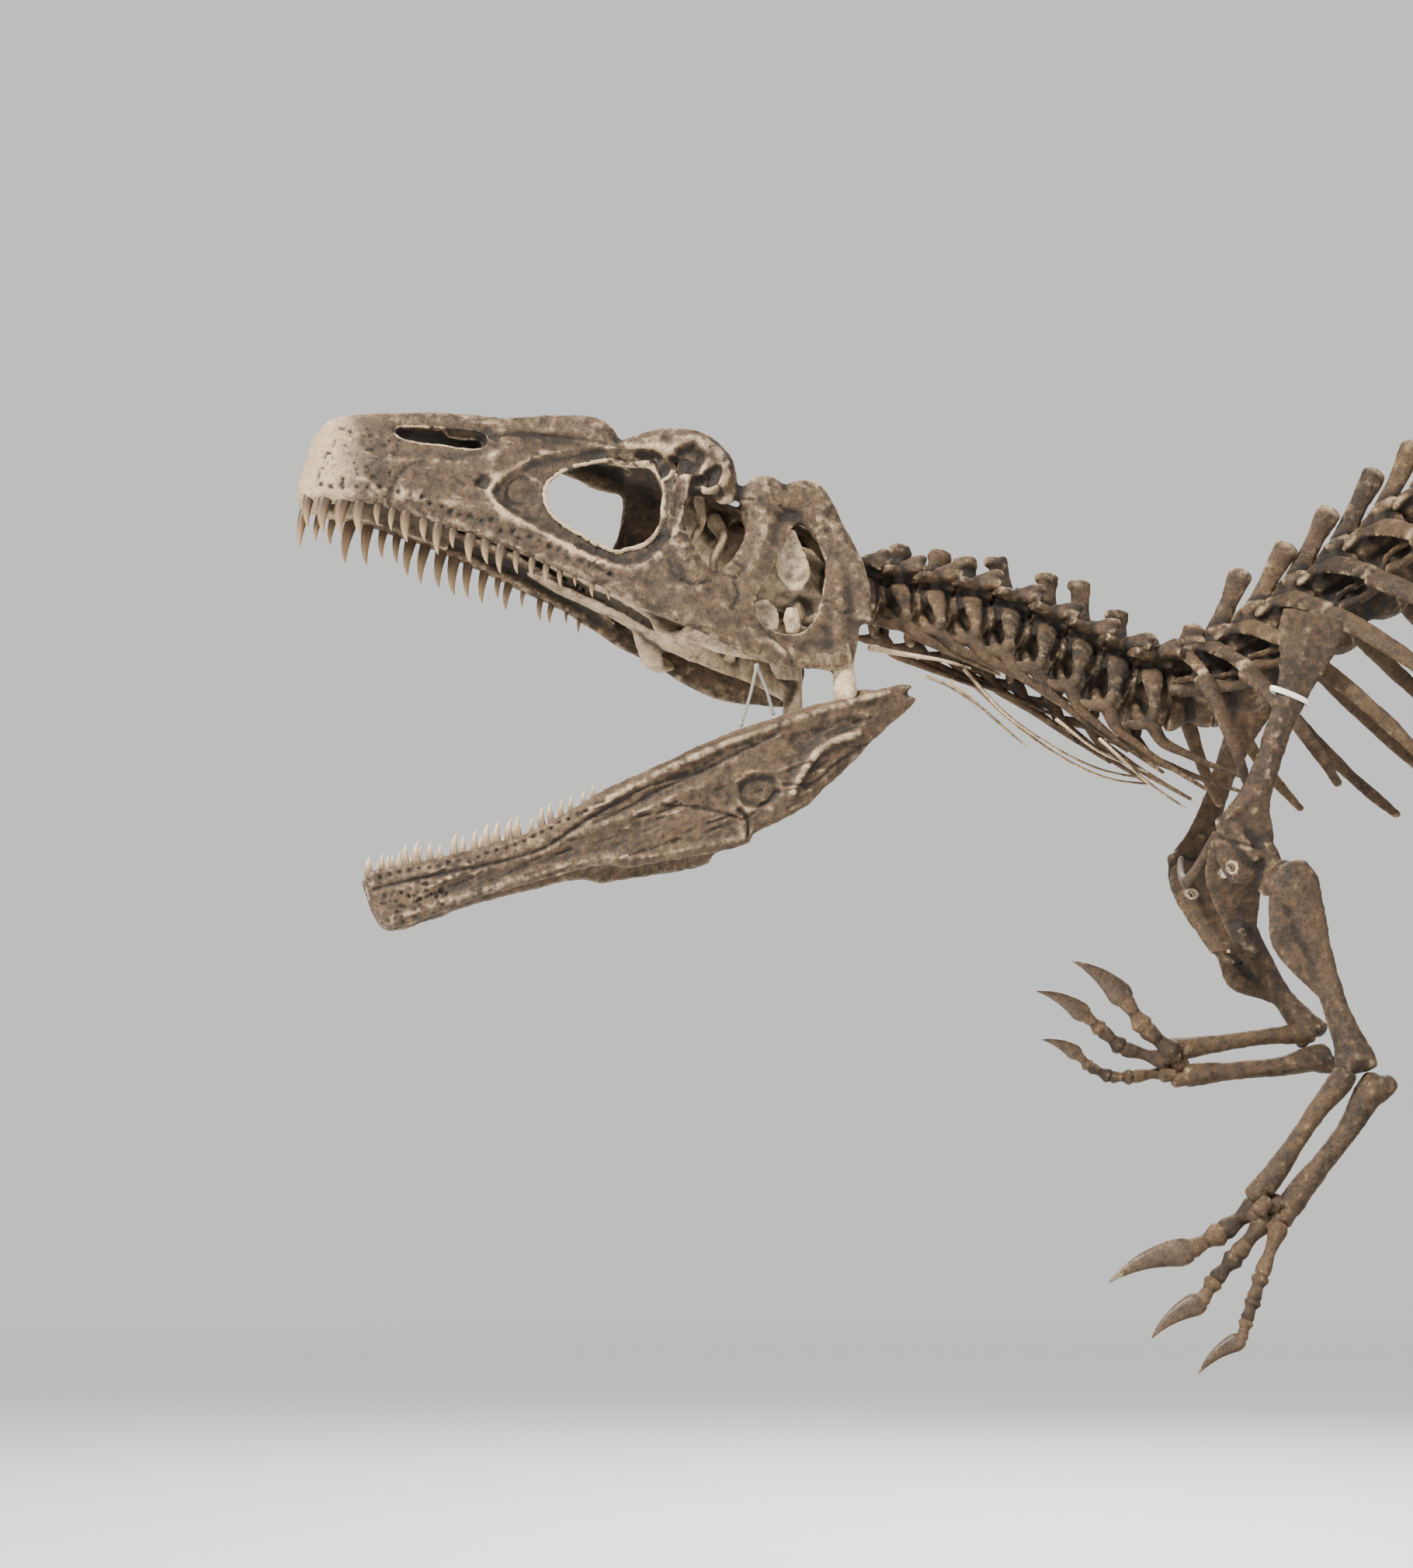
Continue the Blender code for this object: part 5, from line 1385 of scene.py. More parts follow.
@dataclass
class Neck:
    """Nine neck vertebrae, and the long thin ribs that lie in a bundle under them."""

    count: int = NECK_COUNT
    width: float = 30.5
    growth: float = 1.7
    skin: Skin = Skin(grain=0.0022, fillet=0.0022, soften=1, swell=0.0035, swell_size=0.025,
                      pitting=0.0014, pitting_size=0.008)
    rib_skin: Skin = Skin(grain=0.0016, soften=1, swell=0.0008, swell_size=0.03, pitting=0.0)

    def vertebra(self, bench: Bench, bone: Vertebra) -> list[Piece]:
        """One neck vertebra in rough blanks."""
        wide = self.width + self.growth * bone.number
        along, side = bone.along, bone.side
        half = bone.half
        parts = [bone.bar(bench, [
            (-half * 1.12, 0, 0, wide * 0.62, wide * 0.60),
            (-half * 0.86, 0, 0, wide * 0.94, wide * 0.92),
            (-half * 0.30, 0, 2, wide * 0.70, wide * 0.70),
            (half * 0.35, 0, 2, wide * 0.70, wide * 0.72),
            (half * 0.92, 0, 0, wide * 0.98, wide * 0.98)], side, sides=16, dome=0.3)]
        tall = wide + 11
        parts.append(bone.bar(bench, [
            (-half * 0.80, 0, tall, wide * 0.74, 18), (0, 0, tall + 2, wide * 0.60, 20),
            (half * 0.80, 0, tall + 2, wide * 0.74, 18)], side, sides=12))
        parts += bone.bars(bench, [
            (half * 0.1, wide * 0.45, tall + 4, 11, 12),
            (-half * 0.65, wide * 0.82, tall + 2, 12, 9),
            (-half * 1.18, wide * 1.00, tall + 0, 16, 7)], side, dome=0.3)
        parts += bone.bars(bench, [
            (0, wide * 0.45, tall + 10, 11, 13), (half * 0.70, wide * 0.86, tall + 12, 12, 11),
            (half * 1.14, wide * 1.00, tall + 10, 16, 8)], side, dome=0.3)
        parts += bone.bars(bench, [
            (half * 0.20, wide * 0.62, tall + 14, 9, 9),
            (half * 0.80, wide * 0.86, tall + 25, 9, 9),
            (half * 1.10, wide * 0.92, tall + 29, 6, 6)], side)
        parts += bone.bars(bench, [
            (0, wide * 0.55, wide * 0.75, half * 0.60, 11),
            (0, wide * 1.10, wide * 0.35, half * 0.50, 9),
            (4, wide * 1.46, -wide * 0.25, half * 0.33, 8),
            (6, wide * 1.60, -wide * 0.60, half * 0.25, 9)], along)
        parts += bone.bars(bench, [
            (-half * 0.62, wide * 0.70, -wide * 0.45, 10, 10),
            (-half * 0.50, wide * 1.10, -wide * 0.72, 9, 9),
            (-half * 0.30, wide * 1.38, -wide * 0.92, 8, 8)], along)
        if bone.number > 1:
            parts += self.spine(bench, bone, tall)
        else:
            parts += bone.bars(bench, [
                (-10, 4, tall + 4, 14, 7), (2, 20, tall + 12, 16, 6),
                (20, 34, tall + 4, 10, 5)], along)
        return parts

    def spine(self, bench: Bench, bone: Vertebra, tall: float) -> list[Piece]:
        """The neural spine: a low plate with a rough thick top."""
        tip = bone.local(bone.spine_tip())
        root = (tip[0] * 0.25, 0.0, tall)
        middle = tuple(0.45 * a + 0.55 * b for a, b in zip(root, tip))
        plate = [(*root, 21, 12), (*middle, 14.5, 7.5), (*tip, 16.5, 10)]
        parts = [bone.bar(bench, plate, bone.along, sides=12)]
        cap = [
            (tip[0] - 13, 0, tip[2] - 8, 8, 8), (tip[0], 0, tip[2] - 5, 14, 10),
            (tip[0] + 13, 0, tip[2] - 9, 9, 9)]
        parts.append(bone.bar(bench, cap, bone.side))
        return parts

    def rib(self, bench: Bench, bone: Vertebra, side: Side) -> Piece:
        """A forked head, a short spur ahead of it, and a long rod drawn out behind."""
        wide = self.width + self.growth * bone.number
        sign = side.value
        low = 44 + 2.6 * bone.number
        reach = 150 + 4 * bone.number
        join = (4, sign * wide * 1.52, -wide * 1.02)
        rows = [
            [(-34, sign * wide * 1.46, -wide * 1.18, 3.5, 4),
             (-16, sign * wide * 1.52, -wide * 1.14, 7, 8), (*join, 9.5, 11),
             (28, sign * 60, -low, 6.5, 8.5), (62, sign * 57, -low - 9, 5, 6.2),
             (104, sign * 53, -low - 18, 3.8, 4.6), (reach, sign * 48, -low - 29, 2.4, 2.8)],
            [(*join, 9, 9), (6, sign * wide * 1.62, -wide * 0.60, 9, 9)],
            [(*join, 8, 8), (-10, sign * wide * 1.36, -wide * 0.90, 8, 8)]]
        parts = [bone.bar(bench, row, bone.side, cuts=4) for row in rows]
        return bench.fuse(parts, self.rib_skin, 0.55 + 0.3 * ((bone.number * 7) % 3) / 2)

    def loose_rods(self, bench: Bench) -> list[Piece]:
        """The drawn-out rib ends that hang free below the neck, and the one behind the skull."""
        lines = [
            ((-1622, -150, 1585), (-1575, -148, 1577), (-1520, -138, 1570), (-1478, -122, 1562)),
            ((-1535, -70, 1560), (-1505, -68, 1548), (-1472, -64, 1527), (-1452, -60, 1514)),
            ((-1500, -62, 1556), (-1462, -60, 1522), (-1420, -54, 1486), (-1392, -50, 1462)),
            ((-1480, -50, 1575), (-1420, -46, 1510), (-1350, -40, 1462), (-1285, -34, 1432),
             (-1215, -30, 1418)),
            ((-1470, 50, 1585), (-1400, 46, 1515), (-1330, 40, 1462), (-1265, 34, 1430),
             (-1200, 30, 1420)),
            ((-1350, -60, 1500), (-1290, -55, 1455), (-1220, -50, 1425)),
            ((-1290, -70, 1470), (-1225, -66, 1410), (-1170, -62, 1372))]
        pieces = []
        for index, line in enumerate(lines):
            first = 0.0052 if index == 0 else 0.0030
            sizes = np.linspace(first, 0.0017, len(line))
            rows = [(*point, size, size * 0.9) for point, size in zip(mm(line), sizes)]
            rod = bench.sweep(rows, ACROSS, sides=8, cuts=6)
            bench.tint(rod, 0.9 if index == 0 else 0.6)
            pieces.append(rod)
        return pieces

    def build(self, bench: Bench, finishes: Finishes, column: Column) -> None:
        """Builds and dresses the neck."""
        bones = column.span(0, self.count)
        chance = np.random.default_rng(3)
        pieces = [bench.fuse(self.vertebra(bench, bone), self.skin, chance.uniform(0.1, 0.9))
                  for bone in bones]
        bench.dress(bench.join(pieces), "neck_vertebrae", ["neck"], finishes.neck,
                    keep=0.6)
        ribs = [self.rib(bench, bone, side) for bone in bones[1:] for side in Side]
        ribs += self.loose_rods(bench)
        bench.dress(bench.join(ribs), "neck_ribs", ["neck"], finishes.neck)


@dataclass
class Trunk:
    """Fourteen back vertebrae and their ribs."""

    count: int = BACK_COUNT
    width: float = 40.0
    growth: float = 0.9
    skin: Skin = Skin(grain=0.0030, fillet=0.0035, soften=2, swell=0.0045, swell_size=0.04,
                      pitting=0.0020, pitting_size=0.012)
    rib_skin: Skin = Skin(grain=0.0032, fillet=0.003, soften=2, swell=0.0040, swell_size=0.06,
                          pitting=0.0016, pitting_size=0.012)
    rib_drops: Knots = (
        (1, 0.20), (2, 0.25), (3, 0.34), (5, 0.58), (7, 0.68), (9, 0.64), (12, 0.38), (14, 0.14))
    rib_spreads: Knots = (
        (1, 0.115), (3, 0.160), (6, 0.245), (8, 0.265), (10, 0.245), (12, 0.190), (14, 0.095))
    rib_root: float = 0.012
    rib_sweep: float = math.radians(14.0)
    rib_curl: float = math.radians(122.0)

    def rib_point(self, number: int, bone: Vertebra, side: Side, share: float) -> np.ndarray:
        """A point of a rib's course, from 0 inside the arch to 1 at its end."""
        drop = at(self.rib_drops, number)
        spread = at(self.rib_spreads, number) - self.rib_root
        down = bone.along * math.sin(self.rib_sweep) - bone.up * math.cos(self.rib_sweep)
        root = bone.spot(0.004, side.value * self.rib_root, 0.052)
        angle = self.rib_curl * share
        fall = drop * (1.0 - math.cos(angle)) / (1.0 - math.cos(self.rib_curl))
        return root + ACROSS * side.value * spread * math.sin(angle) + down * fall

    def joint_share(self, number: int) -> float:
        """Where along its course a rib meets the transverse process."""
        spread = at(self.rib_spreads, number) - self.rib_root
        reach = min(0.092, spread * 0.72)
        return math.asin(reach / spread) / self.rib_curl

    def rib(self, bench: Bench, number: int, bone: Vertebra, side: Side) -> Piece:
        """One rib with its two heads."""
        start = self.joint_share(number)
        rows = []
        for share in np.linspace(start * 0.92, 1.0, 11):
            wide = at(((0.0, 0.0185), (0.28, 0.0165), (0.45, 0.0140), (0.75, 0.0105),
                       (0.93, 0.0085), (1.0, 0.0075)), share)
            thick = at(((0.0, 0.0095), (0.3, 0.0080), (0.6, 0.0070), (1.0, 0.0050)), share)
            rows.append((*self.rib_point(number, bone, side, share), wide, thick))
        wide = mm(self.width + self.growth * number)
        joint = self.rib_point(number, bone, side, start * 1.12)
        head = bone.spot(-bone.length * 0.30, side.value * wide * 0.92, 0.012)
        middle = joint * 0.45 + head * 0.55 - bone.up * 0.004
        neck = [(*joint, 0.012, 0.0085), (*middle, 0.0085, 0.0065), (*head, 0.013, 0.0105)]
        keel = [(*(row[:3] - bone.along * 0.008), 0.004, 0.006) for row in rows[:6]]
        parts = [bench.sweep(rows, bone.along, sides=12, cuts=3),
                 bench.sweep(neck, bone.along, sides=10),
                 bench.sweep(keel, bone.along, sides=8, cuts=2)]
        return bench.fuse(parts, self.rib_skin, 0.35 + 0.5 * ((number * 5 + side.value) % 4) / 3)

    def vertebra(self, bench: Bench, number: int, bone: Vertebra) -> Piece:
        """One back vertebra: spool, arch, wings, joints and a tall spine."""
        half = bone.half - 1
        wide = self.width + self.growth * number
        along, side = bone.along, bone.side
        tall = wide + 16
        parts = [bone.bar(bench, [(-half, 0, 0, wide * 0.98, wide * 1.00),
                                  (-half * 0.72, 0, 0, wide * 0.90, wide * 0.94),
                                  (0, 0, 4, wide * 0.60, wide * 0.66),
                                  (half * 0.72, 0, 0, wide * 0.90, wide * 0.94),
                                  (half, 0, 0, wide * 0.98, wide * 1.00)],
                          side, sides=20, dome=0.08),
                 bone.bar(bench, [(-half * 0.80, 0, tall, wide * 0.55, 24),
                                  (0, 0, tall + 4, wide * 0.42, 26),
                                  (half * 0.80, 0, tall, wide * 0.52, 24)],
                          side, sides=12)]
        for side_name in Side:
            end = bone.local(self.rib_point(number, bone, side_name, self.joint_share(number)))
            sign = side_name.value
            root = (0.0, sign * wide * 0.35, tall + 16)
            lift = (end[0], end[1] - sign * 4, end[2] + 12)
            middle = tuple(0.5 * (a + b) for a, b in zip(root, lift))
            arm = [
                (*root, half * 0.52, 8), (middle[0], middle[1], middle[2] + 4, half * 0.40, 6.5),
                (*lift, half * 0.32, 9)]
            parts.append(bone.bar(bench, arm, along))
            for ahead in (-0.55, 0.55):
                foot = (half * ahead, sign * wide * 0.72, wide * 0.62)
                brace = [(*foot, 4.5, 7),
                         (foot[0] / 2, sign * wide * 0.95, (foot[2] + lift[2]) * 0.52, 3.5, 7),
                         (lift[0], lift[1] * 0.86, lift[2] - 4, 3.5, 6)]
                parts.append(bone.bar(bench, brace, along, sides=8))
        parts += bone.bars(bench, [
            (-half * 0.4, wide * 0.28, tall + 18, 12, 12),
            (-half * 0.95, wide * 0.40, tall + 19, 14, 9),
            (-half * 1.18, wide * 0.44, tall + 17, 13, 6)], side)
        parts += bone.bars(bench, [
            (half * 0.4, wide * 0.24, tall + 28, 11, 14),
            (half * 0.92, wide * 0.34, tall + 29, 12, 10),
            (half * 1.12, wide * 0.36, tall + 27, 11, 7)], side)
        parts += self.spine(bench, bone, tall, half)
        return bench.fuse(parts, self.skin, 0.2 + 0.6 * ((number * 3) % 5) / 4)

    def spine(self, bench: Bench, bone: Vertebra, tall: float, half: float) -> list[Piece]:
        """A tall neural plate, thin in the middle, with a thick rough head."""
        tip = bone.local(bone.spine_tip())
        size = float(np.clip((tip[2] - 90) / 120, 0.80, 1.0))
        root = (half * 0.05, 0.0, tall + 12)

        def between(share: float) -> tuple[float, float, float]:
            """A point of the spine's middle line."""
            return tuple(a + (b - a) * share for a, b in zip(root, tip))

        plate = [(*between(share), wide * size, thick) for share, wide, thick in (
            (0.0, 29, 14), (0.25, 20.5, 8.5), (0.60, 17.5, 8), (0.82, 21.5, 11), (0.95, 23.5, 15))]
        flange = [(between(0.0)[0] - 19 * size, 0, between(0.0)[2], 5, 4),
                  (between(0.5)[0] - 18 * size, 0, between(0.5)[2], 4, 2.5),
                  (between(0.9)[0] - 18 * size, 0, between(0.9)[2], 5, 5)]
        return [bone.bar(bench, plate, bone.along, sides=14),
                bone.bar(bench, flange, bone.along, sides=8)]

    def build(self, bench: Bench, finishes: Finishes, column: Column) -> None:
        """Builds and dresses the trunk."""
        bones = column.span(NECK_COUNT, self.count)
        nodes = ["rib_cage_left", "rib_cage_right"]
        made = [self.vertebra(bench, number, bone) for number, bone in enumerate(bones, start=1)]
        bench.dress(bench.join(made[:7]), "back_vertebrae_front", nodes, finishes.bone)
        bench.dress(bench.join(made[7:]), "back_vertebrae_rear", nodes, finishes.bone)
        for side in Side:
            ribs = [self.rib(bench, number, bone, side)
                    for number, bone in enumerate(bones, start=1)]
            bench.dress(bench.join(ribs), "ribs_" + side.word, ["rib_cage_" + side.word],
                        finishes.bone)


@dataclass
class Sacrum:
    """Five joined vertebrae under one long crest, with wings to the hip bones."""

    count: int = SACRUM_COUNT
    skin: Skin = Skin(grain=0.0038, soften=3, swell=0.0035, swell_size=0.06,
                      pitting=0.0014, pitting_size=0.014)

    def build(self, bench: Bench, finishes: Finishes, column: Column) -> None:
        """Builds and dresses the sacrum."""
        bones = column.span(NECK_COUNT + BACK_COUNT, self.count)
        parts = []
        for index, bone in enumerate(bones):
            half = bone.half + (1 if 0 < index < self.count - 1 else -4)
            parts.append(bone.bar(bench, [
                (-half, 0, 4, 50, 48), (0, 0, 8, 36, 40),
                (half, 0, 4, 50, 48)], bone.side, sides=16, dome=0.1))
            parts.append(bone.bar(bench, [
                (-half, 0, 55, 26, 26), (half, 0, 55, 26, 26)], bone.side))
            parts.append(bone.bar(bench, [
                (0, 0, 60, 34, 14), (4, 0, 120, 34, 7), (8, 0, 196, 46, 7),
                (9, 0, 207, 44, 11)], bone.along))
            parts += bone.bars(bench, [
                (0, 30, 6, 30, 26), (0, 75, 8, 18, 20),
                (0, 107.5, 10, 36, 34)], bone.along, dome=0.0)
            parts += bone.bars(bench, [
                (0, 10, 70, 22, 10), (2, 60, 82, 16, 7),
                (4, 106.5, 76, 24, 12)], bone.along, dome=0.0)
        piece = bench.fuse(parts, self.skin, 0.45)
        bench.dress(piece, "sacral_vertebrae", ["sacrum"], finishes.bone)


@dataclass
class Tail:
    """Forty-eight tail vertebrae with chevrons, in the frame's four lengths."""

    lengths: Sequence[int] = (8, 10, 12, 18)
    widths: Knots = ((1, 50), (8, 40), (18, 30), (30, 18), (48, 7))
    spines: Knots = ((1, 200), (8, 155), (18, 95), (26, 50))
    chevrons: Knots = ((2, 190), (8, 160), (18, 95), (24, 55))
    wings: Knots = ((1, 98), (2, 102), (3, 125), (8, 90), (12, 50))
    grains: Sequence[float] = (0.0038, 0.0034, 0.0028, 0.0022)

    def vertebra(self, bench: Bench, number: int, bone: Vertebra) -> list[Piece]:
        """One tail vertebra in rough blanks; they get plainer toward the tip."""
        half = bone.half - 1.2
        wide = at(self.widths, number)
        waist = 0.66 if number < 26 else 0.74
        parts = [bone.bar(bench, [
            (-half, 0, 0, wide * 0.97, wide * 0.98),
            (-half * 0.75, 0, 0, wide * 0.88, wide * 0.92),
            (0, 0, 0, wide * waist, wide * (waist + 0.04)),
            (half * 0.75, 0, 0, wide * 0.88, wide * 0.92),
            (half, 0, 0, wide * 0.97, wide * 0.98)], bone.side, sides=16, dome=0.08)]
        arch = wide * 1.02
        parts.append(bone.bar(bench, [
            (-half * 0.8, 0, arch, wide * 0.40, wide * 0.26),
            (half * 0.7, 0, arch, wide * 0.36, wide * 0.26)], bone.side))
        reach = 1.28 if number < 30 else 1.42
        joints = [[(-half * 0.3, wide * 0.26, arch, wide * 0.14, wide * 0.18),
                   (-half * reach, wide * 0.34, arch + wide * 0.14, wide * 0.11, wide * 0.17)],
                  [(half * 0.3, wide * 0.16, arch + wide * 0.22, wide * 0.12, wide * 0.18),
                   (half * 1.16, wide * 0.20, arch + wide * 0.24, wide * 0.10, wide * 0.14)]]
        for joint in joints:
            parts += bone.bars(bench, joint, bone.side, cuts=4)
        if number <= self.spines[-1][0]:
            tall = at(self.spines, number)
            deep = bone.half * 0.4
            lean = 30 + tall * 0.15
            parts.append(bone.bar(bench, [
                (6, 0, wide * 0.8, deep * 1.35, 11),
                (4 + lean * 0.35, 0, tall * 0.50, deep * 0.86, 5.5),
                (4 + lean * 0.80, 0, tall * 0.86, deep * 0.92, 6.5),
                (lean, 0, tall - 4, deep * 0.98, 9)], bone.along, sides=12))
        if number <= self.wings[-1][0]:
            out = at(self.wings, number)
            deep = bone.half * 0.4
            parts += bone.bars(bench, [
                (0, wide * 0.5, 12, deep * 1.15, 11),
                (8, (wide * 0.5 + out) * 0.5, 14, deep * 0.80, 6.5),
                (20, out, 16, deep * 0.95, 6)], bone.along)
        return parts

    def chevron(self, bench: Bench, number: int, bone: Vertebra) -> list[Piece]:
        """The forked bone that hangs under the joint ahead of a vertebra."""
        deep = at(self.chevrons, number)
        wide = at(self.widths, number)
        top = (-bone.half * 0.68, -wide * 0.80)
        fork = (top[0] + deep * 0.10, -wide * 0.9 - deep * 0.16)
        end = (deep * 0.42, -deep)
        parts = []
        for sign in (-1, 1):
            parts.append(bone.bar(bench, [
                (top[0], sign * wide * 0.34, top[1] - 4, 7, 6),
                (fork[0], sign * 3, fork[1], 7, 5)], bone.along, cuts=4))
        parts.append(bone.bar(bench, [
            (top[0], -wide * 0.36, top[1] - 2, 6, 6),
            (top[0], wide * 0.36, top[1] - 2, 6, 6)], bone.along, cuts=4))
        parts.append(bone.bar(bench, [
            (fork[0] - 4, 0, fork[1] + 10, 8, 7),
            ((fork[0] + end[0]) * 0.48, 0, (fork[1] + end[1]) * 0.5, 9, 5),
            (end[0], 0, end[1], 14.5, 5.5)], bone.along))
        return parts

    def build(self, bench: Bench, finishes: Finishes, column: Column) -> None:
        """Builds and dresses the four lengths."""
        first = NECK_COUNT + BACK_COUNT + SACRUM_COUNT
        chance = np.random.default_rng(9)
        begin = 0
        for section, (length, grain) in enumerate(zip(self.lengths, self.grains), start=1):
            skin = Skin(grain=grain, soften=3 if section < 3 else 2, swell=grain * 0.8,
                        swell_size=0.05, pitting=grain * 0.4, pitting_size=0.012)
            pieces = []
            for number, bone in enumerate(column.span(first + begin, length), start=begin + 1):
                tone = chance.uniform(0.15, 0.85)
                pieces.append(bench.fuse(self.vertebra(bench, number, bone), skin, tone))
                if self.chevrons[0][0] <= number <= self.chevrons[-1][0]:
                    pieces.append(bench.fuse(self.chevron(bench, number, bone), skin, tone))
            bench.dress(bench.join(pieces), "tail_vertebrae_%d" % section,
                        ["tail_%d" % section], finishes.bone)
            begin += length


# ---------------------------------------------------------------- limbs

@dataclass(frozen=True)
class Shaft:
    """A long bone's own directions: down from its head, to its front, and aside."""

    head: np.ndarray
    foot: np.ndarray
    aside: Point = tuple(ACROSS)

    def rows(self, table: Rows) -> np.ndarray:
        """Rows from a share of its length, then millimetres ahead, aside and half widths."""
        shares = np.asarray(table, dtype=float)[:, :1]
        rest = mm(table)
        down = self.foot - self.head
        front = unit(np.cross(ACROSS, down))
        points = self.head + shares * down + rest[:, 1:2] * front + rest[:, 2:3] * self.aside
        return np.hstack((points, rest[:, 3:]))


def phalanx(bench: Bench, start: np.ndarray, end: np.ndarray, radius: float,
            facing: np.ndarray) -> list[Piece]:
    """A finger or toe bone: wide ends, a narrow waist and a two-lobed far knuckle.

    Args:
        bench: Where it is made.
        start: Its near end.
        end: Its far end.
        radius: Half its width at the ends.
        facing: The direction across the digit.

    Returns:
        Blanks to be fused.
    """
    rows = [(*(start + (end - start) * share), radius * wide, radius * deep)
            for share, wide, deep in ((0.04, 0.92, 0.90), (0.14, 1.0, 1.0), (0.50, 0.62, 0.58),
                                      (0.84, 0.86, 0.80), (0.95, 0.80, 0.78))]
    parts = [bench.sweep(rows, facing, sides=12, cuts=3)]
    along = unit(end - start)
    knuckle = end - along * radius * 0.75
    for sign in (-1.0, 1.0):
        center = knuckle + facing * sign * radius * 0.42
        lobe = [(*(center - along * radius * 0.30), radius * 0.52, radius * 0.62),
                (*(center + along * radius * 0.36), radius * 0.50, radius * 0.66)]
        parts.append(bench.sweep(lobe, facing, sides=10, cuts=2, dome=0.9))
    return parts


def claw(bench: Bench, start: np.ndarray, end: np.ndarray, radius: float, facing: np.ndarray,
         lift: np.ndarray) -> Piece:
    """A curved claw bone, deep at its root and drawn out to a sharp tip.

    Args:
        bench: Where it is made.
        start: Its root.
        end: Its tip.
        radius: Half the width of the root.
        facing: The direction across the digit.
        lift: How far its middle stands off the straight line.

    Returns:
        One closed piece.
    """
    length = float(np.linalg.norm(end - start))
    rows = []
    for share, wide, deep, bow in (
            (0.0, 0.72, 1.00, 0.0), (0.10, 0.74, 1.16, 0.30), (0.26, 0.58, 1.00, 0.72),
            (0.48, 0.44, 0.74, 1.0), (0.72, 0.28, 0.44, 0.84), (0.90, 0.14, 0.20, 0.40),
            (1.0, 0.04, 0.06, 0.0)):
        point = start + (end - start) * share + lift * bow
        rows.append((*point, radius * wide, radius * deep))
    heel = start - lift * 1.3 + (end - start) * 0.10
    spur = [(*(start + (end - start) * 0.04), radius * 0.5, radius * 0.5),
            (*heel, radius * 0.42, radius * 0.40)]
    parts = [bench.sweep(rows, facing, sides=12, cuts=4, dome=0.7),
             bench.sweep(spur, facing, sides=8, cuts=2)]
    skin = Skin(grain=max(length * 0.018, 0.0011), soften=1, swell=0.0006, swell_size=0.02,
                pitting=0.0003, pitting_size=0.006)
    return bench.fuse(parts, skin, 0.5)


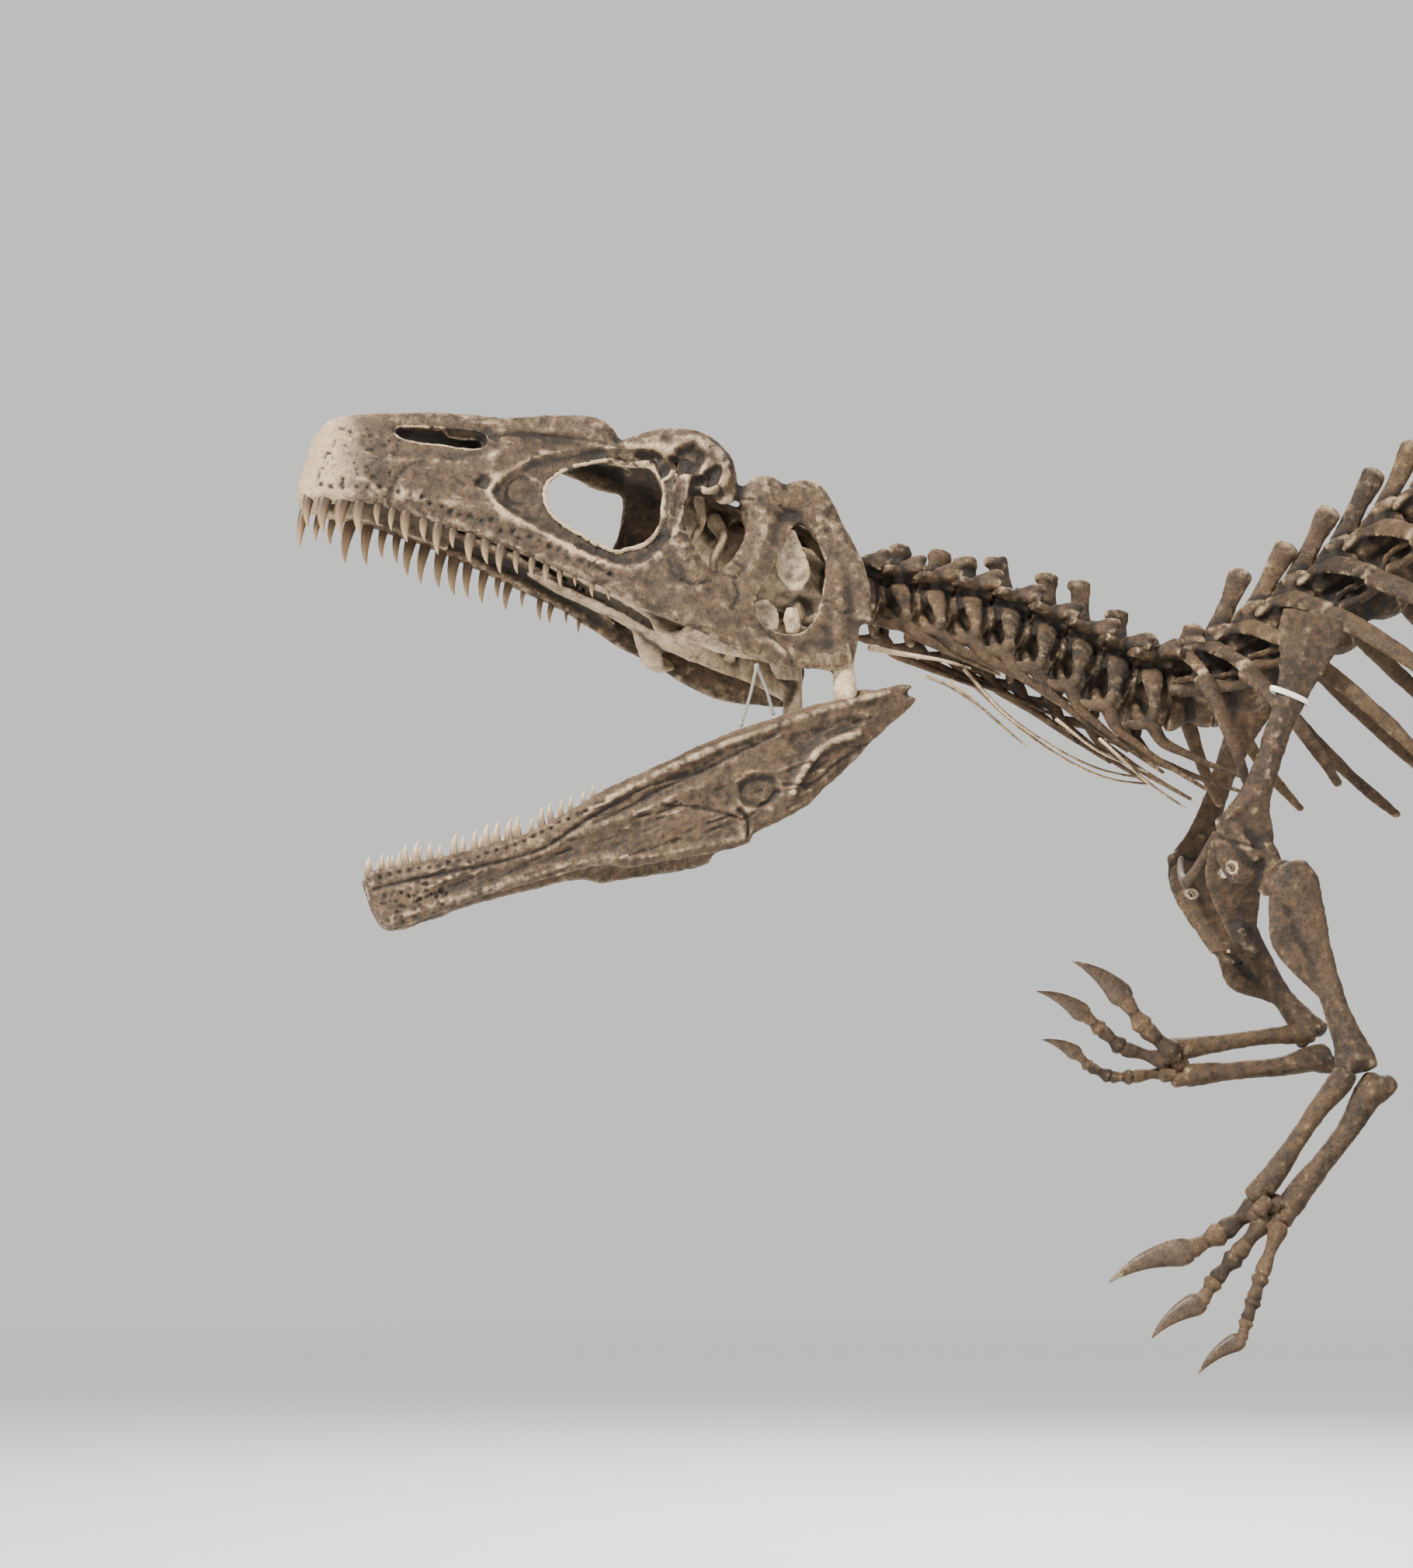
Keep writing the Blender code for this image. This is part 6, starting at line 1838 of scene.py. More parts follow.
@dataclass
class Shoulder:
    """A shoulder blade with its coracoid; the wishbone is made with the left one."""

    blade: Rows = (
        (-1003, -174, 1628, 44, 5), (-1010, -179, 1600, 45, 6), (-1022, -186, 1560, 34, 7),
        (-1042, -194, 1512, 22.5, 8.5), (-1062, -200, 1462, 18.5, 10), (-1086, -202, 1400, 19, 11),
        (-1100, -199, 1362, 24, 12), (-1110, -194, 1328, 38, 12), (-1114, -187, 1296, 40, 15),
        (-1108, -178, 1262, 28, 18))
    coracoid: Rows = (
        (-1120, -178, 1320, 26, 8.5), (-1122, -158, 1300, 35, 11), (-1118, -130, 1272, 39, 12),
        (-1110, -108, 1238, 34, 11), (-1102, -92, 1206, 25, 9), (-1098, -84, 1182, 16, 7))
    hole: Point = (-1.132, -0.20, 1.270)
    wishbone: Rows = (
        (-1142, -136, 1322, 7.5, 5.5), (-1148, -112, 1308, 6.5, 5.5), (-1154, -70, 1290, 6.5, 6),
        (-1158, -30, 1278, 8.5, 6), (-1160, 0, 1273, 11, 6.5), (-1158, 30, 1278, 8.5, 6),
        (-1154, 70, 1290, 6.5, 6), (-1148, 112, 1308, 6.5, 5.5), (-1142, 136, 1322, 7.5, 5.5))
    skin: Skin = Skin(grain=0.0024, fillet=0.004, soften=2, swell=0.0050, swell_size=0.04,
                      pitting=0.0018, pitting_size=0.010)

    def shape(self, bench: Bench) -> Piece:
        """The left blade and coracoid as one bone."""
        acromion = [
            (-1086, -200, 1372, 8, 7), (-1116, -200, 1352, 12, 8), (-1146, -190, 1330, 10, 8)]
        socket = [
            (-1086, -196, 1296, 14, 14), (-1078, -198, 1272, 16, 14), (-1084, -180, 1240, 12, 12)]
        lip = [(-1128, -196, 1330, 10, 9), (-1118, -206, 1304, 10, 8), (-1100, -206, 1282, 10, 9)]
        hook = [(-1106, -100, 1196, 12, 7), (-1094, -90, 1176, 12, 7), (-1080, -88, 1166, 6, 5)]
        parts = [bench.sweep(mm(self.blade), LENGTHWISE, sides=18),
                 bench.sweep(mm(self.coracoid), LENGTHWISE, sides=16)]
        parts += [bench.sweep(mm(table), ACROSS) for table in (acromion, socket, lip, hook)]
        turns = np.arange(16) * 2 * np.pi / 16
        rim = np.stack((self.hole[0] + 0.0065 * np.cos(turns), np.full(16, self.hole[1]),
                        self.hole[2] + 0.0065 * np.sin(turns)), axis=1)
        bone = bench.fuse(parts, self.skin, 0.45)
        bench.carve(bone, [bench.prism(rim, ACROSS * 0.0, ACROSS * 0.16)])
        knife = Carving(bone, both=False)
        knife.stroke((
            (-1012, 1606), (-1030, 1550), (-1058, 1480), (-1084, 1400), (-1104, 1346)), 6, -1.6)
        knife.stroke(((-1150, 1312), (-1122, 1300), (-1092, 1296)), 3, 3)
        knife.finish()
        return bone

    def strap(self, bench: Bench) -> Piece:
        """The thin pale band that holds the left blade to its bracket."""
        center = np.array((-1.045, -0.1945, 1.508))
        turns = np.linspace(0.0, 2 * np.pi, 28, endpoint=False)
        loop = [center + mm((26.2 * math.cos(turn), 11.8 * math.sin(turn),
                             -11.0 * math.cos(turn))) for turn in turns]
        path = smooth_rows([(*point, 0.0042, 0.0011) for point in loop], 2, closed=True)
        return bench.sweep(np.vstack((path, path[:1])), UP, sides=8, cuts=1, dome=0.1)

    def build(self, bench: Bench, finishes: Finishes) -> None:
        """Builds and dresses both shoulders and the wishbone."""
        left = self.shape(bench)
        for side in Side:
            bone = bench.copy(left, Matrix.Identity(4) if side is Side.LEFT else MIRROR)
            bench.dress(bone, "shoulder_blade_" + side.word, ["scapula_" + side.word],
                        finishes.bone)
        bench.drop(left)
        wish = bench.fuse([bench.sweep(mm(self.wishbone), UP)],
                          Skin(grain=0.0016, soften=2, swell=0.001, pitting=0.0005), 0.6)
        bench.dress(wish, "wishbone", ["furcula"], finishes.bone)
        band = self.strap(bench)
        bench.dress(band, "blade_strap", [], finishes.band, detailed=False)


@dataclass(frozen=True)
class Digit:
    """A finger: where it starts from the wrist, and its bones as (length, slope) in degrees."""

    start: Point
    bones: Sequence[tuple[float, float]]


@dataclass
class Arm:
    """Upper arm, forearm and hand of one side."""

    side: Side
    shoulder: Point
    elbow: Point
    wrist: Point
    digits: Sequence[Digit]
    finger_radius: float = 0.0165
    skin: Skin = Skin(grain=0.0022, fillet=0.004, soften=2, swell=0.0040, swell_size=0.04,
                      pitting=0.0016, pitting_size=0.010)
    hand_skin: Skin = Skin(grain=0.0015, soften=2, swell=0.0012, swell_size=0.02,
                           pitting=0.0006, pitting_size=0.006)

    def upper(self, bench: Bench) -> Piece:
        """The humerus: a bent shaft with its crest, head and two condyles."""
        bone = Shaft(np.array(self.shoulder), np.array(self.elbow), ACROSS * self.side.value)
        end = 1.0 - 0.020 / float(np.linalg.norm(bone.foot - bone.head))
        shaft = [
            (-0.01, 6, 0, 20, 32), (0.07, 3, 0, 24, 36), (0.20, 0, 0, 19, 27),
            (0.40, 1, 0, 16.5, 19.5), (0.62, 2, 0, 16, 17), (0.80, 0, 0, 19.5, 20.5),
            (0.92, 0, 0, 24, 27.5), (end, 0, 0, 22, 26)]
        crest = [
            (0.06, 22, 0, 9, 15), (0.18, 32, 3, 9, 18), (0.32, 40, 5, 9, 18), (0.44, 26, 3, 9, 16),
            (0.58, 8, 0, 8, 12)]
        head = [(-0.03, 8, -22, 16, 18), (0.02, 2, -10, 18, 22), (0.08, -4, 0, 16, 18)]
        condyles = [[
            (0.88, ahead, 2, 17, 11), (end + 0.02, ahead, 0, 20, 12.5)] for ahead in (-15, 15)]
        parts = [bench.sweep(bone.rows(table), ACROSS, sides=14)
                 for table in (shaft, crest, head, *condyles)]
        return bench.fuse(parts, self.skin, 0.4)

    def forearm(self, bench: Bench) -> tuple[Piece, Piece]:
        """The radius in front, and the ulna with the point of the elbow.

        Both bow along the direction to the front of the whole forearm.
        """
        elbow, wrist = np.array(self.elbow), np.array(self.wrist)
        lower = unit(wrist - elbow)
        lead = unit(np.cross(ACROSS, lower))
        ahead = Shaft(elbow + lead * 0.019 + lower * 0.010,
                      wrist + lead * 0.018 - lower * 0.010, lead)
        behind = Shaft(elbow - lead * 0.021 - lower * 0.006,
                       wrist - lead * 0.022 - lower * 0.008, lead)
        radius = ahead.rows((
            (0.0, 0, 0, 18.5, 16.5), (0.10, 0, 0, 17.5, 16), (0.32, 0, 2, 13, 13),
            (0.62, 0, 1.2, 12.5, 12.5), (0.88, 0, 0, 15.5, 15.5), (1.0, 0, 0, 16, 16.5)))
        ulna = behind.rows((
            (0.0, 0, 0, 21, 20.5), (0.12, 0, 0, 21, 19.5), (0.32, 0, -4, 16, 15),
            (0.60, 0, -2.8, 14, 14), (0.88, 0, 0, 15.5, 17), (1.0, 0, 0, 15.5, 17.5)))
        hook = [(*(elbow - lead * 0.020 + lower * 0.030), 0.016, 0.016),
                (*(elbow - lead * 0.029), 0.016, 0.015),
                (*(elbow - lead * 0.035 - lower * 0.020), 0.013, 0.012)]
        front = bench.fuse([bench.sweep(radius, ACROSS, sides=12)], self.skin, 0.55)
        back = bench.fuse([bench.sweep(ulna, ACROSS, sides=12), bench.sweep(hook, ACROSS)],
                          self.skin, 0.35)
        return front, back

    def hand(self, bench: Bench) -> tuple[Piece, Piece]:
        """Wrist bones, three fingers of knuckled bones, and their claws."""
        elbow, wrist = np.array(self.elbow), np.array(self.wrist)
        lower = unit(wrist - elbow)
        lead = unit(np.cross(ACROSS, lower))
        bones = []
        for ahead, aside, size, down in mm((
                (22, 0, 17.5, -2), (-6, 6, 16.5, 0), (-26, 0, 15, 2), (8, -12, 13, 12),
                (6, 4, 14, 22), (-18, -4, 13, 20))):
            center = wrist + lead * ahead + ACROSS * aside + lower * down
            lump = [(*(center - lower * 0.008), size * 0.9, size * 0.75),
                    (*(center + lower * 0.008), size, size * 0.85)]
            bones.append(bench.fuse([bench.sweep(lump, ACROSS, sides=10)], self.hand_skin,
                                    0.3 + size * 20))
        claws = []
        for place, digit in enumerate(self.digits):
            point = wrist + np.array(digit.start)
            count = len(digit.bones)
            for index, (length, slope) in enumerate(digit.bones):
                turn = math.radians(slope)
                heading = np.array((-math.cos(turn), 0.0, math.sin(turn)))
                after = point + heading * length
                size = self.finger_radius * (1.0 - 0.07 * index) * (1.06, 0.92, 0.80)[place]
                if index < count - 1:
                    near = point + heading * 0.0012
                    far = after - heading * 0.0012
                    bones.append(bench.fuse(phalanx(bench, near, far, size, ACROSS),
                                            self.hand_skin, ((index * 3 + place) % 4) / 4 + 0.1))
                else:
                    over = np.cross(heading, ACROSS)
                    over *= math.copysign(length * 0.08, over[2])
                    claws.append(claw(bench, point, after, size * 1.12, ACROSS, over))
                point = after
        return bench.join(bones), bench.join(claws)

    def build(self, bench: Bench, finishes: Finishes) -> None:
        """Builds and dresses the arm."""
        word = self.side.word
        bench.dress(self.upper(bench), "upper_arm_" + word, ["humerus_" + word],
                    finishes.bone)
        front, back = self.forearm(bench)
        bench.dress(front, "forearm_front_" + word, ["radius_" + word], finishes.bone)
        bench.dress(back, "forearm_back_" + word, ["ulna_" + word], finishes.bone)
        fingers, claws = self.hand(bench)
        bench.dress(fingers, "finger_bones_" + word, ["hand_" + word], finishes.bone)
        bench.dress(claws, "finger_claws_" + word, ["hand_" + word], finishes.claw)


LEFT_ARM = Arm(
    Side.LEFT, (-1.058, -0.228, 1.258), (-0.984, -0.264, 0.980), (-1.112, -0.284, 0.818),
    (Digit((-0.014, 0.014, -0.004), ((0.060, -36), (0.050, -28), (0.117, -22))),
     Digit((-0.008, 0.000, -0.022), ((0.062, -50), (0.042, -47), (0.034, -56), (0.082, -36))),
     Digit((0.008, -0.014, -0.028), ((0.072, -68), (0.032, -70), (0.028, -70), (0.026, -72),
                                     (0.072, -38)))))
RIGHT_ARM = Arm(
    Side.RIGHT, (-1.052, 0.225, 1.232), (-0.938, 0.180, 1.052), (-1.146, 0.176, 1.026),
    (Digit((-0.010, -0.014, 0.010), ((0.058, 42), (0.052, 56), (0.096, 36))),
     Digit((-0.016, 0.000, 0.000), ((0.072, 16), (0.040, 42), (0.034, 42), (0.080, 26))),
     Digit((-0.010, 0.014, -0.014), ((0.060, -8), (0.032, 0), (0.034, 26), (0.026, 46),
                                     (0.058, 22)))))


@dataclass
class Pelvis:
    """The three hip bones of each side, made as left ones and mirrored."""

    place: float = -124.0
    outline: Rows = (
        (-155, 1985), (-150, 2040), (-120, 2096), (-40, 2150), (30, 2168), (100, 2175),
        (200, 2170), (290, 2158), (380, 2128), (450, 2096), (515, 2052), (562, 2005), (568, 1950),
        (500, 1946), (430, 1950), (352, 1946), (330, 1905), (312, 1866), (284, 1860), (256, 1866),
        (232, 1904), (175, 1924), (120, 1906), (96, 1856), (60, 1848), (18, 1856), (6, 1930),
        (-30, 1928), (-75, 1916), (-110, 1948))
    pubis_shaft: Rows = (
        (60, -124, 1832, 20, 38), (44, -118, 1790, 16, 34), (20, -104, 1730, 12.5, 28),
        (-12, -84, 1640, 12.5, 21), (-46, -60, 1545, 13, 19), (-78, -38, 1445, 13, 19.5),
        (-105, -26, 1350, 13, 22), (-128, -19, 1280, 13, 30))
    pubis_boot: Rows = (
        (-252, -18, 1214, 8, 18), (-215, -18, 1224, 12.5, 28), (-160, -18, 1234, 14, 34),
        (-100, -18, 1236, 14.5, 36), (-40, -18, 1238, 14, 30), (30, -17, 1242, 12, 20),
        (82, -16, 1245, 9, 12))
    ischium: Rows = (
        (284, -124, 1850, 20, 36), (296, -116, 1806, 14, 36), (330, -98, 1735, 11, 27),
        (382, -72, 1640, 11, 19), (440, -46, 1540, 11.5, 16.5), (492, -30, 1455, 12, 17.5),
        (540, -20, 1378, 14, 23), (562, -18, 1344, 13.5, 28))
    skin: Skin = Skin(grain=0.0038, soften=4, swell=0.0050, swell_size=0.10,
                      pitting=0.0016, pitting_size=0.016)

    def ilium(self, bench: Bench) -> Piece:
        """A broad plate with a thick roof over the hip socket and rough borders."""
        loop = even_loop(mm(self.outline), 110, 4)
        flat = np.stack((loop[:, 0], np.full(len(loop), mm(self.place)), loop[:, 1]), axis=1)
        parts = [bench.prism(flat, -ACROSS * 0.0075, ACROSS * 0.0075)]
        y = self.place
        rims = [
            [(-140, y, 2040, 10, 10), (-50, y, 2136, 12, 10), (100, y, 2166, 12.5, 10),
             (280, y, 2150, 12, 10), (440, y, 2090, 12.5, 10), (552, y, 2000, 13, 12)],
            [(92, y, 1870, 13.5, 14), (116, y - 3, 1918, 14, 14), (175, y - 6, 1938, 14.5, 15),
             (232, y - 3, 1920, 14, 14), (262, y, 1880, 13.5, 14)],
            [(56, y, 1864, 13.5, 30), (50, y, 1920, 11, 26)],
            [(284, y, 1872, 13.5, 26), (300, y, 1930, 11, 26)],
            [(330, y, 1956, 11, 10), (440, y - 2, 1962, 12, 10), (556, y, 1966, 12.5, 13)],
            [(170, y - 2, 1950, 10, 18), (190, y - 2, 2040, 9, 14), (206, y, 2140, 10, 16)]]
        parts += [bench.sweep(mm(rim), ACROSS, sides=12) for rim in rims]
        bone = bench.fuse(parts, self.skin, 0.5)
        knife = Carving(bone, both=False)
        knife.dish((
            (-110, 1990), (-60, 2100), (80, 2130), (160, 2080), (120, 1980), (20, 1965)), 3.5, 30)
        knife.dish(((240, 1990), (250, 2110), (380, 2090), (500, 2010), (420, 1985)), 3.5, 30)
        chance = np.random.default_rng(17)
        for _ in range(80):
            turn = chance.uniform(0.15, 0.85) * math.pi
            start = np.array((200 + 285 * math.cos(turn), 1930 + 190 * math.sin(turn)))
            step = np.array((63 * math.cos(turn), 45 * math.sin(turn)))
            knife.stroke((start, start + step * chance.uniform(0.3, 1.0)), 2.2, 1.4)
        knife.finish()
        return bone

    def build(self, bench: Bench, finishes: Finishes) -> None:
        """Builds and dresses the hip bones of both sides."""
        plate = self.ilium(bench)
        apron = [(0, -100, 1720, 10, 20), (-40, -62, 1600, 6, 22), (-80, -34, 1480, 6, 20)]
        obturator = [(300, -104, 1770, 8, 22), (300, -90, 1700, 6, 22), (330, -78, 1650, 5, 14)]
        pubis = bench.fuse([bench.sweep(mm(self.pubis_shaft), ACROSS, sides=14),
                            bench.sweep(mm(self.pubis_boot), ACROSS, sides=14),
                            bench.sweep(mm(apron), ACROSS)], self.skin, 0.6)
        ischium = bench.fuse([bench.sweep(mm(self.ischium), ACROSS, sides=14),
                              bench.sweep(mm(obturator), ACROSS)], self.skin, 0.35)
        for made, name, node in (
                (plate, "hip_blade", "ilium"), (pubis, "pubic_bone", "pubis"),
                (ischium, "seat_bone", "ischium")):
            for side in Side:
                bone = bench.copy(made, Matrix.Identity(4) if side is Side.LEFT else MIRROR)
                bench.dress(bone, "%s_%s" % (name, side.word), ["%s_%s" % (node, side.word)],
                            finishes.bone)
            bench.drop(made)


BASE_HEIGHT = 0.12
BASE_GAP = 0.0003
HIP = np.array((0.175, -0.235, 1.865))


def swing(point: np.ndarray, length: float, degrees: float) -> np.ndarray:
    """The lower end of a bone that hangs at an angle; positive swings it to the rear."""
    angle = math.radians(degrees)
    return point + np.array((math.sin(angle), 0.0, -math.cos(angle))) * length


@dataclass
class Leg:
    """One leg, worked out as a left one and mirrored for the right."""

    side: Side
    thigh_swing: float
    shin_swing: float
    femur: float = 0.80
    tibia: float = 0.72
    metatarsus: float = 0.345
    toe_base: float = 0.075
    toe_radius: float = 0.026
    toes: Sequence[tuple[float, float, Sequence[float]]] = (
        (0.046, 18.0, (0.13, 0.09, 0.085)), (0.0, 0.0, (0.13, 0.10, 0.075, 0.09)),
        (-0.046, -18.0, (0.12, 0.08, 0.06, 0.08)))
    skin: Skin = Skin(grain=0.0042, soften=4, swell=0.0050, swell_size=0.09,
                      pitting=0.0018, pitting_size=0.016)
    foot_skin: Skin = Skin(grain=0.0028, soften=3, swell=0.0024, swell_size=0.04,
                           pitting=0.0012, pitting_size=0.010)

    def thigh(self, bench: Bench, knee: np.ndarray) -> Piece:
        """The femur with its ball, trochanters and two condyles."""
        bone = Shaft(HIP, knee)
        end = 1.0 - 0.012 / self.femur
        shaft = [
            (-0.008, 0, 0, 30, 38), (0.05, 0, 0, 40, 50), (0.16, 4, 0, 36, 44),
            (0.34, 12, 0, 33, 38), (0.55, 14, 0, 33, 38), (0.74, 8, 0, 40, 43),
            (0.90, 0, 0, 54, 54), (end, -4, 0, 52, 50)]
        ball = [
            (-0.004, 0, 96, 28, 30), (-0.002, 0, 80, 42, 42), (0.006, 0, 56, 40, 40),
            (0.030, 0, 20, 36, 36), (0.060, 0, 0, 34, 36)]
        lesser = [(0.20, 34, -12, 13, 14), (0.12, 52, -12, 12, 16), (0.045, 60, -14, 10, 14)]
        fourth = [(0.26, -30, 12, 8, 12), (0.33, -40, 14, 9, 16), (0.42, -28, 12, 7, 12)]
        condyles = [[(0.88, -10, aside, 26, 38), (0.95, -20, aside, 28, 44),
                     (end, -18, aside, 26, 38)] for aside in (-30, 30)]
        parts = [bench.sweep(bone.rows(table), ACROSS, sides=18)
                 for table in (shaft, lesser, fourth, *condyles)]
        parts.append(bench.sweep(bone.rows(ball), LENGTHWISE, sides=18))
        return bench.fuse(parts, self.skin, 0.5)

    def shin(self, bench: Bench, knee: np.ndarray, ankle: np.ndarray) -> tuple[Piece, Piece]:
        """The tibia with its crest and ankle block, and the thin fibula."""
        down = unit(ankle - knee)
        bone = Shaft(knee, ankle)
        low, high = 0.064 / self.tibia, 1.0 - 0.030 / self.tibia
        shaft = [
            (low, 0, 0, 42, 56), (low + 0.05, 0, 0, 44, 58), (0.24, 2, 0, 32, 38),
            (0.42, 0, 0, 27, 30), (0.66, 0, 0, 26, 28), (0.82, 0, 0, 34, 28), (0.92, 0, 0, 48, 32),
            (high, 0, 0, 48, 34)]
        crest = [(low + 0.01, 46, 0, 14, 18), (0.18, 48, 0, 12, 20), (0.28, 30, 0, 10, 16)]
        block = [(0.90, 14, -10, 14, 12), (0.94, 20, 0, 34, 16), (high, 10, 0, 44, 26)]
        parts = [bench.sweep(bone.rows(table), ACROSS, sides=18)
                 for table in (shaft, crest, block)]
        tibia = bench.fuse(parts, self.skin, 0.4)
        top = knee - ACROSS * 0.063 + down * 0.075
        bottom = ankle - ACROSS * 0.063 - down * 0.045
        rows = Shaft(top, bottom).rows((
            (0.0, 0, 0, 10, 30), (0.07, 0, 0, 11, 30), (0.20, 0, 0, 10, 19),
            (0.40, 0, 0, 9.5, 12.5), (0.70, 0, 0, 9, 11), (0.92, 0, 0, 9.5, 13),
            (1.0, 0, 0, 9, 14)))
        fibula = bench.fuse([bench.sweep(rows, ACROSS, sides=12)],
                            Skin(grain=0.0032, soften=3, swell=0.003, pitting=0.0012), 0.65)
        return tibia, fibula

    def foot(self, bench: Bench, ankle: np.ndarray, knuckle: np.ndarray) -> tuple[Piece, Piece]:
        """Three long bones, three toes that lie on the base, a spur, and their claws."""
        fall = unit(knuckle - ankle)
        ground = BASE_HEIGHT + BASE_GAP
        bones, claws = [], []
        for place, turn, lengths in self.toes:
            top = ankle + ACROSS * place * 0.6 + fall * 0.030
            end = knuckle + ACROSS * place + LENGTHWISE * abs(place) * 0.25
            rows = Shaft(top, end).rows((
                (0.0, 0, 0, 18.5, 27), (0.10, 0, 0, 18, 26), (0.38, 0, 0, 15, 20),
                (0.70, 0, 0, 16, 19), (0.90, 0, 0, 21.5, 25), (1.0, 0, 0, 20.5, 24.5)))
            bones.append(bench.fuse([bench.sweep(rows, ACROSS, sides=14)], self.foot_skin,
                                    0.4 + place * 3))
            angle = math.radians(turn)
            heading = np.array((-math.cos(angle), math.sin(angle), 0.0))
            facing = np.array((math.sin(angle), math.cos(angle), 0.0))
            point = end
            for index, length in enumerate(lengths):
                size = self.toe_radius * (0.90 - 0.11 * index)
                after = point + heading * length
                if index < len(lengths) - 1:
                    after[2] = ground + size * 0.95
                    step = unit(after - point)
                    bones.append(bench.fuse(phalanx(bench, point + step * 0.004,
                                                    after - step * 0.001, size, facing),
                                            self.foot_skin, (index % 3) / 3 + 0.2))
                else:
                    after[2] = ground + 0.004
                    claws.append(claw(bench, point, after, size * 0.98, facing, UP * 0.012))
                point = after
        hock = [(*(ankle + fall * 0.026 + ACROSS * aside), 0.018, 0.022)
                for aside in (-0.030, 0.030)]
        bones.append(bench.fuse([bench.sweep(hock, fall, sides=12)], self.foot_skin, 0.6))
        spur = [knuckle + np.array(offset) for offset in (
            (0.030, 0.048, 0.085), (0.034, 0.086, 0.022), (-0.018, 0.102, -0.032))]
        bones.append(bench.fuse(phalanx(bench, spur[0], spur[1], 0.0125, ACROSS),
                                self.foot_skin, 0.5))
        claws.append(claw(bench, spur[1], spur[2], 0.0115, ACROSS, UP * 0.006))
        return bench.join(bones), bench.join(claws)

    def build(self, bench: Bench, finishes: Finishes) -> None:
        """Builds and dresses the leg."""
        word = self.side.word
        knee = swing(HIP, self.femur, self.thigh_swing)
        ankle = swing(knee, self.tibia, self.shin_swing)
        drop = ankle[2] - BASE_HEIGHT - self.toe_base
        lean = -math.degrees(math.acos(drop / self.metatarsus))
        knuckle = swing(ankle, self.metatarsus, lean)
        tibia, fibula = self.shin(bench, knee, ankle)
        toes, claws = self.foot(bench, ankle, knuckle)
        made = (
            (self.thigh(bench, knee), "thigh_bone_", "femur_", finishes.bone),
            (tibia, "shin_bone_", "tibia_", finishes.bone),
            (fibula, "splint_bone_", "fibula_", finishes.bone),
            (toes, "foot_bones_", "foot_", finishes.bone),
            (claws, "toe_claws_", "foot_", finishes.claw))
        for piece, name, node, material in made:
            if self.side is Side.RIGHT:
                bench.move(piece, MIRROR)
            bench.dress(piece, name + word, [node + word], material)


# ---------------------------------------------------------------- stand

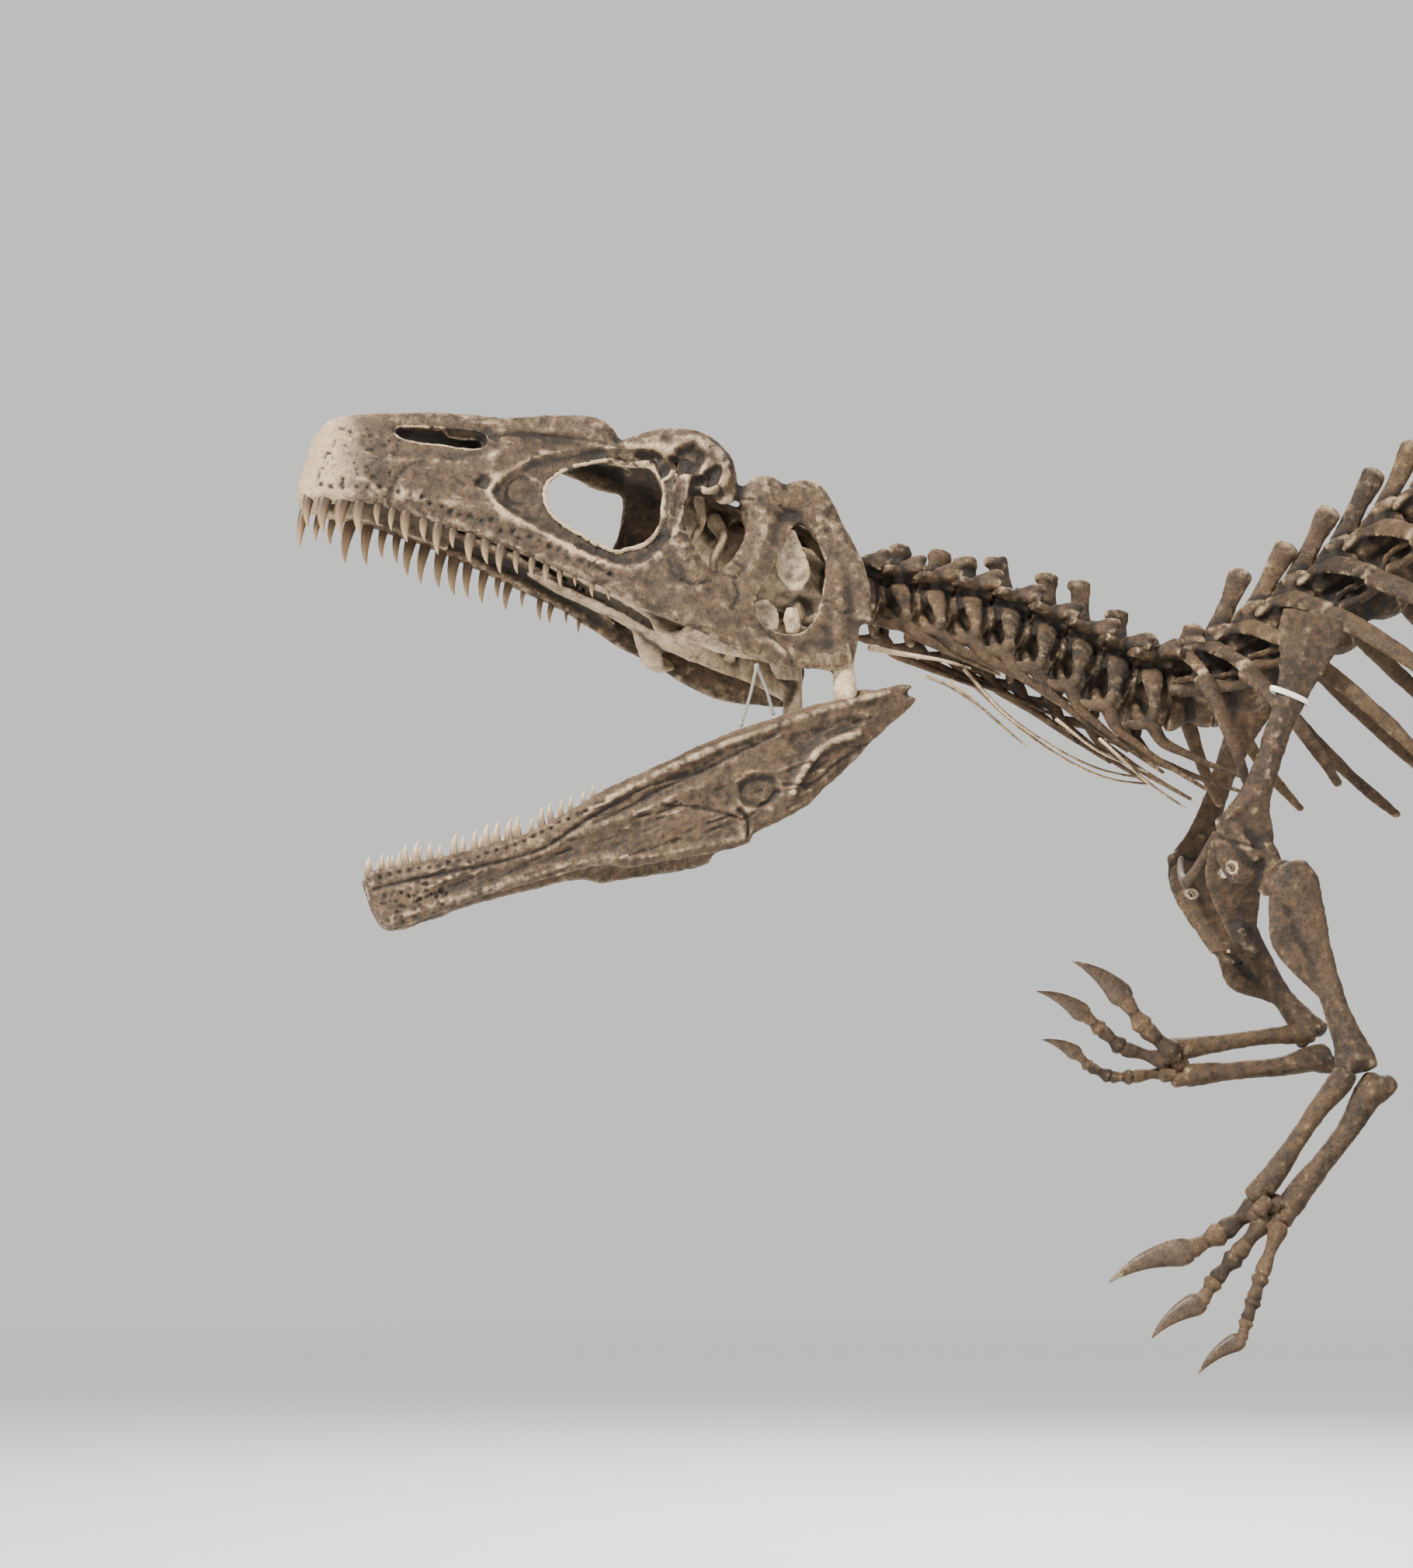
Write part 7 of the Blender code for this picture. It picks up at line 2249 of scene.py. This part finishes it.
@dataclass
class Stand:
    """The painted plinth, two posts that carry the column, and the jaw's thin struts.

    Each post has the number of its vertebra and the depth of the column over it.
    """

    posts: Sequence[tuple[str, int, float]] = (("front", 18, 0.058), ("rear", 26, 0.052))
    post_radius: float = 0.03
    saddle_radius: float = 0.02
    saddle_length: float = 0.14
    flange_radius: float = 0.08
    flange_height: float = 0.012
    strut_radius: float = 0.0026
    strut_top: Point = (0.643, -0.146, -0.030)
    strut_feet: Sequence[Point] = ((0.534, -0.116, 0.046), (0.583, -0.120, 0.048))

    def turned(self, bench: Bench, start: np.ndarray, end: np.ndarray, radius: float,
               edge: float, sides: int = 40) -> Piece:
        """A round steel bar between two points with broken edges.

        Args:
            bench: Where it is made.
            start: One end of its middle line.
            end: The other end.
            radius: Its radius.
            edge: Width of the bevel at its ends.
            sides: Faces round it.

        Returns:
            The bar.
        """
        bpy.ops.mesh.primitive_cylinder_add(vertices=sides, radius=radius,
                                            depth=float(np.linalg.norm(end - start)))
        bar = bpy.context.object
        bevel = bar.modifiers.new("edge", "BEVEL")
        bevel.width = edge
        bevel.segments = 3
        bevel.limit_method = "ANGLE"
        bevel.angle_limit = math.radians(50.0)
        bench.apply(bar)
        turn = Vector(end - start).to_track_quat("Z", "Y").to_matrix().to_4x4()
        return bench.move(bar, Matrix.Translation((start + end) / 2) @ turn)

    def nut(self, bench: Bench, center: np.ndarray, radius: float, height: float) -> Piece:
        """A six-sided bolt head with a raised round crown, made by inset and extrude."""
        bpy.ops.mesh.primitive_cylinder_add(vertices=6, radius=radius, depth=height,
                                            location=center, end_fill_type="NGON")
        head = bpy.context.object
        bpy.ops.object.transform_apply(location=True, rotation=False, scale=False)
        bpy.ops.object.mode_set(mode="EDIT")
        bpy.ops.mesh.select_mode(type="FACE")
        bpy.ops.mesh.select_all(action="DESELECT")
        bpy.ops.object.mode_set(mode="OBJECT")
        for face in head.data.polygons:
            face.select = face.normal.z > 0.9
        bpy.ops.object.mode_set(mode="EDIT")
        bpy.ops.mesh.inset(thickness=radius * 0.22, depth=0.0)
        bpy.ops.mesh.extrude_region_move(TRANSFORM_OT_translate={"value": (0, 0, height * 0.18)})
        bpy.ops.object.mode_set(mode="OBJECT")
        bevel = head.modifiers.new("edge", "BEVEL")
        bevel.width = radius * 0.07
        bevel.segments = 2
        bench.apply(head)
        return head

    def post(self, bench: Bench, item: Vertebra, depth: float) -> Piece:
        """A post with its bolted flange, collar and padded cradle."""
        saddle = item.center - item.up * (depth + self.saddle_radius)
        foot = np.array((saddle[0], 0.0, BASE_HEIGHT + BASE_GAP))
        half = ACROSS * self.saddle_length / 2
        parts = [self.turned(bench, foot, saddle, self.post_radius, 0.002),
                 self.turned(bench, foot, foot + UP * self.flange_height, self.flange_radius,
                             0.0015, 64),
                 self.turned(bench, foot + UP * self.flange_height,
                             foot + UP * (self.flange_height + 0.018), self.post_radius + 0.007,
                             0.006),
                 self.turned(bench, saddle - half, saddle + half, self.saddle_radius, 0.003),
                 self.turned(bench, saddle - UP * 0.070, saddle - UP * 0.024,
                             self.post_radius + 0.005, 0.003)]
        for sign in (-1.0, 1.0):
            inner = saddle + half * sign * 0.86
            parts.append(self.turned(bench, inner, inner + half * sign * 0.10,
                                     self.saddle_radius + 0.003, 0.002))
        for index in range(6):
            turn = index * math.pi / 3 + 0.3
            spot = foot + 0.061 * np.array((math.cos(turn), math.sin(turn), 0.0))
            parts.append(self.nut(bench, spot + UP * (self.flange_height + 0.0035), 0.0085, 0.008))
        return bench.join(parts)

    def struts(self, bench: Bench) -> Piece:
        """The two thin rods that prop the jaws, with small eyes at their ends."""
        top = np.array(head_pose(SKULL_TIP, SKULL_PITCH) @ Vector(self.strut_top))
        jaw = head_pose(JAW_TIP, JAW_PITCH)
        parts = []
        for foot in self.strut_feet:
            end = np.array(jaw @ Vector(foot))
            middle = (top + end) / 2 + LENGTHWISE * 0.002
            rod = [(*point, self.strut_radius * share, self.strut_radius * share)
                   for point, share in ((end, 0.92), (middle, 0.82), (top, 0.92))]
            parts.append(bench.sweep(rod, ACROSS, sides=12, cuts=6, dome=0.9))
            collar = [(*(end + (top - end) * share), size, size) for share, size in (
                (0.0, 0.0030), (0.03, 0.0034), (0.06, 0.0026))]
            parts.append(bench.sweep(collar, ACROSS, sides=12, cuts=3))
        knot = [(*(top - UP * 0.006), 0.0034, 0.0034), (*top, 0.0036, 0.0036)]
        parts.append(bench.sweep(knot, ACROSS, sides=12, cuts=3, dome=0.9))
        return bench.join(parts)

    def build(self, bench: Bench, finishes: Finishes, column: Column) -> None:
        """Builds and dresses the stand; the plinth keeps its frame shape."""
        for name, number, depth in self.posts:
            post = self.post(bench, column.bones[number - 1], depth)
            bench.dress(post, "post_" + name, ["stand_post_" + name],
                        finishes.steel, detailed=False)
            bench.choose(post)
            bpy.ops.object.shade_smooth_by_angle(angle=math.radians(35.0))
        bench.dress(self.struts(bench), "jaw_struts", ["stand_jaw_strut"],
                    finishes.wire, detailed=False)
        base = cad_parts["stand_base"]
        for place in base.material_slots:
            place.material = finishes.plinth


# ---------------------------------------------------------------- studio

@dataclass
class Studio:
    """Floor, soft lights and the camera."""

    camera_place: Point = (-1.85, -3.8322, 0.8090)
    camera_tilt: float = 99.0
    lens: float = 61.6
    floor_radius: float = 20.0

    def light(self, name: str, place: Point, aim: Point, size: float, power: float,
              colour: Colour = (1.0, 1.0, 1.0)) -> None:
        """A square soft light that points at a spot."""
        lamp = bpy.data.lights.new(name, "AREA")
        lamp.shape = "SQUARE"
        lamp.size = size
        lamp.energy = power
        lamp.color = colour
        holder = bpy.data.objects.new(name, lamp)
        holder.location = place
        holder.rotation_euler = (Vector(aim) - Vector(place)).to_track_quat("-Z", "Y").to_euler()
        bpy.context.scene.collection.objects.link(holder)

    def floor(self) -> None:
        """A wide round floor under everything."""
        bpy.ops.mesh.primitive_circle_add(vertices=96, radius=self.floor_radius,
                                          fill_type="NGON", location=(0.0, 0.0, -0.0005))
        floor = bpy.context.object
        bpy.ops.object.transform_apply(location=True, rotation=False, scale=False)
        floor.name = "studio_floor"
        floor.data.materials.append(FloorFinish().make())

    def build(self) -> None:
        """Sets up the floor, world, lights and camera."""
        self.floor()
        world = bpy.data.worlds.new("studio")
        world.use_nodes = True
        sky = world.node_tree.nodes["Background"]
        sky.inputs["Color"].default_value = (0.86, 0.855, 0.845, 1.0)
        sky.inputs["Strength"].default_value = 0.95
        bpy.context.scene.world = world
        self.light("key", (-4.6, -3.4, 5.0), (-1.4, 0.0, 1.4), 1.2, 900.0, (1.0, 0.95, 0.87))
        self.light("rim", (-0.6, 4.6, 4.6), (-1.2, 0.0, 1.5), 2.0, 560.0, (1.0, 0.98, 0.94))
        self.light("tail", (5.0, -4.5, 4.8), (2.2, 0.0, 1.4), 2.2, 480.0, (1.0, 0.96, 0.90))
        self.light("under", (-3.6, -2.2, 0.40), (-1.9, 0.0, 1.6), 0.9, 36.0, (1.0, 0.96, 0.91))
        camera = bpy.data.cameras.new("camera")
        camera.lens = self.lens
        camera.sensor_fit = "VERTICAL"
        camera.sensor_height = 36.0
        camera.clip_end = 200.0
        holder = bpy.data.objects.new("camera", camera)
        holder.location = self.camera_place
        holder.rotation_euler = (math.radians(self.camera_tilt), 0.0, 0.0)
        bpy.context.scene.collection.objects.link(holder)
        bpy.context.scene.camera = holder


# ---------------------------------------------------------------- making

def main() -> None:
    """Builds the skeleton and its stand in order, then the studio round them."""
    logging.basicConfig(level=logging.INFO, format="%(message)s")
    bench = Bench()
    bench.choose()
    finishes = Finishes()
    column = Column()
    Studio().build()
    Skull().build(bench, finishes)
    LowerJaw().build(bench, finishes)
    Neck().build(bench, finishes, column)
    Trunk().build(bench, finishes, column)
    Sacrum().build(bench, finishes, column)
    Tail().build(bench, finishes, column)
    Shoulder().build(bench, finishes)
    for arm in (LEFT_ARM, RIGHT_ARM):
        arm.build(bench, finishes)
    Pelvis().build(bench, finishes)
    for leg in (Leg(Side.LEFT, -30.0, 25.0), Leg(Side.RIGHT, -5.0, 40.0)):
        leg.build(bench, finishes)
    Stand().build(bench, finishes, column)


if __name__ == "__main__":
    main()
